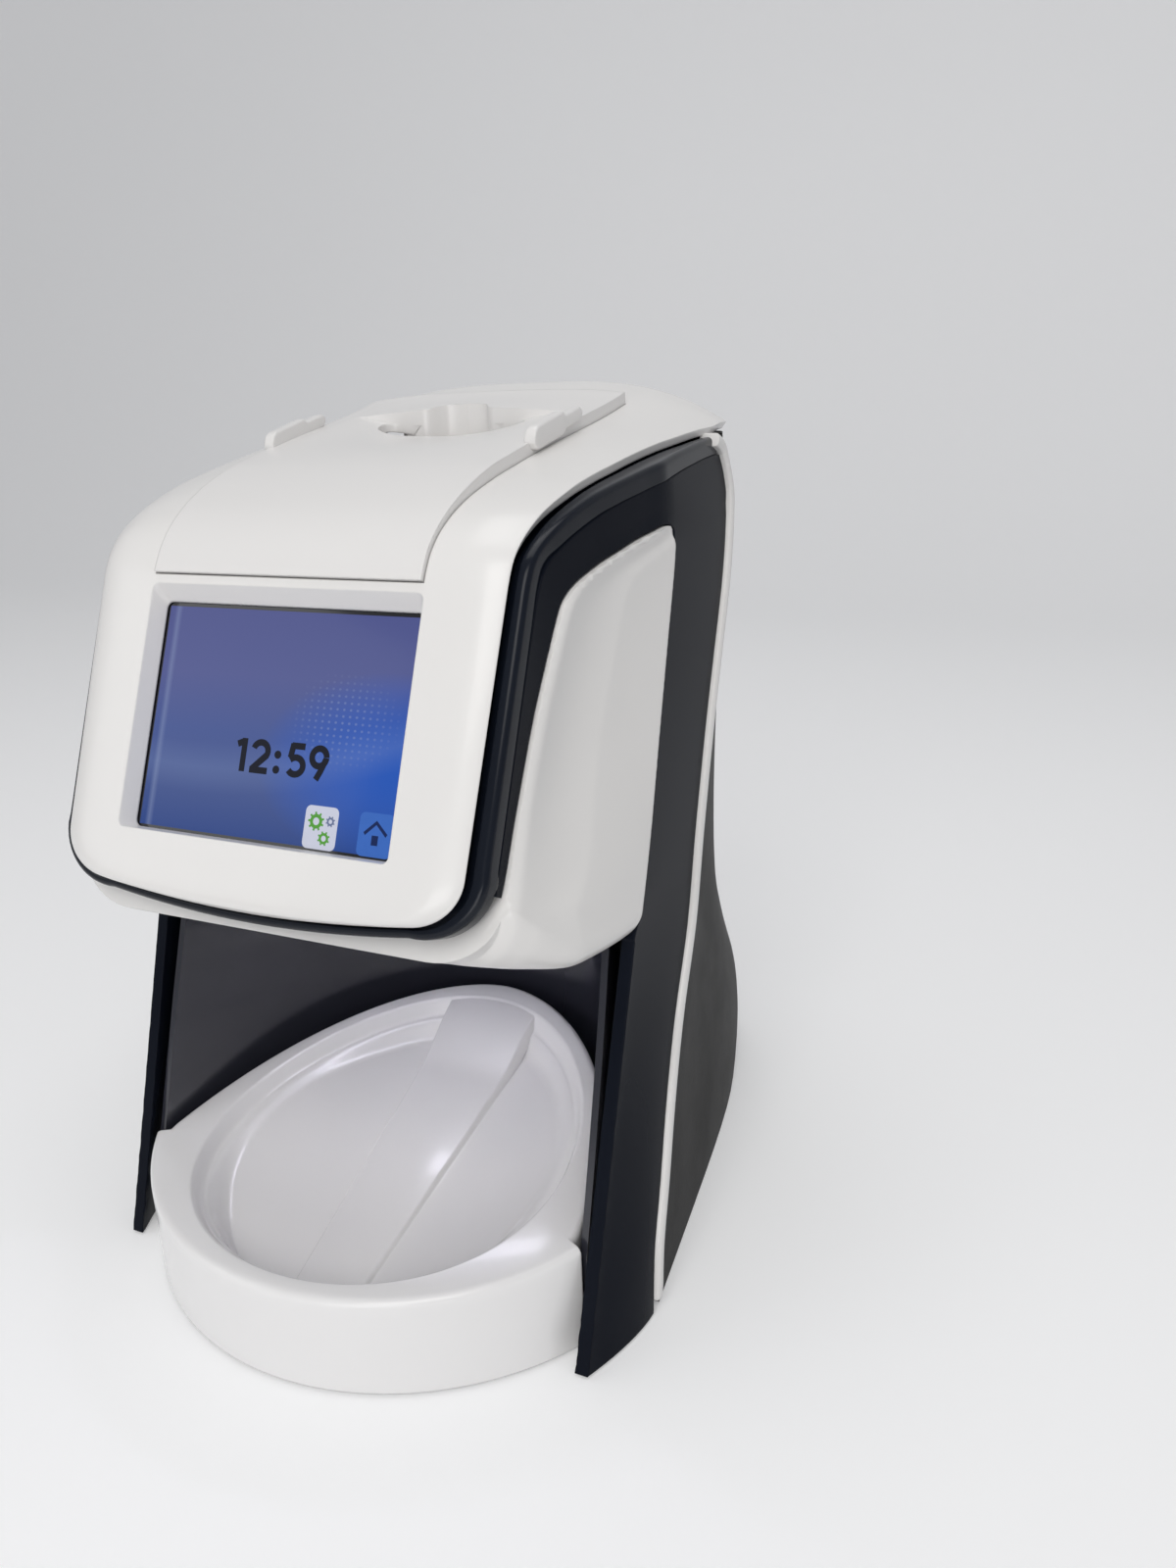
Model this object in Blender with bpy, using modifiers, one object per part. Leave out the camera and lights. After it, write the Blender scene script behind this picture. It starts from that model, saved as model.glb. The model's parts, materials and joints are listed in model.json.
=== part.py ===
"""Desktop scanner for phosphor imaging plates, modelled as separate pieces.

Units are metres and +Z is up. The machine faces -Y and is symmetric about x = 0, apart from its drive
and its ports. Places along y are measured from a datum plane just ahead of the toes of the side panels,
and every piece hangs from one empty that moves the datum, so that the world origin lies on the table in
the middle of the machine's footprint.
"""
import math

import bmesh
import bpy
from mathutils import Matrix, Vector

for old in list(bpy.data.objects):
    bpy.data.objects.remove(old, do_unlink=True)

# Shared sizes
FIT = 0.0003                # gap that neighbouring pieces keep
OVERRUN = 0.006             # how far a cutter runs past what it cuts
SHEET_METAL = 0.0015
CIRCUIT_BOARD = 0.0016

# Outer form of the body: the whole height sets depths and heights, the width at the table sets widths
HOOD_TOP_Z = 0.2265
TABLE_HALF_WIDTH = 0.0784   # side panels at the table
TOP_HALF_WIDTH = 0.85459 * TABLE_HALF_WIDTH   # side panels under the hood
PANEL_HEIGHT = 0.90949 * HOOD_TOP_Z
PANEL_WALL = 0.0033
TABLE_CLEARANCE = 0.0008    # skirt and panels end this far above the table
TOE_Y = 0.03444 * HOOD_TOP_Z   # toe of the side panels, behind the datum
TOE_IN = 0.09439 * TABLE_HALF_WIDTH   # how much narrower the panels are at their front edge, at the table
HEAD_HALF_WIDTH = 0.73342 * TABLE_HALF_WIDTH   # dark flank of the head beside the hood
REAR_Y = 0.81678 * HOOD_TOP_Z   # rearmost point of the housing
NECK_REAR_Y = 0.65784 * HOOD_TOP_Z   # flat upper back of the housing
HOUSING_WALL = 0.0025

# Display and the sloping front plane
SCREEN_TILT = math.radians(23.2)
SCREEN_Y = 0.04680 * HOOD_TOP_Z
SCREEN_Z = 0.68698 * HOOD_TOP_Z
SCREEN_HEIGHT = 0.23223 * HOOD_TOP_Z
SCREEN_WIDTH = 1.33270 * SCREEN_HEIGHT
BEZEL_DEPTH = 0.0045        # front plane of the hood ahead of the screen
BEZEL_FLARE = 0.0016        # sloping inner edge of the bezel, at the sides
BEZEL_TOP_FLARE = 0.0038
BEZEL_PLATE = 0.0042        # thick part of the hood round the screen

# Hood
HOOD_WALL = 0.0020
CHIN = 0.06843 * HOOD_TOP_Z   # hood below the screen
BROW = 0.02737 * HOOD_TOP_Z   # hood between the screen and the top bend
CHIN_CORNER = 0.0130
CHIN_BOW = 0.0027
CHIN_LIP = 0.0026
HOOD_FRONT_HALF_WIDTH = 0.68240 * TABLE_HALF_WIDTH
HOOD_BEND_HALF_WIDTH = 0.69770 * TABLE_HALF_WIDTH
HOOD_REAR_HALF_WIDTH = 0.82908 * TABLE_HALF_WIDTH
HOOD_REAR_Y = 0.65563 * HOOD_TOP_Z
HOOD_RIM_Z = 0.94481 * HOOD_TOP_Z
HOOD_EDGE_DROP = 0.0026
SHADOW_GAP = 0.0022         # dark gap under the hood's rim

# Inlet cover
COVER_FRONT_HALF_WIDTH = 0.45918 * TABLE_HALF_WIDTH
COVER_REAR_HALF_WIDTH = 0.51403 * TABLE_HALF_WIDTH
COVER_REAR_Y = 0.53863 * HOOD_TOP_Z
COVER_SKIN = 0.0022
COVER_SEAT = 0.0018         # rim of the cover below the hood's surface
COVER_GAP = 0.0003
COVER_FRONT_RISE = 0.0009
COVER_RISE = 0.0029
SCOOP_DEPTH = 0.0044
DOME_RISE = 0.0012
POCKET_REAR_Y = 0.44283 * HOOD_TOP_Z   # straight part of the pocket's rear wall
POCKET_HALF_WIDTH = 0.27806 * TABLE_HALF_WIDTH
POCKET_LENGTH = 0.05077 * HOOD_TOP_Z
POCKET_FLOOR_Z = 0.90949 * HOOD_TOP_Z
POCKET_WALL = 0.0018
POCKET_FRONT_TOP_Z = 0.93863 * HOOD_TOP_Z
POCKET_REAR_TOP_Z = 0.96689 * HOOD_TOP_Z
# Right half of the pocket's outline: shares of its half-width, and of its length behind the step
POCKET_SHARES = [(0.0, 0.54), (0.275, 0.435), (0.436, 0.078), (0.64, 0.0), (0.917, -0.043), (1.01, -0.287),
                 (0.917, -0.72), (0.60, -1.03), (0.275, -0.94), (0.0, -0.90)]
TAB_LENGTH = 0.11038 * HOOD_TOP_Z
TAB_OVERHANG = 0.0016
TAB_FRONT_Z = 0.95276 * HOOD_TOP_Z
TAB_REAR_Z = 0.97704 * HOOD_TOP_Z
# Places along a tab and its height there, as shares of its length and height
TAB_RING_SHARES = [(0.0, 0.30), (0.02, 0.60), (0.07, 0.85), (0.16, 1.0), (0.90, 1.0), (0.97, 0.8), (1.0, 0.5)]
TAB_HEIGHT = 0.0056
TAB_THICKNESS = 0.0030
TAB_FRONT_Y = 0.29801 * HOOD_TOP_Z

# Plate path
PATH_Y = 0.41943 * HOOD_TOP_Z
PLATE_HALF_WIDTH = 0.22959 * TABLE_HALF_WIDTH
SLOT_GAP = 0.0030


def mix(a, b, share):
    return a + (b - a) * share


def smooth(share):
    share = min(1.0, max(0.0, share))
    return share * share * (3 - 2 * share)


def table(pairs, value):
    """Straight-line reading of a table of (place, value) pairs."""
    if value <= pairs[0][0]:
        return pairs[0][1]
    for (a, first), (b, second) in zip(pairs, pairs[1:]):
        if value <= b:
            return mix(first, second, (value - a) / (b - a))
    return pairs[-1][1]


def smooth_line(points, steps):
    """Open curve through the points, with steps spans between each two."""
    padded = [points[0]] + list(points) + [points[-1]]
    line = []
    for a, b, c, d in zip(padded, padded[1:], padded[2:], padded[3:]):
        for step in range(steps):
            t = step / steps
            line.append(tuple(
                0.5 * (2 * q + (r - p) * t + (2 * p - 5 * q + 4 * r - s) * t * t
                       + (3 * q - p - 3 * r + s) * t * t * t)
                for p, q, r, s in zip(a, b, c, d)))
    line.append(tuple(points[-1]))
    return line


# Scene: a datum empty, the parts and their cutters
parts = bpy.data.collections.new("phosphor_plate_scanner")
cutters = bpy.data.collections.new("cutters")
bpy.context.scene.collection.children.link(parts)
bpy.context.scene.collection.children.link(cutters)
SKIRT_RADIUS = 0.98214 * TABLE_HALF_WIDTH
SKIRT_CENTRE_Y = 0.74156 * SKIRT_RADIUS
SKIRT_END_Y = 0.24935 * SKIRT_RADIUS
datum = bpy.data.objects.new("datum", None)
parts.objects.link(datum)
datum.location = (0, -(REAR_Y + SKIRT_CENTRE_Y - SKIRT_RADIUS) / 2, 0)


def material(name, colour, roughness, metallic=0.0):
    made = bpy.data.materials.new(name)
    made.use_nodes = True
    shader = made.node_tree.nodes["Principled BSDF"]
    shader.inputs["Base Color"].default_value = (*colour, 1)
    shader.inputs["Roughness"].default_value = roughness
    shader.inputs["Metallic"].default_value = metallic
    made.diffuse_color = (*colour, 1)
    return made


WHITE_SHARES = (0.83, 0.82, 0.80)
DARK_SHARES = (0.012, 0.014, 0.022)
GREY_SHARES = (0.16, 0.155, 0.15)
BLACK_SHARES = (0.01, 0.01, 0.011)
METAL_SHARES = (0.62, 0.63, 0.65)
GREEN_SHARES = (0.01, 0.13, 0.06)


def white():
    return material("white_plastic", WHITE_SHARES, 0.25)


def dark():
    return material("dark_plastic", DARK_SHARES, 0.15)


def grey():
    return material("grey_plastic", GREY_SHARES, 0.5)


def black():
    return material("black_plastic", BLACK_SHARES, 0.5)


def metal():
    return material("metal", METAL_SHARES, 0.3, 1.0)


def circuit():
    return material("circuit_board", GREEN_SHARES, 0.45)


def link(name, mesh, look=None):
    """Puts a mesh in the scene: a part when it has a look, else a cutter or a joined piece."""
    obj = bpy.data.objects.new(name, mesh)
    if look is None:
        cutters.objects.link(obj)
        obj.hide_render = True
        obj.display_type = "WIRE"
    else:
        parts.objects.link(obj)
        mesh.materials.clear()
        mesh.materials.append(look)
    obj.parent = datum
    return obj


def finish_mesh(name, bm):
    bmesh.ops.recalc_face_normals(bm, faces=bm.faces)
    if bm.calc_volume(signed=True) < 0:
        bmesh.ops.reverse_faces(bm, faces=bm.faces)
    mesh = bpy.data.meshes.new(name)
    bm.to_mesh(mesh)
    bm.free()
    return mesh


def soften(mesh, degrees=35):
    mesh.shade_smooth()
    mesh.set_sharp_from_angle(angle=math.radians(degrees))


def block(name, low, high, look=None, bevel=0.0):
    """Box between two corners."""
    bm = bmesh.new()
    low = Vector(low)
    high = Vector(high)
    bmesh.ops.create_cube(bm, size=1.0)
    bmesh.ops.scale(bm, vec=high - low, verts=bm.verts)
    bmesh.ops.translate(bm, vec=(high + low) / 2, verts=bm.verts)
    obj = link(name, finish_mesh(name, bm), look)
    if bevel:
        round_edges(obj, bevel)
    return obj


def round_edges(obj, width, segments=2):
    modifier = obj.modifiers.new("rounded", "BEVEL")
    modifier.width = width
    modifier.segments = segments
    modifier.limit_method = "ANGLE"
    modifier.angle_limit = math.radians(40)
    return modifier


AXIS_TURNS = {
    "X": Matrix.Rotation(math.pi / 2, 3, "Y"),
    "Y": Matrix.Rotation(-math.pi / 2, 3, "X"),
    "Z": Matrix.Identity(3),
}


def turned(name, profile, axis, place, look=None, steps=16):
    """Turned piece: the profile is (radius, height) pairs from the top down, turned about the axis."""
    bm = bmesh.new()
    points = [bm.verts.new((radius, 0, height)) for radius, height in profile]
    for a, b in zip(points, points[1:]):
        bm.edges.new((a, b))
    mesh = bpy.data.meshes.new(name)
    bm.to_mesh(mesh)
    bm.free()
    obj = link(name, mesh, look)
    screw = obj.modifiers.new("turned", "SCREW")
    screw.axis = "Z"
    screw.steps = steps
    screw.render_steps = steps
    screw.use_merge_vertices = True
    screw.merge_threshold = 0.00001
    screw.use_smooth_shade = False
    obj.rotation_euler = AXIS_TURNS[axis].to_euler()
    obj.location = place
    return obj


def rod(name, start, end, radius, axis, look=None, steps=16):
    """Cylinder along a main axis, from start to end."""
    length = (Vector(end) - Vector(start)).length
    profile = [(0, length), (radius, length), (radius, 0), (0, 0)]
    return turned(name, profile, axis, start, look, steps)


FRONT_UP = Vector((0, math.sin(SCREEN_TILT), math.cos(SCREEN_TILT)))
FRONT_OUT = Vector((0, -math.cos(SCREEN_TILT), math.sin(SCREEN_TILT)))
PLANES = {
    "X": Matrix(((0, 0, 1), (1, 0, 0), (0, 1, 0))),
    "Y": Matrix(((1, 0, 0), (0, 0, -1), (0, 1, 0))),
    "Z": Matrix.Identity(3),
    "FRONT": Matrix(((1, 0, 0), (0, FRONT_UP.y, FRONT_OUT.y), (0, FRONT_UP.z, FRONT_OUT.z))),
}


MANY_POINTS = 12


def slab(name, outline, plane, start, end, look=None, origin=(0, 0, 0)):
    """Flat outline, drawn as a filled 2D curve and extruded from start to end along its normal."""
    curve = bpy.data.curves.new(name, "CURVE")
    curve.dimensions = "2D"
    curve.fill_mode = "BOTH"
    curve.extrude = abs(end - start) / 2
    spline = curve.splines.new("POLY")
    spline.points.add(len(outline) - 1)
    for point, (a, b) in zip(spline.points, outline):
        point.co = (a, b, 0, 1)
    spline.use_cyclic_u = True
    drawn = bpy.data.objects.new(name + "_outline", curve)
    bpy.context.scene.collection.objects.link(drawn)
    bpy.context.view_layer.update()
    evaluated = drawn.evaluated_get(bpy.context.evaluated_depsgraph_get())
    mesh = bpy.data.meshes.new_from_object(evaluated)
    bpy.data.objects.remove(drawn)
    bm = bmesh.new()
    bm.from_mesh(mesh)
    bmesh.ops.remove_doubles(bm, verts=bm.verts, dist=0.000001)
    bmesh.ops.dissolve_limit(bm, angle_limit=0.001, verts=bm.verts, edges=bm.edges)
    if len(outline) > MANY_POINTS:
        bmesh.ops.triangulate(bm, faces=[face for face in bm.faces if len(face.verts) > 4])
    turn = PLANES[plane]
    shift = Vector(origin) + turn @ Vector((0, 0, (start + end) / 2))
    bm.transform(Matrix.Translation(shift) @ turn.to_4x4())
    bpy.data.meshes.remove(mesh)
    return link(name, finish_mesh(name, bm), look)


def boolean(obj, other, operation):
    modifier = obj.modifiers.new(operation.lower(), "BOOLEAN")
    modifier.operation = operation
    modifier.solver = "EXACT"
    modifier.object = other
    return obj


def cut(obj, *others):
    for other in others:
        boolean(obj, other, "DIFFERENCE")
    return obj


def join(obj, *others):
    for other in others:
        boolean(obj, other, "UNION")
    return obj


def keep(obj, other):
    return boolean(obj, other, "INTERSECT")


def thicken(obj, thickness):
    modifier = obj.modifiers.new("wall", "SOLIDIFY")
    modifier.thickness = thickness
    modifier.offset = -1
    modifier.use_even_offset = True
    return obj


def sheet(name, rows, look, thickness, outward):
    """Open surface through rows of points, facing the outward point's side, thickened inwards."""
    bm = bmesh.new()
    verts = [[bm.verts.new(point) for point in row] for row in rows]
    for row, following in zip(verts, verts[1:]):
        for i in range(len(row) - 1):
            bm.faces.new((row[i], row[i + 1], following[i + 1], following[i]))
    bm.normal_update()
    bm.faces.ensure_lookup_table()
    face = bm.faces[len(bm.faces) // 2]
    if face.normal.dot(Vector(outward)) < 0:
        bmesh.ops.reverse_faces(bm, faces=bm.faces)
    mesh = bpy.data.meshes.new(name)
    bm.to_mesh(mesh)
    bm.free()
    soften(mesh)
    obj = link(name, mesh, look)
    return thicken(obj, thickness)


def lofted(name, rings, look=None, closed=True):
    """Solid through a row of rings with like point counts, capped at both ends."""
    bm = bmesh.new()
    verts = [[bm.verts.new(point) for point in ring] for ring in rings]
    count = len(rings[0])
    for ring, following in zip(verts, verts[1:]):
        for i in range(count if closed else count - 1):
            j = (i + 1) % count
            bm.faces.new((ring[i], ring[j], following[j], following[i]))
    bm.faces.new(verts[0])
    bm.faces.new(verts[-1])
    mesh = finish_mesh(name, bm)
    if look is not None:
        soften(mesh)
    return link(name, mesh, look)


# Side view of the body

def flank(z):
    """Half-width of the side panels at a height."""
    return mix(TABLE_HALF_WIDTH, TOP_HALF_WIDTH, z / PANEL_HEIGHT)


# Places in the side view, as shares of the housing's depth and the panels' height
STRIP_SHARES = [(0.1790, 0.000), (0.2000, 0.079), (0.2368, 0.152), (0.2822, 0.247), (0.3351, 0.338),
                (0.4081, 0.436), (0.4638, 0.543), (0.5308, 0.660), (0.5832, 0.743), (0.6503, 0.850),
                (0.6830, 0.935), (0.6790, 0.972), (0.6620, 1.000)]
WING_REAR_SHARES = [(0.2195, 0.486), (0.2443, 0.5165), (0.2935, 0.599), (0.3368, 0.683),
                    (0.3930, 0.791), (0.4432, 0.887), (0.4551, 0.926)]
WING_CREST_SHARES = [(0.4510, 0.9300), (0.4323, 0.9318), (0.4000, 0.9275), (0.3688, 0.9226), (0.3159, 0.9131),
                     (0.2654, 0.9021), (0.2282, 0.8913), (0.2060, 0.8800), (0.1940, 0.8680), (0.1810, 0.8480),
                     (0.1584, 0.8117), (0.1222, 0.7563), (0.0719, 0.6718),
                     (0.0308, 0.6024), (-0.0160, 0.5660)]


def side_points(shares, spans=1):
    return [(y * REAR_Y, z * PANEL_HEIGHT) for y, z in smooth_line(shares, spans)]


STRIP_LINE = side_points(STRIP_SHARES, 2)
WING_REAR = side_points(WING_REAR_SHARES, 2)
WING_CREST = side_points(WING_CREST_SHARES, 2)
STRIP_BY_HEIGHT = [(z, y) for y, z in STRIP_LINE]
WING_REAR_BY_HEIGHT = [(z, y) for y, z in WING_REAR]
WING_CREST_BY_HEIGHT = sorted((z, y) for y, z in WING_CREST[4:])
TOE_SLOPE_SHARE = 0.342


def toe_y(z):
    """Front edge of the leaning legs at a height."""
    return TOE_Y + TOE_SLOPE_SHARE * z


HEAD_FLANK_SHARES = [(0.00, 0.00), (0.13, 0.05), (0.24, 0.32), (0.32, 0.58), (0.39, 0.81), (0.46, 1.03),
                     (0.55, 1.06), (0.75, 1.06)]


def head_flank(y):
    """Half-width of the dark flank beside the hood."""
    share = table(HEAD_FLANK_SHARES, y / REAR_Y)
    return mix(HEAD_HALF_WIDTH, TOP_HALF_WIDTH, share)


def panel_x(y, z):
    """Outer face of a side panel."""
    rear = table(STRIP_BY_HEIGHT, z)
    behind_toe = min(1.0, max(0.0, (y - toe_y(z)) / (rear - toe_y(z))))
    toe_in = TOE_IN * max(0.0, 1 - z / (0.53 * PANEL_HEIGHT)) * (1 - behind_toe) ** 1.6
    leg = flank(z) - toe_in
    if z < WING_REAR[0][1]:
        return leg
    wing_rear = table(WING_REAR_BY_HEIGHT, z)
    wing_front = table(WING_CREST_BY_HEIGHT, z)
    if z > WING_REAR[-1][1]:
        return min(leg, head_flank(y))
    share = smooth((y - wing_front) / (wing_rear - wing_front))
    return mix(min(head_flank(y), leg), leg, share)


# Hood surface

def front_point(x, up, depth=0.0):
    """Point of the sloping front plane, by its distance up from the screen's middle."""
    centre = Vector((0, SCREEN_Y, SCREEN_Z)) + FRONT_OUT * BEZEL_DEPTH
    return centre + Vector((x, 0, 0)) + FRONT_UP * up - FRONT_OUT * depth


HOOD_BOTTOM = -(SCREEN_HEIGHT / 2 + CHIN)
HOOD_BEND = SCREEN_HEIGHT / 2 + BROW
FRONT_ROW_SHARES = [0.0, 0.010, 0.035, 0.085, 0.17, 0.30, 0.50, 0.72, 0.90, 1.0]
FRONT_LIP_SHARES = [1.0, 0.30, 0.05, 0.0, 0.0, 0.0, 0.0, 0.0, 0.0, 0.0]
# Rows of the top, from the bend back: shares of its run and rise, of the width, and of the edge's drop
TOP_ROW_SHARES = [(0.023, 0.125, 0.00, 0.208), (0.058, 0.235, 0.02, 0.208), (0.125, 0.355, 0.06, 0.200),
                  (0.232, 0.468, 0.18, 0.190), (0.310, 0.535, 0.27, 0.220), (0.388, 0.595, 0.38, 0.265),
                  (0.465, 0.645, 0.48, 0.290), (0.543, 0.690, 0.60, 0.315), (0.650, 0.755, 0.78, 0.400),
                  (0.740, 0.823, 0.90, 0.535), (0.806, 0.883, 1.00, 0.690), (0.862, 0.932, 0.975, 0.81),
                  (0.908, 0.966, 0.915, 0.91), (0.946, 0.990, 0.79, 0.99), (0.973, 1.000, 0.50, 1.00)]
# Rows of the rounded rear rim: shares of the top's run, of the rim's height, and of the width
REAR_ROW_SHARES = [(0.990, 0.93, 0.865), (0.997, 0.72, 0.84), (1.0, 0.40, 0.82), (1.0, 0.0, 0.81)]
CROWN_FRONT_POWER_SHARE = 14.0
CROWN_REAR_POWER_SHARE = 3.4


def hood_rows(inset=0.0):
    """Rows of the hood: middle point, drop direction, half-width, edge drop, crown power, lip, bow."""
    rows = []
    height = HOOD_BEND - HOOD_BOTTOM - inset
    corner = CHIN_CORNER - inset
    for share, lip in zip(FRONT_ROW_SHARES, FRONT_LIP_SHARES):
        up = share * height
        half = mix(HOOD_FRONT_HALF_WIDTH, HOOD_BEND_HALF_WIDTH, share) - inset
        if up < corner:
            side = 1 - up / corner
            half -= corner * (1 - math.sqrt(1 - side * side))
        bow = CHIN_BOW * max(0.0, 1 - up / (1.6 * corner))
        middle = front_point(0, HOOD_BOTTOM + inset + up, inset)
        rows.append((middle, -FRONT_OUT, half, HOOD_EDGE_DROP, CROWN_FRONT_POWER_SHARE,
                     lip * CHIN_LIP, bow))
    start = front_point(0, HOOD_BEND)
    run = HOOD_REAR_Y - start.y
    rise = HOOD_TOP_Z - start.z
    down = Vector((0, 0, -1))
    for y, z, wide, dropped in TOP_ROW_SHARES:
        middle = Vector((0, start.y + y * run - y * inset, start.z + z * rise))
        share = smooth(y / 0.8)
        lean = (-FRONT_OUT).lerp(down, smooth(y / 0.12) * 0.55 + 0.45 * share).normalized()
        drop = dropped * (HOOD_TOP_Z - HOOD_RIM_Z)
        if y > 0.85:
            drop = middle.z - HOOD_RIM_Z
        power = mix(CROWN_FRONT_POWER_SHARE, CROWN_REAR_POWER_SHARE, smooth(y / 0.35))
        half = mix(HOOD_BEND_HALF_WIDTH, HOOD_REAR_HALF_WIDTH, wide) - inset
        rows.append((middle + lean * inset, lean, half, drop, power, 0.0, 0.0))
    for y, z, wide in REAR_ROW_SHARES:
        middle = Vector((0, start.y + y * (run - inset), mix(HOOD_RIM_Z, HOOD_TOP_Z, z) - inset))
        rows.append((middle, down, HOOD_REAR_HALF_WIDTH * wide - inset, middle.z - HOOD_RIM_Z + inset,
                     CROWN_REAR_POWER_SHARE, 0.0, 0.0))
    return rows


HOOD_ROWS = hood_rows()
ACROSS_SHARES = [-1.0, -0.975, -0.93, -0.87, -0.78, -0.62, -0.42, -0.2, 0.0,
                 0.2, 0.42, 0.62, 0.78, 0.87, 0.93, 0.975, 1.0]


def hood_point(row, across):
    """Point of the hood's surface, on one of its rows."""
    middle, lean, half, drop, power, lip, bow = row
    x = half * across
    edge = abs(across) ** power
    depth = drop * edge + lip * (1 - edge)
    return middle + Vector((x, 0, 0)) + lean * depth + FRONT_UP * bow * across * across


def hood_edge(index, depth=0.0):
    """Point of the hood's right rim at a row, moved down its drop direction."""
    row = HOOD_ROWS[index]
    return hood_point(row, 1.0) + row[1] * depth


def cover_half_width(y):
    front = front_point(0, HOOD_BEND).y
    return mix(COVER_FRONT_HALF_WIDTH, COVER_REAR_HALF_WIDTH, (y - front) / (COVER_REAR_Y - front))


def cover_cutter(name, clearance):
    """Wedge that bounds the inlet cover, or with a clearance the opening in the hood for it."""
    seam = front_point(0, HOOD_BEND)
    low = seam - FRONT_OUT * 0.5 * POCKET_LENGTH - FRONT_UP * clearance
    tip = seam + FRONT_OUT * OVERRUN - FRONT_UP * clearance
    top_z = HOOD_TOP_Z + OVERRUN
    rear_y = COVER_REAR_Y + clearance
    rings = []
    for side in (-1, 1):
        ring = [(tip.y, tip.z), (low.y, low.z), (rear_y, low.z), (rear_y, top_z), (tip.y, top_z)]
        rings.append([(side * (cover_half_width(y) + clearance), y, z) for y, z in ring])
    return lofted(name, rings)


# Hood: one white shell, with a thick plate round the screen and an opening for the inlet cover

def screen_cutter():
    """Tapered opening, from the flared bezel down to the screen's edge."""
    rings = []
    for depth, flare in ((-OVERRUN, 1 + OVERRUN / BEZEL_DEPTH), (BEZEL_DEPTH + OVERRUN,
                                                              -OVERRUN / BEZEL_DEPTH)):
        half = SCREEN_WIDTH / 2 + BEZEL_FLARE * flare
        top = SCREEN_HEIGHT / 2 + BEZEL_TOP_FLARE * flare
        bottom = SCREEN_HEIGHT / 2 + BEZEL_FLARE * 0.3 * flare
        rings.append([front_point(x, up, depth)
                      for x, up in ((-half, -bottom), (half, -bottom), (half, top), (-half, top))])
    return lofted("screen_opening", rings)


def make_hood():
    rows = [[hood_point(row, share) for share in ACROSS_SHARES] for row in HOOD_ROWS]
    hood = sheet("hood", rows, white(), HOOD_WALL, (0, 0, 1))
    half = SCREEN_WIDTH / 2 + BEZEL_PLATE
    up = SCREEN_HEIGHT / 2 + BEZEL_PLATE
    plate = slab("bezel_plate", [(-half, -up), (half, -up), (half, up), (-half, up)], "FRONT",
                 -BEZEL_PLATE, -HOOD_WALL / 2, origin=front_point(0, 0))
    join(hood, plate)
    cut(hood, screen_cutter(), cover_cutter("cover_opening", COVER_GAP))
    return hood


# Inlet cover: removable white panel with a dome, two grip tabs and the pocket that takes the plate

def cover_rise(x, y, row_share):
    """Height of the cover's surface over the hood's, before the pocket is cut."""
    rise = mix(COVER_FRONT_RISE, COVER_RISE, smooth(row_share / 0.35))
    bowl = max(0.0, 1 - (x / (1.55 * POCKET_HALF_WIDTH)) ** 2) ** 1.5
    if y < POCKET_REAR_Y:
        start = POCKET_REAR_Y - 0.55 * (POCKET_REAR_Y - front_point(0, HOOD_BEND).y)
        return rise - SCOOP_DEPTH * bowl * smooth((y - start) / (POCKET_REAR_Y - start))
    end = mix(POCKET_REAR_Y, COVER_REAR_Y, 0.9)
    return rise + DOME_RISE * bowl * (1 - smooth((y - POCKET_REAR_Y) / (end - POCKET_REAR_Y)))


def surface_at(share):
    """Hood's middle line and direction between the bend and the rear, by share of the cover's run."""
    first_top = len(FRONT_ROW_SHARES)
    y = mix(front_point(0, HOOD_BEND).y, COVER_REAR_Y, share)
    index = first_top
    while HOOD_ROWS[index][0].y < y:
        index += 1
    first = HOOD_ROWS[index - 1]
    second = HOOD_ROWS[index]
    t = (y - first[0].y) / (second[0].y - first[0].y)
    values = [mix(a, b, t) for a, b in zip(first[2:], second[2:])]
    return (first[0].lerp(second[0], t), first[1].lerp(second[1], t).normalized(), *values)


COVER_ROW_SHARES = [0.0, 0.022, 0.05, 0.09, 0.15, 0.24, 0.34, 0.45, 0.56, 0.66, 0.74, 0.775, 0.84, 0.90,
                    1.0]
STEP_SHARE = 0.0015           # half the run of the steep step at the pocket's rear wall
RIM_SHARE = 0.9               # the cover's rim starts this far out
COVER_ACROSS_SHARES = [-1.0, -0.93, -0.80, -0.62, -0.42, -0.2, 0.0, 0.2, 0.42, 0.62, 0.80, 0.93, 1.0]


def pocket_outline(grow=0.0):
    points = [(x * POCKET_HALF_WIDTH, y * POCKET_LENGTH) for x, y in POCKET_SHARES]
    right = [(x, y) for x, y in smooth_line(points, 2)]
    middle_y = POCKET_REAR_Y - 0.4 * POCKET_LENGTH
    grown = []
    for x, y in right:
        place = Vector((x, POCKET_REAR_Y + y - middle_y))
        place += place.normalized() * grow
        grown.append((place.x, middle_y + place.y))
    return grown + [(-x, y) for x, y in reversed(grown[1:-1])]


def make_tab(side):
    rings = []
    for share, height in TAB_RING_SHARES:
        y = TAB_FRONT_Y + share * TAB_LENGTH
        outer = cover_half_width(y) + TAB_OVERHANG
        top = mix(TAB_FRONT_Z, TAB_REAR_Z, share) - (1 - height) * TAB_HEIGHT / 2
        low = mix(TAB_FRONT_Z, TAB_REAR_Z, share) - (1 + height) * TAB_HEIGHT / 2
        inner = outer - TAB_THICKNESS
        ring = [(inner, low), (outer, low), (outer, top), (inner, top)]
        rings.append([(side * x, y, z) for x, z in ring])
    return lofted("grip_tab", rings)


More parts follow.
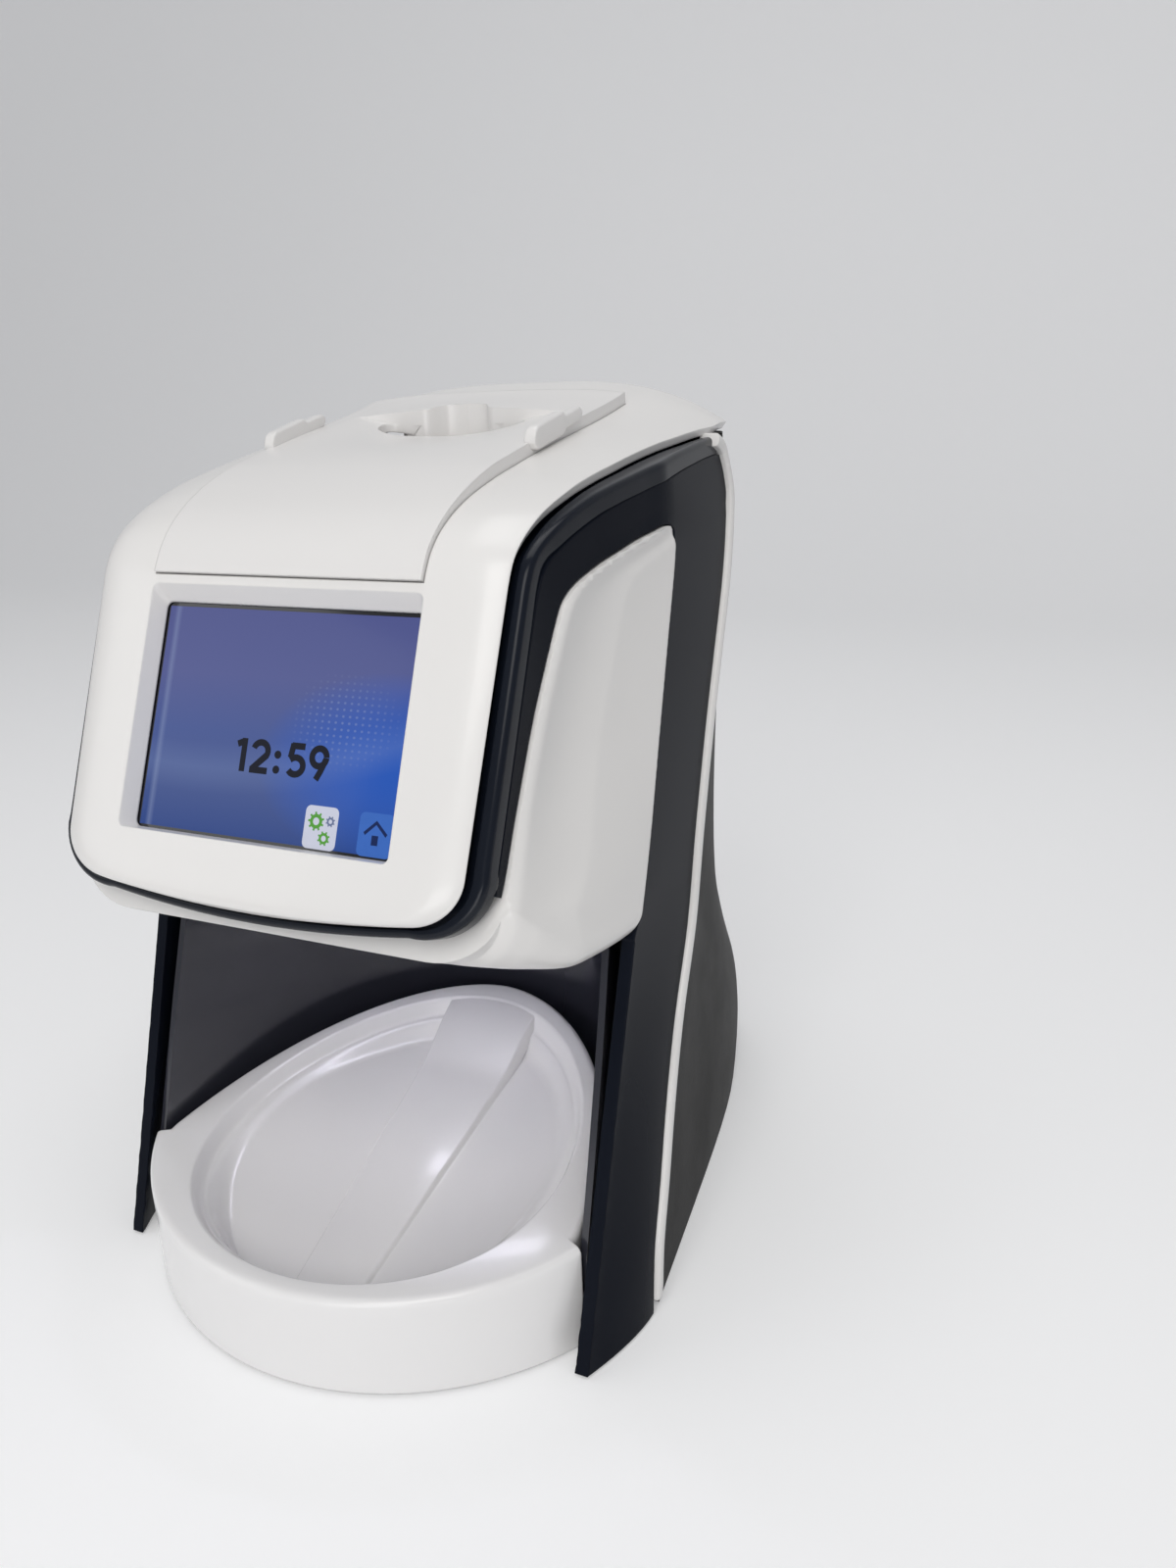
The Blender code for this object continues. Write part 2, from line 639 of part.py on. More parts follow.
def cover_grid():
    """Top and bottom surfaces of the cover, as rows of points from the front seam back."""
    seam_y = front_point(0, HOOD_BEND).y
    step_share = (POCKET_REAR_Y - seam_y) / (COVER_REAR_Y - seam_y)
    shares = COVER_ROW_SHARES + [step_share - STEP_SHARE, step_share + STEP_SHARE]
    shares.sort()
    top = []
    bottom = []
    for share in shares:
        row = surface_at(share)
        half = cover_half_width(row[0].y) + OVERRUN / 2
        top_row = []
        bottom_row = []
        behind = row[0].y > POCKET_REAR_Y
        end_row = share in (shares[0], shares[1], shares[-1]) or (behind and share == shares[-2])
        for across in COVER_ACROSS_SHARES:
            x = half * across
            point = hood_point(row, x / row[2])
            rise = cover_rise(x, point.y, share)
            top_row.append(point - row[1] * rise)
            under = min(rise - COVER_SKIN, -FIT)
            if behind:
                under = min(under, COVER_RISE - COVER_SKIN)
            if end_row or abs(across) > RIM_SHARE:
                under = min(-COVER_SEAT, under)
            bottom_row.append(point - row[1] * under)
        top.append(top_row)
        bottom.append(bottom_row)
    return top, bottom


def make_cover():
    top, bottom = cover_grid()
    rings = [above + below[::-1] for above, below in zip(top, bottom)]
    cover = lofted("inlet_cover", rings, white())
    keep(cover, cover_cutter("cover_bounds", 0.0))
    low = POCKET_FLOOR_Z - POCKET_WALL
    outline = pocket_outline(POCKET_WALL)
    join(cover, slab("pocket_body", outline, "Z", low, POCKET_FRONT_TOP_Z))
    rear = slab("pocket_rear", pocket_outline(0.85 * POCKET_WALL), "Z", POCKET_FLOOR_Z, POCKET_REAR_TOP_Z)
    cut(rear, block("pocket_rear_trim", (-TABLE_HALF_WIDTH, 0, low - OVERRUN),
                    (TABLE_HALF_WIDTH, POCKET_REAR_Y + FIT, HOOD_TOP_Z)))
    join(cover, rear, make_tab(1), make_tab(-1))
    cut(cover, slab("pocket", pocket_outline(), "Z", POCKET_FLOOR_Z, HOOD_TOP_Z + OVERRUN),
        block("plate_slot", (-PLATE_HALF_WIDTH, PATH_Y - SLOT_GAP / 2, low - OVERRUN),
              (PLATE_HALF_WIDTH, PATH_Y + SLOT_GAP / 2, POCKET_FLOOR_Z + OVERRUN / 2)))
    return cover


# Dark frame inside the hood, which closes the gap along its edge

FRAME_INSET = HOOD_WALL + FIT
FRAME_WALL = 0.0018
FRAME_OPENING_HALF_WIDTH = 0.42092 * TABLE_HALF_WIDTH
FRAME_OPENING_FRONT_Y = 0.11038 * HOOD_TOP_Z
FRAME_REAR_Y = 0.45916 * HOOD_TOP_Z


def make_head_frame():
    frame_rows = hood_rows(FRAME_INSET)
    shares = ACROSS_SHARES[::2]
    grid = [[hood_point(row, share) for share in shares] for row in frame_rows]
    flange = SHADOW_GAP + RIM_DEPTH - FRAME_INSET
    bm = bmesh.new()
    verts = [[bm.verts.new(point) for point in row] for row in grid]
    for row, following in zip(verts, verts[1:]):
        for i in range(len(row) - 1):
            bm.faces.new((row[i], row[i + 1], following[i + 1], following[i]))
    last = len(shares) - 1
    border = [(j, 0) for j in range(len(grid) - 1, -1, -1)] + [(0, i) for i in range(1, last + 1)]
    border += [(j, last) for j in range(1, len(grid))]
    skirt = [bm.verts.new(grid[j][i] + frame_rows[j][1] * flange) for j, i in border]
    for k in range(len(border) - 1):
        j, i = border[k]
        m, n = border[k + 1]
        bm.faces.new((verts[j][i], verts[m][n], skirt[k + 1], skirt[k]))
    bmesh.ops.recalc_face_normals(bm, faces=bm.faces)
    bm.normal_update()
    bm.faces.ensure_lookup_table()
    if max(bm.faces, key=lambda face: face.calc_center_median().z).normal.z < 0:
        bmesh.ops.reverse_faces(bm, faces=bm.faces)
    mesh = bpy.data.meshes.new("head_frame")
    bm.to_mesh(mesh)
    bm.free()
    frame = link("head_frame", mesh, dark())
    thicken(frame, FRAME_WALL)
    half = SCREEN_WIDTH / 2 + BEZEL_PLATE + FIT
    up = SCREEN_HEIGHT / 2 + BEZEL_PLATE + FIT
    cut(frame, slab("display_window", [(-half, -up), (half, -up), (half, up), (-half, up)], "FRONT",
                    -BEZEL_DEPTH - OVERRUN / 3, OVERRUN, origin=front_point(0, 0)),
        block("cover_window", (-FRAME_OPENING_HALF_WIDTH, FRAME_OPENING_FRONT_Y, HOOD_RIM_Z - SCREEN_HEIGHT / 2),
              (FRAME_OPENING_HALF_WIDTH, REAR_Y, HOOD_TOP_Z)),
        block("frame_end", (-TABLE_HALF_WIDTH, FRAME_REAR_Y, HOOD_RIM_Z - SCREEN_HEIGHT),
              (TABLE_HALF_WIDTH, REAR_Y + OVERRUN, HOOD_TOP_Z + OVERRUN)))
    return frame


# Dark trim that runs round the hood's edge: up both sides and under the chin

RIM_DEPTH = 0.0048
RIM_CHIN_WIDTH = 0.0024
RIM_INNER = 0.0005
RIM_ROUND = 0.0010
RIM_FOOT = 0.0018             # foot under the hood's edge, up to the frame inside
RIM_LAST_ROW = 20


def rim_section(place, lean, out, wide):
    near = place + out * RIM_INNER
    far = place + out * wide
    inner = place - out * RIM_FOOT
    top = lean * SHADOW_GAP
    step = lean * (SHADOW_GAP + RIM_DEPTH / 3)
    foot = lean * (SHADOW_GAP + RIM_DEPTH)
    return [near + top, far - out * RIM_ROUND + top, far + top + lean * RIM_ROUND, far + foot, inner + foot,
            inner + step, near + step]


def make_head_rim():
    rings = []
    for index in range(RIM_LAST_ROW, -1, -1):
        row = HOOD_ROWS[index]
        place = hood_point(row, 1.0)
        out = Vector((1, 0, 0))
        wide = panel_x(place.y, place.z) - place.x
        up = FRONT_ROW_SHARES[index] * (HOOD_BEND - HOOD_BOTTOM) if index < len(FRONT_ROW_SHARES) else 1
        if up < CHIN_CORNER:
            side = 1 - up / CHIN_CORNER
            out = Vector((math.sqrt(1 - side * side), 0, 0)) - FRONT_UP * side
            wide = mix(RIM_CHIN_WIDTH, HEAD_HALF_WIDTH - HOOD_FRONT_HALF_WIDTH, (1 - side) ** 0.5)
        rings.append(rim_section(place, row[1], out, wide))
    for across in (0.8, 0.5, 0.2):
        row = HOOD_ROWS[0]
        place = hood_point(row, across)
        rings.append(rim_section(place, row[1], -FRONT_UP, RIM_CHIN_WIDTH))
    mirrored = [[Vector((-p.x, p.y, p.z)) for p in ring] for ring in reversed(rings)]
    return lofted("head_rim", rings + mirrored, dark())


# Side panels: dark skins that stand on the table as legs and close the sides of the head

PANEL_STEP = 0.0140
PANEL_GAP = 0.00034
CRADLE_CORNER = 0.02649 * HOOD_TOP_Z
CRADLE_LIP_Z = 0.48786 * HOOD_TOP_Z


def panel_outline():
    foot = TABLE_CLEARANCE
    corner_y, corner_z = WING_REAR[0]
    line = [(toe_y(foot), foot), (toe_y(corner_z) - PANEL_GAP, corner_z - PANEL_GAP)]
    line += [(y + PANEL_GAP, z) for y, z in WING_REAR[1:]]
    line += [(y - PANEL_GAP, z + PANEL_GAP) for y, z in WING_CREST if z > CRADLE_LIP_Z + 2 * CRADLE_CORNER]
    depth = SHADOW_GAP + RIM_DEPTH + FIT
    for index in range(2, RIM_LAST_ROW + 1):
        place = hood_edge(index, depth)
        if place.z > line[-1][1] + FIT and place.y < table(STRIP_BY_HEIGHT, place.z):
            line.append((place.y, place.z))
    line += [(y, z) for y, z in reversed(STRIP_LINE) if foot < z < line[-1][1]]
    line.append((STRIP_LINE[0][0], foot))
    return line


def steps_between(low, high, step):
    count = max(1, round((high - low) / step))
    return [mix(low, high, i / count) for i in range(count + 1)]


def make_side_panel(name, side):
    heights = steps_between(-OVERRUN, HOOD_RIM_Z, PANEL_STEP)
    depths = steps_between(-2 * OVERRUN, STRIP_LINE[-1][0] + 2 * OVERRUN, PANEL_STEP)
    rows = [[(side * panel_x(y, z), y, z) for y in depths] for z in heights]
    panel = sheet(name, rows, dark(), PANEL_WALL, (side, 0, 0))
    outline = slab(name + "_outline", panel_outline(), "X", side * HEAD_HALF_WIDTH / 2,
                   side * (TABLE_HALF_WIDTH + OVERRUN))
    return keep(panel, outline)


# White cradle: a wing on each side of the head, joined under it

CRADLE_WALL = 0.0022
WING_PROUD = 0.0018
WING_REAR_PROUD = 0.0005
CRADLE_FRONT_Y = -0.01413 * HOOD_TOP_Z
CRADLE_FRONT_CORNER = 0.07506 * HOOD_TOP_Z
CRADLE_CORNER_RUN = 0.11479 * HOOD_TOP_Z   # the corner narrows over this run, from the front back
CRADLE_EDGE_Z = 0.54967 * HOOD_TOP_Z   # front edge of a wing turns down here, along the slope of the front
CRADLE_DEPTH = 0.19426 * HOOD_TOP_Z
# Underside of the cradle: shares of its depth, and of the drop from its lip to its rear edge
CRADLE_DROP = 0.04636 * HOOD_TOP_Z
CRADLE_UNDER_SHARES = [(-0.1, -0.05), (0.0, 0.0), (0.19, 0.33), (0.37, 0.62), (0.64, 0.92), (1.0, 1.0),
                       (2.5, 1.0)]
CRADLE_STATION_SHARES = [-0.10, 0.0, 0.07, 0.16, 0.27, 0.40, 0.58, 0.78, 0.96, 1.20, 1.45, 1.70, 1.95, 2.15]


def cradle_under_z(y):
    share = table(CRADLE_UNDER_SHARES, (y - CRADLE_FRONT_Y) / CRADLE_DEPTH)
    return CRADLE_LIP_Z - share * CRADLE_DROP


def cradle_corner(y):
    return mix(CRADLE_FRONT_CORNER, CRADLE_CORNER, smooth((y - CRADLE_FRONT_Y) / CRADLE_CORNER_RUN))


def wing_x(y, z):
    front_y = table(WING_CREST_BY_HEIGHT, z)
    rear_y = table(WING_REAR_BY_HEIGHT, z)
    low_z = WING_CREST_BY_HEIGHT[0][0]
    if z < low_z:
        front_y = mix(CRADLE_FRONT_Y, front_y, max(0.0, 1 - (low_z - z) / (low_z - CRADLE_LIP_Z)))
    front_x = head_flank(front_y) + WING_PROUD
    rear_x = flank(z) + WING_REAR_PROUD
    share = min(1.0, max(0.0, (y - front_y) / (rear_y - front_y)))
    power = mix(0.62, 1.3, smooth((z - CRADLE_LIP_Z) / CRADLE_DEPTH))
    return mix(front_x, rear_x, share ** power)


def cradle_outline():
    low = CRADLE_LIP_Z - 2 * CRADLE_DROP
    corner_y, corner_z = WING_REAR[0]
    crest = [(y, z) for y, z in WING_CREST[1:] if z > CRADLE_EDGE_Z]
    edge_y = table(WING_CREST_BY_HEIGHT, CRADLE_EDGE_Z)
    line = [(edge_y - math.tan(SCREEN_TILT) * (CRADLE_EDGE_Z - low), low), (corner_y, low)]
    return line + WING_REAR + crest + [(edge_y, CRADLE_EDGE_Z)]


def make_cradle():
    rows = []
    for share in CRADLE_STATION_SHARES:
        y = CRADLE_FRONT_Y + share * CRADLE_DEPTH
        under = cradle_under_z(y)
        corner = cradle_corner(y)
        side = wing_x(y, under + corner)
        half = [(0, under), (0.4 * side, under), (side - corner, under),
                (side - 0.5 * corner, under + 0.134 * corner), (side - 0.134 * corner, under + 0.5 * corner)]
        for step in range(8):
            z = mix(under + corner, HOOD_RIM_Z - CRADLE_DROP, step / 7)
            half.append((wing_x(y, z), z))
        rows.append([(-x, y, z) for x, z in reversed(half[1:])] + [(x, y, z) for x, z in half])
    cradle = sheet("wing_cradle", rows, white(), CRADLE_WALL, (0, 0, -1))
    outline = slab("cradle_outline", cradle_outline(), "X", -TABLE_HALF_WIDTH - OVERRUN,
                   TABLE_HALF_WIDTH + OVERRUN)
    return keep(cradle, outline)


# Rear housing and the white strips between it and the side panels

STRIP_WIDTH = 0.0035
STRIP_PROUD = 0.0016
STRIP_THICKNESS = 0.0040
HOUSING_TOP_Z = 0.93377 * HOOD_TOP_Z
# Rear line of the housing in the side view: shares of the hood rim's height, and of the bulge
BULGE_SHARES = [(0.00, 0.80), (0.045, 0.95), (0.093, 1.00), (0.140, 0.96), (0.187, 0.84), (0.243, 0.61),
                (0.308, 0.35), (0.374, 0.13), (0.444, 0.025), (0.560, 0.0), (1.10, 0.0)]
HOUSING_TAPER_SHARES = [(0.0, 0.19), (0.5, 0.17), (1.0, 0.10)]
HOUSING_TURNS = (0, 4, 14, 28, 45, 62, 76, 86, 90)


def housing_rear_y(z):
    return mix(NECK_REAR_Y, REAR_Y, table(BULGE_SHARES, z / HOOD_RIM_Z))


def housing_point(z, degrees, inset=0.0):
    """Point of the housing's right half, from its front edge (0 degrees) to its back (90)."""
    start = table(STRIP_BY_HEIGHT, z) + STRIP_WIDTH - 2 * FIT
    turn = math.radians(degrees)
    back = math.sin(turn) ** (1 / 3)
    side = math.cos(turn) ** (1 / 3)
    taper = table(HOUSING_TAPER_SHARES, z / HOOD_RIM_Z)
    x = (flank(z) - inset) * (1 - taper * back) * side
    return (x if degrees < 90 else 0.0, mix(start, housing_rear_y(z) - inset, back), z)


def make_strip(name, side):
    rings = []
    for y, z in STRIP_LINE:
        if z < 1.5 * STRIP_THICKNESS:
            continue
        x = flank(z)
        rings.append([(side * out, back, z) for out, back in (
            (x - STRIP_THICKNESS, y + FIT), (x + 0.5 * STRIP_PROUD, y + FIT),
            (x + STRIP_PROUD, y + FIT + 0.3 * STRIP_WIDTH), (x + STRIP_PROUD, y + FIT + 0.7 * STRIP_WIDTH),
            (x + 0.5 * STRIP_PROUD, y + FIT + STRIP_WIDTH), (x - STRIP_THICKNESS, y + FIT + STRIP_WIDTH))])
    end = [(x, y - 0.2 * STRIP_THICKNESS, STRIP_THICKNESS) for x, y, z in rings[0]]
    return lofted(name, [end] + rings, white())


PORT_HALF_WIDTH = 0.48469 * TABLE_HALF_WIDTH
PORT_LOW_Z = 0.0120
PORT_HIGH_Z = 0.17483 * HOOD_TOP_Z
FAN_Z = 0.57395 * HOOD_TOP_Z
FAN_SIZE = 0.17660 * HOOD_TOP_Z
SLOT_HEIGHT = 0.0022
SLOT_COUNT = 7


def make_rear_housing():
    top = HOUSING_TOP_Z
    rows = []
    bulge_z = max(BULGE_SHARES, key=lambda place: place[1])[0] * HOOD_RIM_Z
    heights = [TABLE_CLEARANCE] + [z for y, z in STRIP_LINE[1:8] + STRIP_LINE[8:-1:2]] + [bulge_z, top]
    for z in sorted(heights):
        right = [housing_point(z, degrees) for degrees in HOUSING_TURNS]
        rows.append(right + [(-x, y, z) for x, y, z in reversed(right[:-1])])
    housing = sheet("rear_housing", rows, grey(), HOUSING_WALL, (0, 1, 0))
    window = block("port_window", (-PORT_HALF_WIDTH, NECK_REAR_Y + OVERRUN, PORT_LOW_Z),
                   (PORT_HALF_WIDTH, REAR_Y + OVERRUN, PORT_HIGH_Z))
    line = [(y + STRIP_WIDTH + 2 * FIT, z) for y, z in STRIP_LINE]
    ahead = [(-OVERRUN, -OVERRUN), (line[0][0] - OVERRUN / 4, -OVERRUN)] + line
    ahead += [(line[-1][0], top + OVERRUN), (-OVERRUN, top + OVERRUN)]
    cut(housing, window, slab("strip_seat", ahead, "X", -TABLE_HALF_WIDTH - OVERRUN, TABLE_HALF_WIDTH + OVERRUN))
    pitch = 0.8 * FAN_SIZE / (SLOT_COUNT - 1)
    for index in range(SLOT_COUNT):
        z = FAN_Z + (index - (SLOT_COUNT - 1) / 2) * pitch
        half = math.sqrt((0.5 * FAN_SIZE) ** 2 - (z - FAN_Z) ** 2)
        cut(housing, block("vent_slot", (-half, NECK_REAR_Y - OVERRUN, z - SLOT_HEIGHT / 2),
                           (half, NECK_REAR_Y + OVERRUN, z + SLOT_HEIGHT / 2)))
    return housing


# Base plate with its feet

FOOT_HEIGHT = 0.0025
FOOT_RADIUS = 0.0060
BASE_THICKNESS = 0.0025
BASE_Z = FOOT_HEIGHT + FIT
BASE_TOP = BASE_Z + BASE_THICKNESS
BASE_HALF_WIDTH = 0.89286 * TABLE_HALF_WIDTH
BASE_ARM_GAP = 0.0023       # arms start this far behind the skirt
BASE_ARM_Y = SKIRT_END_Y + BASE_ARM_GAP
BASE_ARM_INNER = 0.62500 * TABLE_HALF_WIDTH
BASE_ARM_OUTER = 0.82270 * TABLE_HALF_WIDTH
BASE_MAIN_Y = 0.19868 * HOOD_TOP_Z
FOOT_REAR_INSET = 0.11479 * HOOD_TOP_Z


def make_base():
    rear = [housing_point(BASE_Z, degrees, HOUSING_WALL + 1.3 * FIT) for degrees in HOUSING_TURNS[2:]]
    right = [(BASE_ARM_INNER, BASE_MAIN_Y), (BASE_ARM_INNER, BASE_ARM_Y), (BASE_ARM_OUTER, BASE_ARM_Y),
             (BASE_ARM_OUTER, BASE_MAIN_Y - 0.5 * OVERRUN), (BASE_HALF_WIDTH, BASE_MAIN_Y + 0.2 * OVERRUN)]
    right += [(x, y) for x, y, z in rear]
    outline = right + [(-x, y) for x, y in reversed(right) if x > 0]
    return slab("base_plate", outline, "Z", BASE_Z, BASE_TOP, black())


def foot_places():
    arm_x = (BASE_ARM_INNER + BASE_ARM_OUTER) / 2
    rear_y = REAR_Y - FOOT_REAR_INSET
    arm_y = BASE_ARM_Y + FOOT_RADIUS
    return [(arm_x, arm_y), (-arm_x, arm_y), (BASE_ARM_INNER, rear_y), (-BASE_ARM_INNER, rear_y)]


def make_feet():
    looks = material("rubber", BLACK_SHARES, 0.8)
    for number, (x, y) in enumerate(foot_places(), 1):
        profile = [(0, FOOT_HEIGHT), (FOOT_RADIUS, FOOT_HEIGHT), (0.9 * FOOT_RADIUS, 0), (0, 0)]
        turned(f"rubber_foot_{number}", profile, "Z", (x, y, 0), looks, 16)


# Bay behind the tray: a dark U-shaped wall and the ceiling under the head

BAY_HALF_WIDTH = 0.83163 * TABLE_HALF_WIDTH
BAY_WALL = 0.0018
BAY_START_Y = 0.04415 * HOOD_TOP_Z
BAY_REAR_Y = 0.49890 * HOOD_TOP_Z
BAY_CEILING_Z = 0.44812 * HOOD_TOP_Z
CEILING_THICKNESS = 0.0020
BAY_FRONT_SETBACK = 0.0015
EXIT_HALF_WIDTH = 0.27423 * TABLE_HALF_WIDTH
EXIT_LENGTH = 0.06181 * HOOD_TOP_Z
LIGHT_HALF_WIDTH = 0.33163 * TABLE_HALF_WIDTH
LIGHT_LENGTH = 0.03532 * HOOD_TOP_Z
LIGHT_Y = 0.29139 * HOOD_TOP_Z
EGG_TURNS = (90, 82, 72, 60, 48, 36, 24, 12, 5)


def egg(half_width, start_y, end_y, degrees, square=1.0):
    """Half-egg outline from its rear (90 degrees) forward to its widest place (0)."""
    turn = math.radians(degrees)
    return (half_width * math.cos(turn) ** (1.1 * square), start_y + (end_y - start_y) * math.sin(turn) ** square)


def bay_line(offset):
    line = [egg(BAY_HALF_WIDTH + offset, BAY_START_Y, BAY_REAR_Y + offset, degrees, 0.82)
            for degrees in EGG_TURNS]
    line.append((BAY_HALF_WIDTH + offset, BAY_START_Y))
    return [(x if degrees < 90 else 0.0, y) for (x, y), degrees in zip(line, EGG_TURNS + (0,))]


def make_bay_wall():
    right = bay_line(0.0)
    plan = right[::-1] + [(-x, y) for x, y in right[1:]]
    foot = BASE_TOP + FIT
    rows = [[(x, y, z) for x, y in plan] for z in (foot, BAY_CEILING_Z - FIT)]
    wall = sheet("bay_wall", rows, dark(), BAY_WALL, (0, -1, 0))
    top = BAY_CEILING_Z + OVERRUN
    setback = BAY_FRONT_SETBACK
    tray_z = BASE_TOP + BAY_REAR_Y / 4
    outline = [(-REAR_Y, -OVERRUN), (SKIRT_END_Y, -OVERRUN), (SKIRT_END_Y, tray_z * 0.75),
               (toe_y(top) + setback, top), (-REAR_Y, top)]
    return cut(wall, slab("bay_front_trim", outline, "X", -TABLE_HALF_WIDTH, TABLE_HALF_WIDTH))


def make_ceiling():
    right = [(x, y) for x, y in bay_line(BAY_WALL) if y > BASE_MAIN_Y]
    front_y = table(WING_REAR_BY_HEIGHT, BAY_CEILING_Z + CEILING_THICKNESS) + 2 * FIT
    right.append((BAY_HALF_WIDTH + BAY_WALL, front_y))
    outline = right + [(-x, y) for x, y in reversed(right) if x > 0]
    low = BAY_CEILING_Z
    ceiling = slab("bay_ceiling", outline, "Z", low, low + CEILING_THICKNESS, dark())
    under = low - OVERRUN
    over = low + OVERRUN
    cut(ceiling, block("exit_slot", (-EXIT_HALF_WIDTH, PATH_Y - EXIT_LENGTH / 2, under),
                       (EXIT_HALF_WIDTH, PATH_Y + EXIT_LENGTH / 2, over)))
    cut(ceiling, block("light_slot", (-LIGHT_HALF_WIDTH, LIGHT_Y - LIGHT_LENGTH / 2, under),
                       (LIGHT_HALF_WIDTH, LIGHT_Y + LIGHT_LENGTH / 2, over)))
    lens = material("light_diffuser", WHITE_SHARES, 0.3)
    block("bay_light_lens", (-LIGHT_HALF_WIDTH + FIT, LIGHT_Y - LIGHT_LENGTH / 2 + FIT, low),
          (LIGHT_HALF_WIDTH - FIT, LIGHT_Y + LIGHT_LENGTH / 2 - FIT, low + CEILING_THICKNESS), lens)
    board_z = low + CEILING_THICKNESS + FIT
    block("bay_light_board", (-LIGHT_HALF_WIDTH - OVERRUN, LIGHT_Y - LIGHT_LENGTH / 2, board_z),
          (LIGHT_HALF_WIDTH + OVERRUN, LIGHT_Y + LIGHT_LENGTH / 2, board_z + CIRCUIT_BOARD), circuit())


# Receiving tray: egg-shaped dish with a lip, a raised ramp along its middle, and a front skirt

TRAY_WALL = 0.0020
TRAY_HALF_WIDTH = 0.81633 * TABLE_HALF_WIDTH
TRAY_REAR_Y = 0.47682 * HOOD_TOP_Z
TRAY_SIDE_CLEARANCE = 0.0003
TRAY_RIM_Z = 0.0272
TRAY_RIM_RISE = 0.0150
DISH_HALF_WIDTH = 0.66327 * TABLE_HALF_WIDTH
DISH_CENTRE_Y = 0.18985 * HOOD_TOP_Z
DISH_HALF_LENGTH = 0.25607 * HOOD_TOP_Z
DISH_FLOOR_Z = 0.0055
DISH_FLOOR_SLOPE_SHARE = 0.270
DISH_FLOOR_MIN_Z = 0.0034
LIP_DEPTH = 0.0045            # steep lip inside the rim
LIP_SHARE = 0.945             # the lip ends this far out from the dish's centre
END_SHARE = 0.85              # the front and rear ends of the valley rise from here
VALLEY_POWER_SHARE = 1.5
RAMP_FRONT_SHARE = 0.89       # front end of the ramp, of the dish's half length
RAMP_CLIMB_SHARE = 0.54       # the ramp climbs to the rim from here
RAMP_END_SHARE = 0.99
RAMP_FRONT_RISE = 0.0010      # ramp above the dish's middle
RAMP_REAR_RISE = 0.0030
RAMP_REAR_DROP = 0.0005       # ramp's rear end under the rim
RAMP_SIDE_SHARE = 0.30        # how far the ramp's sides lean out, for their height
DISH_RING_SHARES = (1.0, 0.97, LIP_SHARE, 0.90, END_SHARE, 0.72, 0.54, 0.36, 0.18)
CENTRE_FRONT_HALF_WIDTH = 0.10842 * TABLE_HALF_WIDTH
CENTRE_REAR_HALF_WIDTH = 0.19133 * TABLE_HALF_WIDTH
SKIRT_TURNS = (59.3, 50, 40, 30, 20, 10, 0)


def tray_rim_z(y):
    share = max(0.0, (y - (SKIRT_CENTRE_Y - SKIRT_RADIUS)) / (TRAY_REAR_Y - (SKIRT_CENTRE_Y - SKIRT_RADIUS)))
    return TRAY_RIM_Z + TRAY_RIM_RISE * share ** 1.7


def tray_floor_z(y):
    return max(DISH_FLOOR_MIN_Z, DISH_FLOOR_Z + DISH_FLOOR_SLOPE_SHARE * y)


def tray_outline():
    """Right half of the outer outline from the rear forward: (x, y, height of its lower edge)."""
    side_z = BASE_TOP + TRAY_SIDE_CLEARANCE
    line = []
    for degrees in EGG_TURNS:
        x, y = egg(TRAY_HALF_WIDTH, BAY_START_Y, TRAY_REAR_Y, degrees)
        line.append((x if degrees < 90 else 0.0, y, side_z))
    line[-1] = (line[-1][0], SKIRT_END_Y, side_z)
    for degrees in SKIRT_TURNS:
        turn = math.radians(degrees)
        line.append((SKIRT_RADIUS * math.sin(turn), SKIRT_CENTRE_Y - SKIRT_RADIUS * math.cos(turn),
                     TABLE_CLEARANCE))
    return line


def dish_point(x, y, grow):
    """Point of the dish's outline in the direction of an outline point; grow is a length added."""
    turn = math.atan2(x / DISH_HALF_WIDTH, (y - DISH_CENTRE_Y) / DISH_HALF_LENGTH)
    out = Vector((math.sin(turn) * DISH_HALF_WIDTH * (1 - 0.12 * math.cos(turn)),
                  math.cos(turn) * DISH_HALF_LENGTH))
    out = out + out.normalized() * grow
    return out.x, DISH_CENTRE_Y + out.y


def inset_outline(x, y, inset):
    centre = Vector((0, DISH_CENTRE_Y))
    place = Vector((x, y))
    place -= (place - centre).normalized() * inset
    return place.x, place.y


def ramp_share(y):
    front_y = DISH_CENTRE_Y - RAMP_FRONT_SHARE * DISH_HALF_LENGTH
    rear_y = DISH_CENTRE_Y + RAMP_END_SHARE * DISH_HALF_LENGTH
    return min(1.0, max(0.0, (y - front_y) / (rear_y - front_y)))


def ramp_half_width(y):
    return mix(CENTRE_FRONT_HALF_WIDTH, CENTRE_REAR_HALF_WIDTH, ramp_share(y))


def ramp_z(y):
    """Top of the ramp: a little above the dish's middle, then up to the rear rim."""
    low_z = tray_floor_z(y) + mix(RAMP_FRONT_RISE, RAMP_REAR_RISE, ramp_share(y))
    out = (y - DISH_CENTRE_Y) / DISH_HALF_LENGTH
    climb = smooth((out - RAMP_CLIMB_SHARE) / (RAMP_END_SHARE - RAMP_CLIMB_SHARE))
    return mix(low_z, tray_rim_z(y) - RAMP_REAR_DROP, climb)


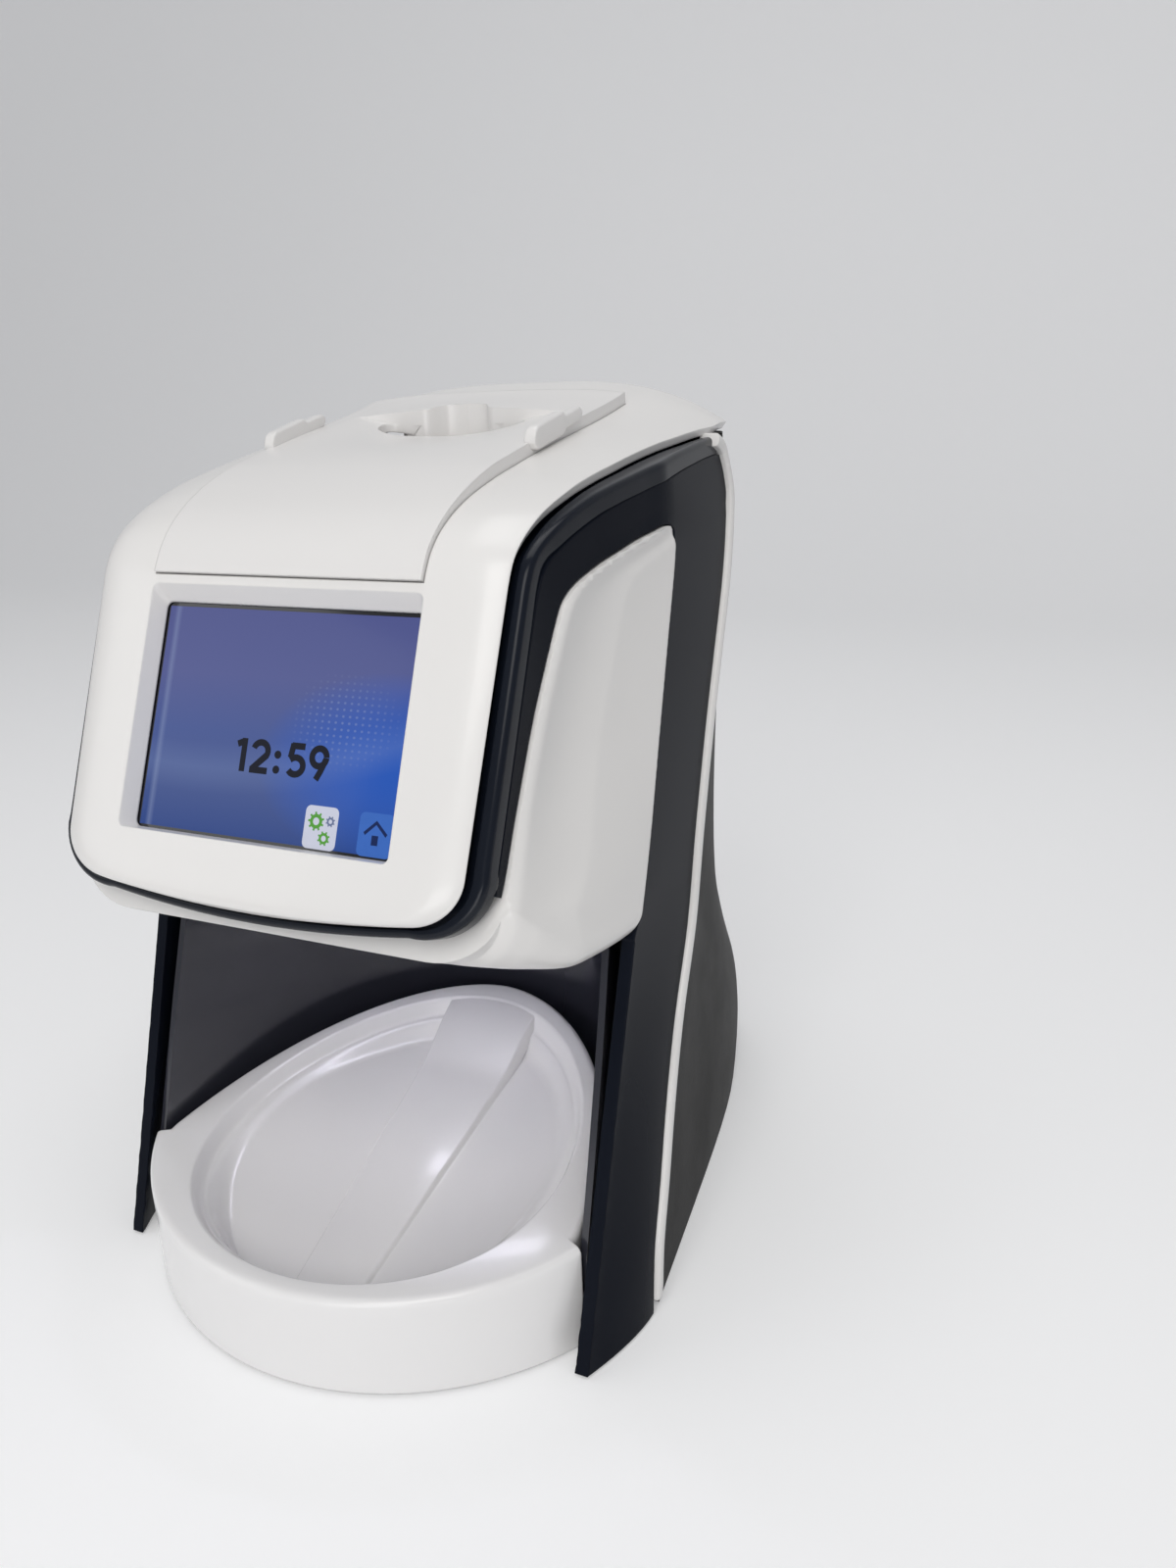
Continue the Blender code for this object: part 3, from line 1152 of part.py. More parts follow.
def bowl_z(x, y, scale):
    """Height of the dish at a point, with its share of the way out from the dish's centre."""
    foot_z = tray_rim_z(y) - LIP_DEPTH
    if scale > LIP_SHARE:
        return mix(foot_z, tray_rim_z(y), smooth((scale - LIP_SHARE) / (1 - LIP_SHARE)))
    flat = ramp_half_width(y)
    valley = min(1.0, max(0.0, abs(x) - flat) / (LIP_SHARE * DISH_HALF_WIDTH - flat)) ** VALLEY_POWER_SHARE
    end = smooth((scale - END_SHARE) / (LIP_SHARE - END_SHARE))
    return mix(tray_floor_z(y), foot_z, 1 - (1 - valley) * (1 - end))


def ramp_rings():
    """Sections of the ramp, from under the dish's skin to its top."""
    front_y = DISH_CENTRE_Y - RAMP_FRONT_SHARE * DISH_HALF_LENGTH
    rear_y = DISH_CENTRE_Y + RAMP_END_SHARE * DISH_HALF_LENGTH
    rings = []
    for y in steps_between(front_y, rear_y, 1.5 * OVERRUN):
        rise = mix(RAMP_FRONT_RISE, RAMP_REAR_RISE, ramp_share(y))
        wide = ramp_half_width(y)
        top_z = ramp_z(y)
        bottom_z = top_z - rise - TRAY_WALL - 2 * FIT
        foot = wide + RAMP_SIDE_SHARE * rise
        middle_z = top_z - rise
        rings.append([(-foot, y, bottom_z), (foot, y, bottom_z), (foot, y, middle_z), (wide, y, top_z),
                      (-wide, y, top_z), (-foot, y, middle_z)])
    return rings


def make_tray():
    half = tray_outline()
    outline = half + [(-x, y, low) for x, y, low in reversed(half) if x > 0.0001]
    wall = TRAY_WALL

    def dish(scale, grow, drop):
        ring = []
        for x, y, low in outline:
            dish_x, dish_y = dish_point(x, y, grow)
            dish_x *= scale
            dish_y = DISH_CENTRE_Y + (dish_y - DISH_CENTRE_Y) * scale
            ring.append((dish_x, dish_y, bowl_z(dish_x, dish_y, scale) - drop))
        return ring

    def outer(inset, drop, bottom=False):
        ring = []
        for x, y, low in outline:
            place_x, place_y = inset_outline(x, y, inset)
            ring.append((place_x, place_y, low if bottom else tray_rim_z(y) - drop))
        return ring

    rings = [dish(scale, 0, 0) for scale in DISH_RING_SHARES[::-1]]
    rings += [dish(1.0, 0.3 * wall, 0), outer(1.2 * wall, 0), outer(0.3 * wall, 0.35 * wall), outer(0, 1.2 * wall),
              outer(0, 0, True), outer(wall, 0, True), outer(1.1 * wall, 2.0 * wall), dish(1.0, wall, 1.6 * wall)]
    rings += [dish(scale, 0.7 * wall if scale > END_SHARE else 0, wall) for scale in DISH_RING_SHARES[1:]]
    tray = lofted("receiving_tray", rings, white())
    return join(tray, lofted("tray_ramp", ramp_rings()))


# Display: glass, panel, bracket and board, stacked behind the sloping front

GLASS_THICKNESS = 0.0011
GLASS_MARGIN = 0.0034
PANEL_THICKNESS = 0.0035
PANEL_HALF_WIDTH = 0.54922 * SCREEN_WIDTH
PANEL_HALF_HEIGHT = 0.13687 * HOOD_TOP_Z
BRACKET_HALF_WIDTH = 0.62372 * TABLE_HALF_WIDTH
BRACKET_HALF_HEIGHT = 0.12583 * HOOD_TOP_Z
DISPLAY_BOARD_HALF_WIDTH = 0.54208 * SCREEN_WIDTH
DISPLAY_BOARD_HALF_HEIGHT = 0.10155 * HOOD_TOP_Z
CHIP_SIZE = 0.0100
CHIP_HEIGHT = 0.0018


def front_plate(name, half, up, depth, thickness, look=None, middle_up=0.0):
    outline = [(-half, middle_up - up), (half, middle_up - up), (half, middle_up + up), (-half, middle_up + up)]
    return slab(name, outline, "FRONT", -depth - thickness, -depth, look, origin=front_point(0, 0))


def chips(name, places, axis, low, height):
    """Row of square packages for a board, standing on its face at low."""
    made = []
    for number, (a, b, wide) in enumerate(places, 1):
        half = wide * CHIP_SIZE / 2
        outline = [(a - half, b - half), (a + half, b - half), (a + half, b + half), (a - half, b + half)]
        made.append(slab(f"{name}_{number}", outline, axis, low, low + height))
    return made


def make_display():
    depth = BEZEL_DEPTH
    glass = material("screen_glass", BLACK_SHARES, 0.05)
    front_plate("touch_glass", SCREEN_WIDTH / 2 + GLASS_MARGIN, SCREEN_HEIGHT / 2 + GLASS_MARGIN, depth,
                GLASS_THICKNESS, glass)
    depth += GLASS_THICKNESS + FIT
    front_plate("display_module", PANEL_HALF_WIDTH, PANEL_HALF_HEIGHT, depth, PANEL_THICKNESS,
                material("display_panel", BLACK_SHARES, 0.4))
    depth += PANEL_THICKNESS + FIT
    front_plate("display_bracket", BRACKET_HALF_WIDTH, BRACKET_HALF_HEIGHT, depth, SHEET_METAL, metal())
    depth += SHEET_METAL + FIT
    board = front_plate("display_board", DISPLAY_BOARD_HALF_WIDTH, DISPLAY_BOARD_HALF_HEIGHT, depth,
                        CIRCUIT_BOARD, circuit())
    for up, side, wide in ((0.4, 0.5, 1.2), (-0.3, -0.5, 1.0), (-0.4, 0.6, 0.8)):
        half = wide * CHIP_SIZE / 2
        x = side * DISPLAY_BOARD_HALF_WIDTH
        outline = [(x - half, -half), (x + half, -half), (x + half, half), (x - half, half)]
        join(board, slab("display_chip", outline, "FRONT", -depth - CIRCUIT_BOARD - CHIP_HEIGHT,
                         -depth - CIRCUIT_BOARD + FIT, origin=front_point(0, up * DISPLAY_BOARD_HALF_HEIGHT)))
    return depth + CIRCUIT_BOARD


# Chassis: sheet metal back plate with two cheeks beside the plate path and a foot on the base

BACK_Y = 0.51656 * HOOD_TOP_Z
BACK_HALF_WIDTH = 0.71429 * TABLE_HALF_WIDTH
BACK_TOP_Z = 0.85651 * HOOD_TOP_Z
CHEEK_INNER = 0.56122 * TABLE_HALF_WIDTH
CHEEK_FRONT_TOP_Y = 0.19426 * HOOD_TOP_Z
CHEEK_FOOT_Y = 0.20309 * HOOD_TOP_Z
FOOT_REAR_Y = 0.66225 * HOOD_TOP_Z
FOOT_HALF_WIDTH = 0.63776 * TABLE_HALF_WIDTH
SCREW_HOLE_RADIUS = 0.0017
SCREW_RADIUS = 0.0013
SCREW_HEAD_RADIUS = 0.0030
SCREW_HEAD_HEIGHT = 0.0015
SCREW_X = 0.52296 * TABLE_HALF_WIDTH
SCREW_Y = 0.55408 * HOOD_TOP_Z
STANDOFF_RADIUS = 0.0025
STANDOFF_HEIGHT = 0.0040
STANDOFF_X = 0.51020 * TABLE_HALF_WIDTH
STANDOFF_FRONT_Y = 0.59161 * HOOD_TOP_Z
STANDOFF_REAR_Y = 0.64680 * HOOD_TOP_Z
CEILING_TOP = BAY_CEILING_Z + CEILING_THICKNESS


def cheek_front(up):
    """Front edge of a cheek, just behind the display's bracket."""
    depth = BEZEL_DEPTH + GLASS_THICKNESS + PANEL_THICKNESS + SHEET_METAL + 3 * FIT
    return front_point(0, up, depth)


def make_chassis():
    back = slab("chassis", [(-BACK_HALF_WIDTH, BASE_TOP + FIT), (BACK_HALF_WIDTH, BASE_TOP + FIT),
                            (BACK_HALF_WIDTH, BACK_TOP_Z), (-BACK_HALF_WIDTH, BACK_TOP_Z)], "Y",
                -BACK_Y - SHEET_METAL, -BACK_Y, metal())
    low = cheek_front(-BRACKET_HALF_HEIGHT)
    high = cheek_front(BRACKET_HALF_HEIGHT)
    outline = [(CHEEK_FOOT_Y, CEILING_TOP + FIT), (low.y, low.z), (high.y, high.z),
               (CHEEK_FRONT_TOP_Y, BACK_TOP_Z), (BACK_Y + SHEET_METAL / 2, BACK_TOP_Z),
               (BACK_Y + SHEET_METAL / 2, CEILING_TOP + FIT)]
    for side in (-1, 1):
        join(back, slab("cheek", outline, "X", side * CHEEK_INNER, side * (CHEEK_INNER + SHEET_METAL)))
    join(back, block("foot", (-FOOT_HALF_WIDTH, BACK_Y + SHEET_METAL / 2, BASE_TOP + FIT),
                     (FOOT_HALF_WIDTH, FOOT_REAR_Y, BASE_TOP + FIT + SHEET_METAL)))
    low_z = BASE_TOP + FIT + SHEET_METAL / 2
    high_z = BASE_TOP + FIT + SHEET_METAL + STANDOFF_HEIGHT
    for x in (-STANDOFF_X, STANDOFF_X):
        for y in (STANDOFF_FRONT_Y, STANDOFF_REAR_Y):
            join(back, rod("board_post", (x, y, low_z), (x, y, high_z), STANDOFF_RADIUS, "Z", steps=12))
    return back


def make_base_screws(base, chassis):
    """Two screws that hold the chassis on the base."""
    head_low = BASE_Z - FIT - SCREW_HEAD_HEIGHT
    end = BASE_TOP + 2 * FIT + SHEET_METAL
    profile = [(0, end), (SCREW_RADIUS, end), (SCREW_RADIUS, BASE_Z - FIT), (SCREW_HEAD_RADIUS, BASE_Z - FIT),
               (SCREW_HEAD_RADIUS, head_low), (0, head_low)]
    for name, x in (("base_screw_right", SCREW_X), ("base_screw_left", -SCREW_X)):
        turned(name, profile, "Z", (x, SCREW_Y, 0), metal(), 12)
        hole = rod("screw_hole", (x, SCREW_Y, 0), (x, SCREW_Y, BASE_TOP + OVERRUN), SCREW_HOLE_RADIUS, "Z",
                   steps=12)
        cut(base, hole)
        cut(chassis, hole)


# Plate path: bridge with a shutter under the cover, guides and two pairs of rollers

BRIDGE_HALF_WIDTH = 0.59949 * TABLE_HALF_WIDTH
BRIDGE_FRONT_Y = 0.36645 * HOOD_TOP_Z
BRIDGE_REAR_Y = 0.49007 * HOOD_TOP_Z
BRIDGE_THICKNESS = 0.0020
BRIDGE_Z = BACK_TOP_Z + FIT
BRIDGE_TOP = BRIDGE_Z + BRIDGE_THICKNESS
BRIDGE_SLOT_FRONT_Y = 0.39956 * HOOD_TOP_Z
BRIDGE_SLOT_REAR_Y = 0.44503 * HOOD_TOP_Z
BRIDGE_SLOT_HALF_WIDTH = 0.26148 * TABLE_HALF_WIDTH
HINGE_Y = 0.43488 * HOOD_TOP_Z
HINGE_RISE = 0.0026
HINGE_RADIUS = 0.0020
HINGE_PIN_RADIUS = 0.0008
HINGE_BORE = 0.0011
FLAP_HALF_WIDTH = 0.24872 * TABLE_HALF_WIDTH
FLAP_TIP_Y = 0.40530 * HOOD_TOP_Z
FLAP_THICKNESS = 0.0010
LUG_THICKNESS = 0.0025


def make_bridge():
    bridge = block("inlet_bridge", (-BRIDGE_HALF_WIDTH, BRIDGE_FRONT_Y, BRIDGE_Z),
                   (BRIDGE_HALF_WIDTH, BRIDGE_REAR_Y, BRIDGE_TOP), black())
    cut(bridge, block("bridge_slot", (-BRIDGE_SLOT_HALF_WIDTH, BRIDGE_SLOT_FRONT_Y, BRIDGE_Z - OVERRUN),
                      (BRIDGE_SLOT_HALF_WIDTH, BRIDGE_SLOT_REAR_Y, BRIDGE_TOP + OVERRUN)))
    hinge_z = BRIDGE_TOP + HINGE_RISE
    for side in (-1, 1):
        low = side * (BRIDGE_SLOT_HALF_WIDTH + FIT)
        high = side * (BRIDGE_SLOT_HALF_WIDTH + FIT + LUG_THICKNESS)
        join(bridge, block("lug", (min(low, high), HINGE_Y - HINGE_RADIUS, BRIDGE_TOP - BRIDGE_THICKNESS / 2),
                           (max(low, high), HINGE_Y + HINGE_RADIUS, hinge_z + HINGE_RADIUS)))
    reach = BRIDGE_SLOT_HALF_WIDTH + LUG_THICKNESS
    cut(bridge, rod("pin_bore", (-BRIDGE_HALF_WIDTH, HINGE_Y, hinge_z), (BRIDGE_HALF_WIDTH, HINGE_Y, hinge_z),
                    HINGE_BORE, "X", steps=12))
    rod("shutter_pin", (-reach, HINGE_Y, hinge_z), (reach, HINGE_Y, hinge_z), HINGE_PIN_RADIUS, "X", metal(), 12)
    flap = rod("shutter_flap", (-FLAP_HALF_WIDTH, HINGE_Y, hinge_z), (FLAP_HALF_WIDTH, HINGE_Y, hinge_z),
               HINGE_RADIUS, "X", black(), 12)
    blade_z = hinge_z - HINGE_RADIUS + FIT
    join(flap, block("blade", (-FLAP_HALF_WIDTH, FLAP_TIP_Y, blade_z),
                     (FLAP_HALF_WIDTH, HINGE_Y - HINGE_RADIUS / 2, blade_z + FLAP_THICKNESS)))
    cut(flap, rod("flap_bore", (-BRIDGE_HALF_WIDTH, HINGE_Y, hinge_z), (BRIDGE_HALF_WIDTH, HINGE_Y, hinge_z),
                  HINGE_BORE, "X", steps=12))
    return bridge


GUIDE_LOW_Z = 0.60927 * HOOD_TOP_Z
GUIDE_HIGH_Z = 0.76821 * HOOD_TOP_Z
GUIDE_THICKNESS = 0.0012
GUIDE_HALF_GAP = 0.0012
SCAN_Z = 0.69757 * HOOD_TOP_Z
SCAN_GAP = 0.0024
SIDE_INNER = 0.30612 * TABLE_HALF_WIDTH
SIDE_THICKNESS = 0.0020
SIDE_FRONT_Y = 0.37528 * HOOD_TOP_Z
SIDE_REAR_Y = 0.49669 * HOOD_TOP_Z
SIDE_LOW_Z = 0.49890 * HOOD_TOP_Z
SIDE_HIGH_Z = 0.84768 * HOOD_TOP_Z
TIE_DEPTH = 0.0030
TIE_HEIGHT = 0.0040
UPPER_ROLLER_Z = 0.80353 * HOOD_TOP_Z
LOWER_ROLLER_Z = 0.55629 * HOOD_TOP_Z
ROLLER_RADIUS = 0.02208 * HOOD_TOP_Z
PINCH_RADIUS = 0.01766 * HOOD_TOP_Z
ROLLER_SET_BACK = 0.02296 * HOOD_TOP_Z
PINCH_SET_FORWARD = 0.01943 * HOOD_TOP_Z
ROLLER_HALF_LENGTH = 0.25510 * TABLE_HALF_WIDTH
SHAFT_RADIUS = 0.0015
SHAFT_END = 0.35969 * TABLE_HALF_WIDTH
PULLEY_RADIUS = 0.02649 * HOOD_TOP_Z
PULLEY_X = 0.38265 * TABLE_HALF_WIDTH
PULLEY_WIDTH = 0.0040
MOTOR_PULLEY_RADIUS = 0.01987 * HOOD_TOP_Z
MOTOR_Y = 0.46358 * HOOD_TOP_Z
MOTOR_Z = 0.68874 * HOOD_TOP_Z
MOTOR_RADIUS = 0.04194 * HOOD_TOP_Z
MOTOR_X = 0.45918 * TABLE_HALF_WIDTH
BELT_THICKNESS = 0.0012
ERASER_LOW_Z = 0.61810 * HOOD_TOP_Z
ERASER_HIGH_Z = 0.65784 * HOOD_TOP_Z
ERASER_HALF_WIDTH = 0.24235 * TABLE_HALF_WIDTH


def make_transport():
    frame = block("transport_frame", (SIDE_INNER, SIDE_FRONT_Y, SIDE_LOW_Z),
                  (SIDE_INNER + SIDE_THICKNESS, SIDE_REAR_Y, SIDE_HIGH_Z), metal())
    join(frame, block("far_side", (-SIDE_INNER - SIDE_THICKNESS, SIDE_FRONT_Y, SIDE_LOW_Z),
                      (-SIDE_INNER, SIDE_REAR_Y, SIDE_HIGH_Z)))
    for z in (SIDE_LOW_Z + TIE_HEIGHT, SIDE_HIGH_Z - TIE_HEIGHT):
        join(frame, block("tie", (-CHEEK_INNER + FIT, SIDE_REAR_Y - TIE_DEPTH, z - TIE_HEIGHT / 2),
                          (CHEEK_INNER - FIT, SIDE_REAR_Y - TIE_DEPTH / 2, z + TIE_HEIGHT / 2)))
    for z in (UPPER_ROLLER_Z, LOWER_ROLLER_Z):
        for y in (PATH_Y + ROLLER_SET_BACK, PATH_Y - PINCH_SET_FORWARD):
            cut(frame, rod("shaft_hole", (-CHEEK_INNER, y, z), (CHEEK_INNER, y, z), SHAFT_RADIUS + FIT, "X",
                           steps=16))
    return frame


def make_guides():
    wide = SIDE_INNER - FIT
    front = block("plate_guide_front", (-wide, PATH_Y - GUIDE_HALF_GAP - GUIDE_THICKNESS, GUIDE_LOW_Z),
                  (wide, PATH_Y - GUIDE_HALF_GAP, GUIDE_HIGH_Z), black())
    cut(front, block("scan_slot", (-ROLLER_HALF_LENGTH, PATH_Y - OVERRUN, SCAN_Z - SCAN_GAP / 2),
                     (ROLLER_HALF_LENGTH, PATH_Y, SCAN_Z + SCAN_GAP / 2)))
    rear = block("plate_guide_rear", (-wide, PATH_Y + GUIDE_HALF_GAP, GUIDE_LOW_Z),
                 (wide, PATH_Y + GUIDE_HALF_GAP + GUIDE_THICKNESS, GUIDE_HIGH_Z), black())
    cut(rear, block("eraser_slot", (-ERASER_HALF_WIDTH, PATH_Y, ERASER_LOW_Z + FIT),
                    (ERASER_HALF_WIDTH, PATH_Y + OVERRUN, ERASER_HIGH_Z - FIT)))
    board_y = PATH_Y + GUIDE_HALF_GAP + GUIDE_THICKNESS + FIT
    block("eraser_board", (-SIDE_INNER + FIT, board_y, ERASER_LOW_Z - GUIDE_THICKNESS),
          (SIDE_INNER - FIT, board_y + CIRCUIT_BOARD, ERASER_HIGH_Z + GUIDE_THICKNESS), circuit())


def make_roller(name, y, z, radius, pulley):
    """Rubber roller on its shaft, with a pulley at one end when it is driven."""
    end = PULLEY_X + PULLEY_WIDTH + FIT if pulley else SHAFT_END
    half = ROLLER_HALF_LENGTH
    profile = [(0, end), (SHAFT_RADIUS, end)]
    if pulley:
        profile += [(SHAFT_RADIUS, PULLEY_X + PULLEY_WIDTH), (PULLEY_RADIUS, PULLEY_X + PULLEY_WIDTH),
                    (PULLEY_RADIUS, PULLEY_X), (SHAFT_RADIUS, PULLEY_X)]
    profile += [(SHAFT_RADIUS, half), (radius, half), (radius, -half), (SHAFT_RADIUS, -half),
                (SHAFT_RADIUS, -SHAFT_END), (0, -SHAFT_END)]
    roller = turned(name, profile, "X", (0, y, z), material("roller_rubber", BLACK_SHARES, 0.8), 14)
    return roller


def hull(circles, grow):
    """Convex outline round (centre a, centre b, radius) circles."""
    points = []
    for a, b, radius in circles:
        for step in range(BELT_STEPS):
            turn = 2 * math.pi * step / BELT_STEPS
            points.append((a + (radius + grow) * math.cos(turn), b + (radius + grow) * math.sin(turn)))
    points.sort()
    edges = []
    for line in (points, points[::-1]):
        chain = []
        for place in line:
            while len(chain) > 1 and ((chain[-1][0] - chain[-2][0]) * (place[1] - chain[-2][1])
                                      <= (chain[-1][1] - chain[-2][1]) * (place[0] - chain[-2][0])):
                chain.pop()
            chain.append(place)
        edges += chain[:-1]
    return edges


BELT_STEPS = 24


def make_drive():
    drive_y = PATH_Y + ROLLER_SET_BACK
    pinch_y = PATH_Y - PINCH_SET_FORWARD
    make_roller("drive_roller_upper", drive_y, UPPER_ROLLER_Z, ROLLER_RADIUS, True)
    make_roller("drive_roller_lower", drive_y, LOWER_ROLLER_Z, ROLLER_RADIUS, True)
    make_roller("pinch_roller_upper", pinch_y, UPPER_ROLLER_Z, PINCH_RADIUS, False)
    make_roller("pinch_roller_lower", pinch_y, LOWER_ROLLER_Z, PINCH_RADIUS, False)
    start = PULLEY_X - FIT
    face = PULLEY_X + PULLEY_WIDTH
    end = MOTOR_X + 2 * SHAFT_RADIUS
    profile = [(0, end), (SHAFT_RADIUS, end), (SHAFT_RADIUS, face), (MOTOR_PULLEY_RADIUS, face),
               (MOTOR_PULLEY_RADIUS, start), (0, start)]
    turned("motor_pulley", profile, "X", (0, MOTOR_Y, MOTOR_Z), metal(), 20)
    motor = rod("drive_motor", (MOTOR_X, MOTOR_Y, MOTOR_Z), (CHEEK_INNER - FIT, MOTOR_Y, MOTOR_Z), MOTOR_RADIUS,
                "X", black(), 24)
    cut(motor, rod("motor_bore", (MOTOR_X - FIT, MOTOR_Y, MOTOR_Z), (end + FIT, MOTOR_Y, MOTOR_Z),
                   SHAFT_RADIUS + FIT, "X", steps=20))
    circles = [(drive_y, UPPER_ROLLER_Z, PULLEY_RADIUS), (drive_y, LOWER_ROLLER_Z, PULLEY_RADIUS),
               (MOTOR_Y, MOTOR_Z, MOTOR_PULLEY_RADIUS)]
    inner = 2 * FIT
    belt = slab("drive_belt", hull(circles, inner + BELT_THICKNESS), "X", PULLEY_X + FIT, face - FIT,
                material("belt_rubber", BLACK_SHARES, 0.8))
    cut(belt, slab("belt_inside", hull(circles, inner), "X", PULLEY_X - OVERRUN, face + OVERRUN))


# Scanning head: bench with a laser, a spinning mirror, a lens and a photomultiplier

BENCH_Z = 0.61810 * HOOD_TOP_Z
BENCH_THICKNESS = 0.0020
BENCH_FRONT_Y = 0.15894 * HOOD_TOP_Z
BENCH_REAR_Y = 0.33554 * HOOD_TOP_Z
MIRROR_Y = 0.21634 * HOOD_TOP_Z
MIRROR_RADIUS = 0.04194 * HOOD_TOP_Z
MIRROR_HEIGHT = 0.02649 * HOOD_TOP_Z
MIRROR_MOTOR_RADIUS = 0.04857 * HOOD_TOP_Z
MIRROR_SHAFT_RADIUS = 0.0015
LASER_X = 0.29337 * TABLE_HALF_WIDTH
LASER_END = 0.52296 * TABLE_HALF_WIDTH
LASER_RADIUS = 0.02208 * HOOD_TOP_Z
LENS_Y = 0.29139 * HOOD_TOP_Z
LENS_HALF_WIDTH = 0.25510 * TABLE_HALF_WIDTH
LENS_DEPTH = 0.02649 * HOOD_TOP_Z
LENS_TOP_Z = 0.71965 * HOOD_TOP_Z
TUBE_Y = 0.34216 * HOOD_TOP_Z
TUBE_Z = 0.76380 * HOOD_TOP_Z
TUBE_RADIUS = 0.03091 * HOOD_TOP_Z
TUBE_HALF_LENGTH = 0.28061 * TABLE_HALF_WIDTH
GUIDE_DEPTH = 0.0030


def make_optics():
    top = BENCH_Z + BENCH_THICKNESS
    wide = CHEEK_INNER - FIT
    block("optics_bench", (-wide, BENCH_FRONT_Y, BENCH_Z), (wide, BENCH_REAR_Y, top), metal())
    motor_top = SCAN_Z - MIRROR_HEIGHT / 2 - 2 * FIT
    motor = rod("mirror_motor", (0, MIRROR_Y, top + FIT), (0, MIRROR_Y, motor_top), MIRROR_MOTOR_RADIUS, "Z",
                black(), 24)
    cut(motor, rod("mirror_bore", (0, MIRROR_Y, top + OVERRUN / 2), (0, MIRROR_Y, motor_top + OVERRUN),
                   MIRROR_SHAFT_RADIUS + FIT, "Z", steps=16))
    mirror = turned("scan_mirror", [(0, MIRROR_HEIGHT / 2), (MIRROR_RADIUS, MIRROR_HEIGHT / 2),
                                    (MIRROR_RADIUS, -MIRROR_HEIGHT / 2), (0, -MIRROR_HEIGHT / 2)], "Z",
                    (0, MIRROR_Y, SCAN_Z), material("mirror", METAL_SHARES, 0.05, 1.0), 6)
    join(mirror, rod("mirror_shaft", (0, MIRROR_Y, top + OVERRUN), (0, MIRROR_Y, SCAN_Z), MIRROR_SHAFT_RADIUS,
                     "Z", steps=16))
    laser = rod("laser_module", (LASER_X, MIRROR_Y, SCAN_Z), (LASER_END, MIRROR_Y, SCAN_Z), LASER_RADIUS, "X",
                metal(), 20)
    half = (LASER_END - LASER_X) / 2 - SHEET_METAL
    middle = (LASER_X + LASER_END) / 2
    join(laser, block("laser_foot", (middle - half, MIRROR_Y - LASER_RADIUS, top + FIT),
                      (middle + half, MIRROR_Y + LASER_RADIUS, SCAN_Z)))
    lens_outline = [(-LENS_HALF_WIDTH, LENS_Y - LENS_DEPTH / 3), (LENS_HALF_WIDTH, LENS_Y - LENS_DEPTH / 3)]
    for step in range(9):
        share = 1 - step / 4
        lens_outline.append((share * LENS_HALF_WIDTH, LENS_Y + LENS_DEPTH * (1 - share * share)))
    slab("scan_lens", lens_outline, "Z", top + FIT, LENS_TOP_Z, material("lens_glass", METAL_SHARES, 0.05))
    tube = rod("photomultiplier", (-TUBE_HALF_LENGTH, TUBE_Y, TUBE_Z), (TUBE_HALF_LENGTH, TUBE_Y, TUBE_Z),
               TUBE_RADIUS, "X", black(), 20)
    for side in (-1, 1):
        low, high = sorted((side * (TUBE_HALF_LENGTH - FIT), side * (CHEEK_INNER - FIT)))
        join(tube, block("tube_holder", (low, TUBE_Y - TUBE_RADIUS - FIT, TUBE_Z - TUBE_RADIUS - FIT),
                         (high, TUBE_Y + TUBE_RADIUS, TUBE_Z + TUBE_RADIUS + FIT)))
    near_y = TUBE_Y + TUBE_RADIUS + FIT
    far_y = PATH_Y - GUIDE_HALF_GAP - GUIDE_THICKNESS - FIT
    half = SIDE_INNER - 2 * FIT
    rings = [[(x, y, z) for x, z in ((-half, low), (half, low), (half, high), (-half, high))]
             for y, low, high in ((near_y, TUBE_Z - TUBE_RADIUS / 2, TUBE_Z + TUBE_RADIUS / 2),
                                  (far_y, SCAN_Z + SCAN_GAP, SCAN_Z + SCAN_GAP + GUIDE_DEPTH))]
    lofted("light_guide", rings, material("clear_plastic", WHITE_SHARES, 0.1))


# Rear of the machine: boards, high voltage box, fan and the port plate

DRIVER_HALF_WIDTH = 0.53571 * TABLE_HALF_WIDTH
DRIVER_LOW_Z = 0.53863 * HOOD_TOP_Z
DRIVER_HIGH_Z = 0.83002 * HOOD_TOP_Z
HV_X = -0.33163 * TABLE_HALF_WIDTH
HV_HALF_WIDTH = 0.22959 * TABLE_HALF_WIDTH
HV_DEPTH = 0.07064 * HOOD_TOP_Z
HV_LOW_Z = 0.27373 * HOOD_TOP_Z
HV_HIGH_Z = 0.45916 * HOOD_TOP_Z
BOARD_HALF_WIDTH = 0.56122 * TABLE_HALF_WIDTH
BOARD_FRONT_Y = 0.57395 * HOOD_TOP_Z
BOARD_REAR_Y = 0.75055 * HOOD_TOP_Z
BOARD_Z = BASE_TOP + 2 * FIT + SHEET_METAL + STANDOFF_HEIGHT
BOARD_TOP = BOARD_Z + CIRCUIT_BOARD
PORT_PLATE_Y = 0.75585 * HOOD_TOP_Z
PORT_PLATE_HALF_WIDTH = 0.52296 * TABLE_HALF_WIDTH
PORT_PLATE_HIGH_Z = 0.18190 * HOOD_TOP_Z
JACK_PROUD = 0.0012
JACK_BACK_Y = 0.70199 * HOOD_TOP_Z
SWITCH_X = 0.31888 * TABLE_HALF_WIDTH
SWITCH_Z = 0.11567 * HOOD_TOP_Z
SWITCH_HALF_WIDTH = 0.0066
SWITCH_HALF_HEIGHT = 0.04415 * HOOD_TOP_Z
ROCKER_HINGE_INSET = 0.0005
ROCKER_TIP = 0.0034
ROCKER_WAIST = 0.0018
FAN_DEPTH = 0.0100
FAN_BORE = 0.08168 * HOOD_TOP_Z
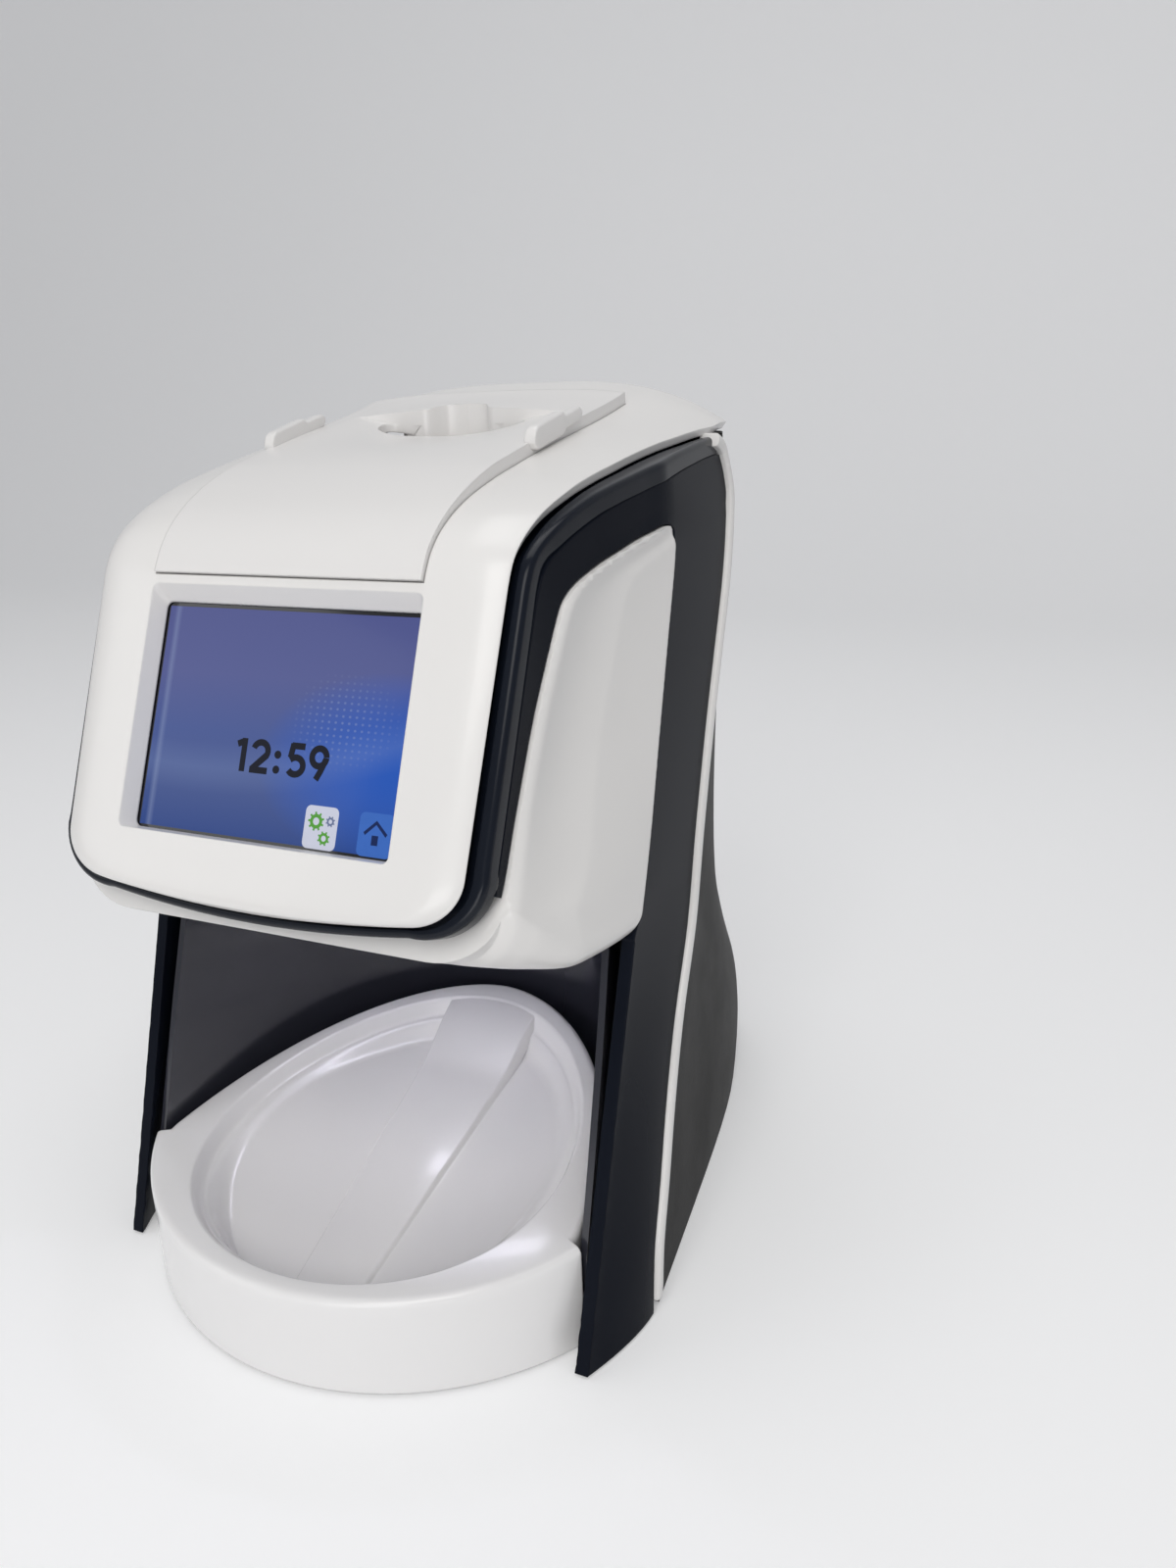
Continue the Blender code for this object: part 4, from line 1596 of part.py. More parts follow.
FAN_HUB = 0.03753 * HOOD_TOP_Z
FAN_ARM = 0.0030
FAN_PLATE = 0.0015
FAN_BLADE_RADIUS = 0.07726 * HOOD_TOP_Z
FAN_BLADE_THICKNESS = 0.0010
FAN_BLADES = 7


def make_boards():
    y = BACK_Y + SHEET_METAL + FIT
    driver = block("driver_board", (-DRIVER_HALF_WIDTH, y, DRIVER_LOW_Z),
                   (DRIVER_HALF_WIDTH, y + CIRCUIT_BOARD, DRIVER_HIGH_Z), circuit())
    middle_z = (DRIVER_LOW_Z + DRIVER_HIGH_Z) / 2
    for chip in chips("driver_chip", ((0.5 * DRIVER_HALF_WIDTH, middle_z, 1.4), (-0.5 * DRIVER_HALF_WIDTH,
                                      middle_z + CHIP_SIZE, 1.0), (-0.5 * DRIVER_HALF_WIDTH,
                                      middle_z - CHIP_SIZE, 0.8)), "Y", -y - CIRCUIT_BOARD - CHIP_HEIGHT,
                      CHIP_HEIGHT + FIT):
        join(driver, chip)
    block("high_voltage_box", (HV_X - HV_HALF_WIDTH, y, HV_LOW_Z),
          (HV_X + HV_HALF_WIDTH, y + HV_DEPTH, HV_HIGH_Z), metal())
    board = block("main_board", (-BOARD_HALF_WIDTH, BOARD_FRONT_Y, BOARD_Z),
                  (BOARD_HALF_WIDTH, BOARD_REAR_Y, BOARD_TOP), circuit())
    for chip in chips("main_chip", ((0.0, BOARD_FRONT_Y + CHIP_SIZE, 1.3), (0.6 * BOARD_HALF_WIDTH,
                                    BOARD_FRONT_Y + CHIP_SIZE, 0.9), (-0.6 * BOARD_HALF_WIDTH,
                                    BOARD_FRONT_Y + CHIP_SIZE, 0.9)), "Z", BOARD_TOP - FIT,
                      CHIP_HEIGHT + FIT):
        join(board, chip)


# Jacks of the port plate: name, middle x, half-width and height as shares of half the plate, depth of the
# opening as a share of the jack's length, and whether the opening is round
JACK_SHARES = [("usb_jack", -0.83, 0.125, 0.36, 0.7, False), ("network_jack", -0.42, 0.200, 0.68, 0.8, False),
               ("power_jack", 0.10, 0.140, 0.56, 0.6, True)]


def make_jack(plate, name, middle, half_share, height_share, depth_share, is_round):
    x = middle * PORT_PLATE_HALF_WIDTH
    half = half_share * PORT_PLATE_HALF_WIDTH
    low = BOARD_TOP + FIT
    high = low + height_share * PORT_PLATE_HALF_WIDTH / 2
    front = PORT_PLATE_Y + SHEET_METAL + JACK_PROUD
    jack = block(name, (x - half, JACK_BACK_Y, low), (x + half, front, high), metal() if name == "network_jack"
                 else black())
    start = mix(front, JACK_BACK_Y, depth_share)
    middle_z = (low + high) / 2
    if is_round:
        radius = 0.62 * half
        cut(jack, rod("jack_bore", (x, start, middle_z), (x, front + OVERRUN, middle_z), radius, "Y", steps=20))
        join(jack, rod("jack_pin", (x, start - FIT, middle_z), (x, front - JACK_PROUD, middle_z), 0.3 * radius, "Y",
                       steps=10))
    else:
        edge = 0.22 * half
        cut(jack, block("jack_opening", (x - half + edge, start, low + edge), (x + half - edge, front + OVERRUN,
                                                                             high - edge)))
    cut(plate, block("jack_hole", (x - half - FIT, PORT_PLATE_Y - OVERRUN, low - FIT),
                     (x + half + FIT, front + OVERRUN, high + FIT)))
    return jack


def make_ports():
    plate = block("port_plate", (-PORT_PLATE_HALF_WIDTH, PORT_PLATE_Y, BASE_TOP + FIT),
                  (PORT_PLATE_HALF_WIDTH, PORT_PLATE_Y + SHEET_METAL, PORT_PLATE_HIGH_Z), metal())
    for values in JACK_SHARES:
        make_jack(plate, *values)
    wide = SWITCH_HALF_WIDTH
    tall = SWITCH_HALF_HEIGHT
    cut(plate, block("switch_hole", (SWITCH_X - wide - FIT, PORT_PLATE_Y - OVERRUN, SWITCH_Z - tall - FIT),
                     (SWITCH_X + wide + FIT, REAR_Y, SWITCH_Z + tall + FIT)))
    hinge_y = PORT_PLATE_Y + SHEET_METAL - ROCKER_HINGE_INSET
    body_front = PORT_PLATE_Y + SHEET_METAL
    body = block("switch_body", (SWITCH_X - wide, JACK_BACK_Y, SWITCH_Z - tall),
                 (SWITCH_X + wide, body_front, SWITCH_Z + tall), black())
    margin = SHEET_METAL / 2
    cut(body, block("rocker_well", (SWITCH_X - wide + margin, hinge_y - 2 * ROCKER_TIP, SWITCH_Z - tall + margin),
                    (SWITCH_X + wide - margin, REAR_Y, SWITCH_Z + tall - margin)))
    reach = tall - margin - 3 * FIT
    outline = [(ROCKER_TIP, -reach), (ROCKER_WAIST, 0), (ROCKER_TIP, reach), (-ROCKER_WAIST / 2, reach),
               (-2 * ROCKER_WAIST, 0), (-ROCKER_WAIST / 2, -reach)]
    slab("power_rocker", outline, "X", -wide + margin + FIT, wide - margin - FIT,
         material("rocker", BLACK_SHARES, 0.3), origin=(SWITCH_X, hinge_y, SWITCH_Z))


def make_fan():
    low_y = NECK_REAR_Y - HOUSING_WALL - FIT - FAN_DEPTH
    high_y = low_y + FAN_DEPTH
    half = FAN_SIZE / 2
    frame = block("fan_frame", (-half, low_y, FAN_Z - half), (half, high_y, FAN_Z + half), black())
    cut(frame, rod("fan_bore", (0, low_y - OVERRUN, FAN_Z), (0, high_y + OVERRUN, FAN_Z), FAN_BORE, "Y",
                   steps=32))
    join(frame, block("fan_arm", (-half + FIT, low_y, FAN_Z - FAN_ARM / 2), (half - FIT, low_y + FAN_PLATE,
                                                                           FAN_Z + FAN_ARM / 2)),
         block("fan_arm", (-FAN_ARM / 2, low_y, FAN_Z - half + FIT), (FAN_ARM / 2, low_y + FAN_PLATE,
                                                                    FAN_Z + half - FIT)),
         rod("fan_seat", (0, low_y, FAN_Z), (0, low_y + FAN_PLATE, FAN_Z), FAN_HUB, "Y", steps=24))
    start = low_y + FAN_PLATE + FIT
    end = high_y - 2 * FIT
    rotor = rod("fan_rotor", (0, start, FAN_Z), (0, end, FAN_Z), FAN_HUB, "Y", black(), 28)
    for number in range(FAN_BLADES):
        turn = 2 * math.pi * number / FAN_BLADES
        spin = Matrix.Rotation(turn, 3, "Y")
        rings = []
        for radius, wide in ((0.8 * FAN_HUB, 0.5), (FAN_BLADE_RADIUS, 0.75)):
            half_wide = wide * FAN_HUB / 2
            ring = [(-half_wide, start + FIT), (-half_wide + FAN_BLADE_THICKNESS, start + FIT),
                    (half_wide, end - FIT), (half_wide - FAN_BLADE_THICKNESS, end - FIT)]
            rings.append([spin @ Vector((x, 0, radius)) + Vector((0, y, FAN_Z)) for x, y in ring])
        join(rotor, lofted("fan_blade", rings))


make_hood()
make_cover()
make_head_frame()
make_head_rim()
make_side_panel("side_panel_right", 1)
make_side_panel("side_panel_left", -1)
make_cradle()
make_strip("trim_strip_right", 1)
make_strip("trim_strip_left", -1)
make_rear_housing()
base_plate = make_base()
make_feet()
make_bay_wall()
make_ceiling()
make_tray()
make_display()
chassis = make_chassis()
make_base_screws(base_plate, chassis)
make_bridge()
make_transport()
make_guides()
make_drive()
make_optics()
make_boards()
make_ports()
make_fan()
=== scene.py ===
import json
import math
import bmesh
import bpy
from mathutils import Matrix, Vector


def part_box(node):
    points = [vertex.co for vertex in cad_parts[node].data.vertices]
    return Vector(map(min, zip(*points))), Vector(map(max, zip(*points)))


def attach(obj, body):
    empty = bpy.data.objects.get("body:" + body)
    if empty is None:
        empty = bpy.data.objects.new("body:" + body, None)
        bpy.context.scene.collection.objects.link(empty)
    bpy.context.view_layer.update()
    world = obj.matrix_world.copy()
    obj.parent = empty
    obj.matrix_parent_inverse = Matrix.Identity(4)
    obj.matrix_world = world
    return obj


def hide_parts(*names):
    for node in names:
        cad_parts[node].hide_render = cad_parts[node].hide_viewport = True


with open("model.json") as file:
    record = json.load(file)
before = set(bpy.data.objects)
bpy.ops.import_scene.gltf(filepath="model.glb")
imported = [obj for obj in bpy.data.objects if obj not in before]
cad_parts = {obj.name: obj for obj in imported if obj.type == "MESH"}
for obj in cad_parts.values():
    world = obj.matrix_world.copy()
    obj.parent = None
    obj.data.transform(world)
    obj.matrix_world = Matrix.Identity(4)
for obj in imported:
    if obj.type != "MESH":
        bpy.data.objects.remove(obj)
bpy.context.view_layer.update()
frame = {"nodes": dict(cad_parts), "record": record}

NODES = frame["nodes"]

# Sizes and laws of the outer form, in metres, as the solids have them. y is measured from the datum
# plane ahead of the panels' toes; DATUM moves it to the world origin.
DATUM = Vector((0, -0.08255, 0))
FIT = 0.0003
OVERRUN = 0.006
WELD = 0.000001
TABLE_HALF_WIDTH = 0.0784
TOP_HALF_WIDTH = 0.0670
PANEL_HEIGHT = 0.2060
PANEL_WALL = 0.0033
TABLE_CLEARANCE = 0.0008
TOE_Y = 0.0078
TOE_IN = 0.0074
HEAD_HALF_WIDTH = 0.0575
REAR_Y = 0.1850
NECK_REAR_Y = 0.1490
HOUSING_WALL = 0.0025
SCREEN_TILT = math.radians(23.2)
SCREEN_Y = 0.0106
SCREEN_Z = 0.1556
SCREEN_WIDTH = 0.0701
SCREEN_HEIGHT = 0.0526
BEZEL_DEPTH = 0.0045
BEZEL_FLARE = 0.0016
BEZEL_TOP_FLARE = 0.0038
BEZEL_BOTTOM_SHARE = 0.3
BEZEL_CORNER = 0.0016
BEZEL_PLATE = 0.0042
HOOD_WALL = 0.0020
CHIN = 0.0155
BROW = 0.0062
CHIN_CORNER = 0.0130
CHIN_BOW = 0.0027
CHIN_LIP = 0.0026
HOOD_FRONT_HALF_WIDTH = 0.0535
HOOD_BEND_HALF_WIDTH = 0.0547
HOOD_REAR_HALF_WIDTH = 0.0650
HOOD_REAR_Y = 0.1485
HOOD_TOP_Z = 0.2265
HOOD_RIM_Z = 0.2140
HOOD_EDGE_DROP = 0.0026
SHADOW_GAP = 0.0022
COVER_FRONT_HALF_WIDTH = 0.0360
COVER_REAR_HALF_WIDTH = 0.0403
COVER_REAR_Y = 0.1220
COVER_SKIN = 0.0022
COVER_SEAT = 0.0018
COVER_GAP = 0.0003
COVER_FRONT_RISE = 0.0009
COVER_RISE = 0.0029
SCOOP_DEPTH = 0.0044
DOME_RISE = 0.0012
POCKET_REAR_Y = 0.1003
POCKET_HALF_WIDTH = 0.0218
POCKET_LENGTH = 0.0115
POCKET_FLOOR_Z = 0.2060
POCKET_WALL = 0.0018
POCKET_FRONT_TOP_Z = 0.2126
POCKET_REAR_TOP_Z = 0.2190
POCKET_SHARES = [(0.0, 0.54), (0.275, 0.435), (0.436, 0.078), (0.64, 0.0), (0.917, -0.043), (1.01, -0.287),
                 (0.917, -0.72), (0.60, -1.03), (0.275, -0.94), (0.0, -0.90)]
TAB_LENGTH = 0.0250
TAB_OVERHANG = 0.0016
TAB_FRONT_Z = 0.2158
TAB_REAR_Z = 0.2213
TAB_HEIGHT = 0.0056
TAB_THICKNESS = 0.0030
TAB_FRONT_Y = 0.0675
PATH_Y = 0.0950
PLATE_HALF_WIDTH = 0.0180
SLOT_GAP = 0.0030


def mix(a, b, share):
    return a + (b - a) * share


def clamp(value):
    return min(1.0, max(0.0, value))


def smooth(share):
    share = clamp(share)
    return share * share * (3 - 2 * share)


def round_off(share):
    """Height of a quarter circle at a share of its run: 1 at the start, 0 at the end."""
    return math.sqrt(max(0.0, 1 - share * share))


def table(pairs, value):
    """Smooth reading of a table of (place, value) pairs, without overshoot."""
    if value <= pairs[0][0]:
        return pairs[0][1]
    if value >= pairs[-1][0]:
        return pairs[-1][1]
    low, high = 0, len(pairs) - 1
    while high - low > 1:
        middle = (low + high) // 2
        if pairs[middle][0] <= value:
            low = middle
        else:
            high = middle

    def secant(k):
        (a, first), (b, second) = pairs[k], pairs[k + 1]
        return (second - first) / max(b - a, 1e-12)

    def slope(k):
        if k == 0:
            return secant(0)
        if k == len(pairs) - 1:
            return secant(k - 1)
        before, after = secant(k - 1), secant(k)
        if before * after <= 0:
            return 0.0
        w1 = pairs[k + 1][0] - pairs[k][0]
        w2 = pairs[k][0] - pairs[k - 1][0]
        return 3 * (w1 + w2) / ((2 * w1 + w2) / before + (w1 + 2 * w2) / after)

    (a, first), (b, second) = pairs[low], pairs[low + 1]
    span = b - a
    t = (value - a) / span
    t2, t3 = t * t, t * t * t
    return ((2 * t3 - 3 * t2 + 1) * first + (t3 - 2 * t2 + t) * span * slope(low)
            + (3 * t2 - 2 * t3) * second + (t3 - t2) * span * slope(low + 1))


def smooth_line(points, steps):
    """Open curve through the points, with steps spans between each two."""
    padded = [points[0]] + list(points) + [points[-1]]
    line = []
    for a, b, c, d in zip(padded, padded[1:], padded[2:], padded[3:]):
        for step in range(steps):
            t = step / steps
            line.append(tuple(
                0.5 * (2 * q + (r - p) * t + (2 * p - 5 * q + 4 * r - s) * t * t
                       + (3 * q - p - 3 * r + s) * t * t * t)
                for p, q, r, s in zip(a, b, c, d)))
    line.append(tuple(points[-1]))
    return line


# Mesh helpers

def finish_mesh(name, bm):
    bmesh.ops.recalc_face_normals(bm, faces=bm.faces)
    if bm.calc_volume(signed=True) < 0:
        bmesh.ops.reverse_faces(bm, faces=bm.faces)
    mesh = bpy.data.meshes.new(name)
    bm.to_mesh(mesh)
    bm.free()
    return mesh


def soften(mesh, degrees=32):
    mesh.shade_smooth()
    mesh.set_sharp_from_angle(angle=math.radians(degrees))


def link(name, mesh):
    obj = bpy.data.objects.new(name, mesh)
    bpy.context.scene.collection.objects.link(obj)
    return obj


def block(name, low, high):
    low = Vector(low)
    high = Vector(high)
    bm = bmesh.new()
    bmesh.ops.create_cube(bm, size=1.0)
    bmesh.ops.scale(bm, vec=high - low, verts=bm.verts)
    bmesh.ops.translate(bm, vec=(high + low) / 2, verts=bm.verts)
    return link(name, finish_mesh(name, bm))


FRONT_UP = Vector((0, math.sin(SCREEN_TILT), math.cos(SCREEN_TILT)))
FRONT_OUT = Vector((0, -math.cos(SCREEN_TILT), math.sin(SCREEN_TILT)))
PLANES = {
    "X": Matrix(((0, 0, 1), (1, 0, 0), (0, 1, 0))),
    "Y": Matrix(((1, 0, 0), (0, 0, -1), (0, 1, 0))),
    "Z": Matrix.Identity(3),
    "FRONT": Matrix(((1, 0, 0), (0, FRONT_UP.y, FRONT_OUT.y), (0, FRONT_UP.z, FRONT_OUT.z))),
}


def slab(name, outline, plane, start, end, origin=(0, 0, 0), holes=()):
    """Flat outline filled and extruded from start to end along the plane's normal."""
    curve = bpy.data.curves.new(name, "CURVE")
    curve.dimensions = "2D"
    curve.fill_mode = "BOTH"
    curve.extrude = abs(end - start) / 2
    for points in (outline, *holes):
        spline = curve.splines.new("POLY")
        spline.points.add(len(points) - 1)
        for point, (a, b) in zip(spline.points, points):
            point.co = (a, b, 0, 1)
        spline.use_cyclic_u = True
    drawn = link(name + "_outline", curve)
    bpy.context.view_layer.update()
    mesh = bpy.data.meshes.new_from_object(drawn.evaluated_get(bpy.context.evaluated_depsgraph_get()))
    bpy.data.objects.remove(drawn)
    bm = bmesh.new()
    bm.from_mesh(mesh)
    bmesh.ops.remove_doubles(bm, verts=bm.verts, dist=WELD)
    turn = PLANES[plane]
    shift = Vector(origin) + turn @ Vector((0, 0, (start + end) / 2))
    bm.transform(Matrix.Translation(shift) @ turn.to_4x4())
    bpy.data.meshes.remove(mesh)
    return link(name, finish_mesh(name, bm))


def lofted(name, rings):
    """Solid through a row of rings with like point counts, capped at both ends."""
    bm = bmesh.new()
    verts = [[bm.verts.new(point) for point in ring] for ring in rings]
    count = len(rings[0])
    for ring, following in zip(verts, verts[1:]):
        for i in range(count):
            j = (i + 1) % count
            bm.faces.new((ring[i], ring[j], following[j], following[i]))
    bm.faces.new(verts[0])
    bm.faces.new(verts[-1])
    return link(name, finish_mesh(name, bm))


def apply_modifiers(obj):
    bpy.context.view_layer.update()
    made = bpy.data.meshes.new_from_object(obj.evaluated_get(bpy.context.evaluated_depsgraph_get()))
    obj.modifiers.clear()
    old = obj.data
    obj.data = made
    bpy.data.meshes.remove(old)


def boolean(obj, operation, *others):
    for other in others:
        modifier = obj.modifiers.new(operation.lower(), "BOOLEAN")
        modifier.operation = operation
        modifier.solver = "EXACT"
        modifier.object = other
        apply_modifiers(obj)
        bpy.data.objects.remove(other, do_unlink=True)
    return obj


def cut(obj, *others):
    return boolean(obj, "DIFFERENCE", *others)


def join(obj, *others):
    return boolean(obj, "UNION", *others)


def keep(obj, other):
    return boolean(obj, "INTERSECT", other)


def sheet(name, rows, thickness, outward):
    """Open surface through rows of points, facing the outward point's side, thickened inwards."""
    bm = bmesh.new()
    verts = [[bm.verts.new(point) for point in row] for row in rows]
    for row, following in zip(verts, verts[1:]):
        for i in range(len(row) - 1):
            bm.faces.new((row[i], row[i + 1], following[i + 1], following[i]))
    bm.normal_update()
    total = Vector((0, 0, 0))
    for face in bm.faces:
        total += face.normal * face.calc_area()
    if total.dot(Vector(outward)) < 0:
        bmesh.ops.reverse_faces(bm, faces=bm.faces)
    mesh = bpy.data.meshes.new(name)
    bm.to_mesh(mesh)
    bm.free()
    obj = link(name, mesh)
    modifier = obj.modifiers.new("wall", "SOLIDIFY")
    modifier.thickness = thickness
    modifier.offset = -1
    modifier.use_even_offset = True
    apply_modifiers(obj)
    return obj


def place(obj, surface, body, slot_name, *nodes):
    """Finishes a piece: moves it from the datum, gives it its look, its body and the nodes it stands for."""
    obj.data.transform(Matrix.Translation(DATUM))
    soften(obj.data)
    obj.data.materials.clear()
    obj.data.materials.append(surface)
    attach(obj, body)
    if nodes:
        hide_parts(*nodes)
    return obj


# Looks

GRAIN_DEPTH = 0.0002
EDGE_FINE = 0.0003
EDGE_SOFT = 0.0006
EDGE_BROAD = 0.0008


def new_look(name):
    made = bpy.data.materials.new(name)
    made.use_nodes = True
    return made, made.node_tree, made.node_tree.nodes["Principled BSDF"]


def maths(tree, operation, a, b, clamped=False):
    node = tree.nodes.new("ShaderNodeMath")
    node.operation = operation
    node.use_clamp = clamped
    for socket, value in zip(node.inputs, (a, b)):
        if isinstance(value, (int, float)):
            socket.default_value = value
        else:
            tree.links.new(value, socket)
    return node.outputs[0]


def noise(tree, scale, space=None, detail=2.0, rough=0.5):
    node = tree.nodes.new("ShaderNodeTexNoise")
    node.inputs["Scale"].default_value = scale
    node.inputs["Detail"].default_value = detail
    node.inputs["Roughness"].default_value = rough
    if space is not None:
        tree.links.new(space, node.inputs["Vector"])
    return node.outputs["Fac"]


def tones(tree, share, *stops):
    """Colour ramp read at the share; each stop is a position and a colour."""
    ramp = tree.nodes.new("ShaderNodeValToRGB")
    elements = ramp.color_ramp.elements
    for k, (spot, colour) in enumerate((stops[0], stops[-1], *stops[1:-1])):
        element = elements[k] if k < 2 else elements.new(spot)
        element.position = spot
        element.color = (*colour, 1)
    tree.links.new(share, ramp.inputs["Fac"])
    return ramp.outputs["Color"]


def mapped(tree, share, start, end, low, high):
    """The share's range from start to end, turned into low to high."""
    node = tree.nodes.new("ShaderNodeMapRange")
    for name, value in (("From Min", start), ("From Max", end), ("To Min", low), ("To Max", high)):
        node.inputs[name].default_value = value
    tree.links.new(share, node.inputs["Value"])
    return node.outputs["Result"]


def blend(tree, share, under, over):
    """The colour socket under, covered by the plain colour over as far as the share says."""
    node = tree.nodes.new("ShaderNodeMix")
    node.data_type = "RGBA"
    tree.links.new(share, node.inputs["Factor"])
    tree.links.new(under, node.inputs[6])
    node.inputs[7].default_value = (*over, 1)
    return node.outputs[2]


def look(name, colour, second, roughness, metallic=0.0, spread=0.06, grain=0.0, grain_scale=900.0,
         edge=EDGE_SOFT, specular=0.5, coat=0.0, mottle=9.0):
    """Moulded or painted surface: two close tones in soft clouds, uneven gloss, fine grain, rounded edges."""
    made, tree, shader = new_look(name)
    for socket, value in (("Metallic", metallic), ("Specular IOR Level", specular), ("Coat Weight", coat),
                          ("Coat Roughness", 0.08)):
        shader.inputs[socket].default_value = value
    space = tree.nodes.new("ShaderNodeTexCoord").outputs["Object"]
    clouds = noise(tree, mottle, space, 4, 0.55)
    tree.links.new(tones(tree, clouds, (0.32, colour), (0.68, second)), shader.inputs["Base Color"])
    smudges = noise(tree, 26.0, space, 6, 0.6)
    gloss = mapped(tree, smudges, 0.3, 0.7, max(0.02, roughness - spread), roughness + spread)
    tree.links.new(gloss, shader.inputs["Roughness"])
    normal = None
    if edge:
        rounded = tree.nodes.new("ShaderNodeBevel")
        rounded.samples = 6
        rounded.inputs["Radius"].default_value = edge
        normal = rounded.outputs["Normal"]
    if grain:
        bump = tree.nodes.new("ShaderNodeBump")
        bump.inputs["Strength"].default_value = grain
        bump.inputs["Distance"].default_value = GRAIN_DEPTH
        tree.links.new(noise(tree, grain_scale, space, 3, 0.55), bump.inputs["Height"])
        if normal is not None:
            tree.links.new(normal, bump.inputs["Normal"])
        normal = bump.outputs["Normal"]
    if normal is not None:
        tree.links.new(normal, shader.inputs["Normal"])
    return made


WHITE = look("white_shell", (0.83, 0.815, 0.795), (0.82, 0.805, 0.786), 0.30, spread=0.02, coat=0.2,
             mottle=14.0)
WHITE_COVER = look("white_cover", (0.815, 0.80, 0.785), (0.805, 0.79, 0.775), 0.30, spread=0.02, coat=0.2,
                   mottle=11.0)
# Tray white, set whiter than the shell white: painted light that lifts the tray where it sits in the head's
# shade.
WHITE_TRAY_PAINTED_LIGHT = look("white_tray_painted_light", (0.895, 0.885, 0.88), (0.885, 0.875, 0.87), 0.24, spread=0.02, coat=0.3,
                  mottle=12.0)
DARK = look("dark_shell", (0.0050, 0.0065, 0.0115), (0.007, 0.009, 0.015), 0.24, spread=0.03, specular=0.05,
            mottle=20.0)
DARK_GLOSS = look("dark_trim", (0.0060, 0.0080, 0.0140), (0.008, 0.011, 0.018), 0.18, spread=0.03,
                  specular=0.22, mottle=20.0)
BAY = look("bay_shell", (0.022, 0.023, 0.031), (0.028, 0.029, 0.039), 0.13, spread=0.04, edge=0.0, coat=0.35,
           mottle=16.0)
# Near-black grey: painted shade. The rear housing is light plastic, and its colour is set to the dark tone it
# shows in shadow.
GREY_PAINTED_SHADE = look("grey_housing_painted_shade", (0.018, 0.0175, 0.0175), (0.022, 0.0215, 0.0215), 0.50, grain=0.4,
            grain_scale=1500.0, edge=EDGE_BROAD, specular=0.07, mottle=18.0)
BLACK = look("black_plastic", (0.011, 0.011, 0.012), (0.016, 0.016, 0.017), 0.48, grain=0.35,
             grain_scale=1300.0, mottle=30.0)
RUBBER = look("rubber", (0.010, 0.010, 0.010), (0.017, 0.017, 0.017), 0.78, grain=0.6, grain_scale=800.0,
              edge=0.0, mottle=40.0)
STEEL = look("sheet_steel", (0.56, 0.57, 0.59), (0.66, 0.67, 0.69), 0.34, metallic=1.0, grain=0.12,
             grain_scale=500.0, edge=EDGE_FINE, mottle=50.0)
BOARD = look("solder_resist", (0.008, 0.10, 0.045), (0.012, 0.145, 0.065), 0.36, grain=0.15,
             grain_scale=420.0, edge=0.0, mottle=90.0)
MIRROR = look("mirror_face", (0.74, 0.74, 0.76), (0.78, 0.78, 0.80), 0.04, metallic=1.0, spread=0.01,
              edge=0.0, mottle=30.0)
GLASS = look("touch_glass", (0.006, 0.006, 0.008), (0.009, 0.009, 0.012), 0.06, spread=0.03, edge=0.0,
             coat=0.6, mottle=40.0)
GOLD = look("contact_gold", (0.78, 0.56, 0.22), (0.85, 0.63, 0.28), 0.28, metallic=1.0, edge=0.0,
            mottle=300.0)
NICKEL = look("nickel", (0.62, 0.61, 0.58), (0.70, 0.69, 0.66), 0.22, metallic=1.0, grain=0.05,
              edge=EDGE_FINE, mottle=120.0)


def clear_look(name):
    """See-through acrylic with a faint haze."""
    made, tree, shader = new_look(name)
    shader.inputs["Base Color"].default_value = (0.80, 0.86, 0.92, 1)
    shader.inputs["Transmission Weight"].default_value = 0.85
    shader.inputs["IOR"].default_value = 1.49
    tree.links.new(mapped(tree, noise(tree, 220.0), 0.0, 1.0, 0.05, 0.22), shader.inputs["Roughness"])
    return made


def glowing(name, colour, second, strength, roughness=0.25, scale=60.0):
    """Lit surface: emission in two close tones under a smooth face."""
    made, tree, shader = new_look(name)
    shader.inputs["Roughness"].default_value = roughness
    shader.inputs["Base Color"].default_value = (*[0.25 * c for c in colour], 1)
    shader.inputs["Specular IOR Level"].default_value = 0.15
    clouds = noise(tree, scale, tree.nodes.new("ShaderNodeTexCoord").outputs["Object"])
    tree.links.new(tones(tree, clouds, (0.0, colour), (1.0, second)), shader.inputs["Emission Color"])
    shader.inputs["Emission Strength"].default_value = strength
    return made


CLEAR = clear_look("clear_acrylic")
BAY_LIGHT = glowing("bay_light", (0.84, 0.82, 1.0), (0.88, 0.86, 1.0), 13.0)


# Side view of the body

def flank(z):
    return mix(TABLE_HALF_WIDTH, TOP_HALF_WIDTH, z / PANEL_HEIGHT)


STRIP_SHARES = [(0.1790, 0.000), (0.2000, 0.079), (0.2368, 0.152), (0.2822, 0.247), (0.3351, 0.338),
                (0.4081, 0.436), (0.4638, 0.543), (0.5308, 0.660), (0.5832, 0.743), (0.6503, 0.850),
                (0.6830, 0.935), (0.6790, 0.972), (0.6620, 1.000)]
WING_REAR_SHARES = [(0.2195, 0.486), (0.2443, 0.5165), (0.2935, 0.599), (0.3368, 0.683),
                    (0.3930, 0.791), (0.4432, 0.887), (0.4551, 0.926)]
WING_CREST_SHARES = [(0.4510, 0.9300), (0.4323, 0.9318), (0.4000, 0.9275), (0.3688, 0.9226), (0.3159, 0.9131),
                     (0.2654, 0.9021), (0.2282, 0.8913), (0.2060, 0.8800), (0.1940, 0.8680), (0.1810, 0.8480),
                     (0.1584, 0.8117), (0.1222, 0.7563), (0.0719, 0.6718),
                     (0.0308, 0.6024), (-0.0160, 0.5660)]


def side_points(shares, spans):
    return [(y * REAR_Y, z * PANEL_HEIGHT) for y, z in smooth_line(shares, spans)]


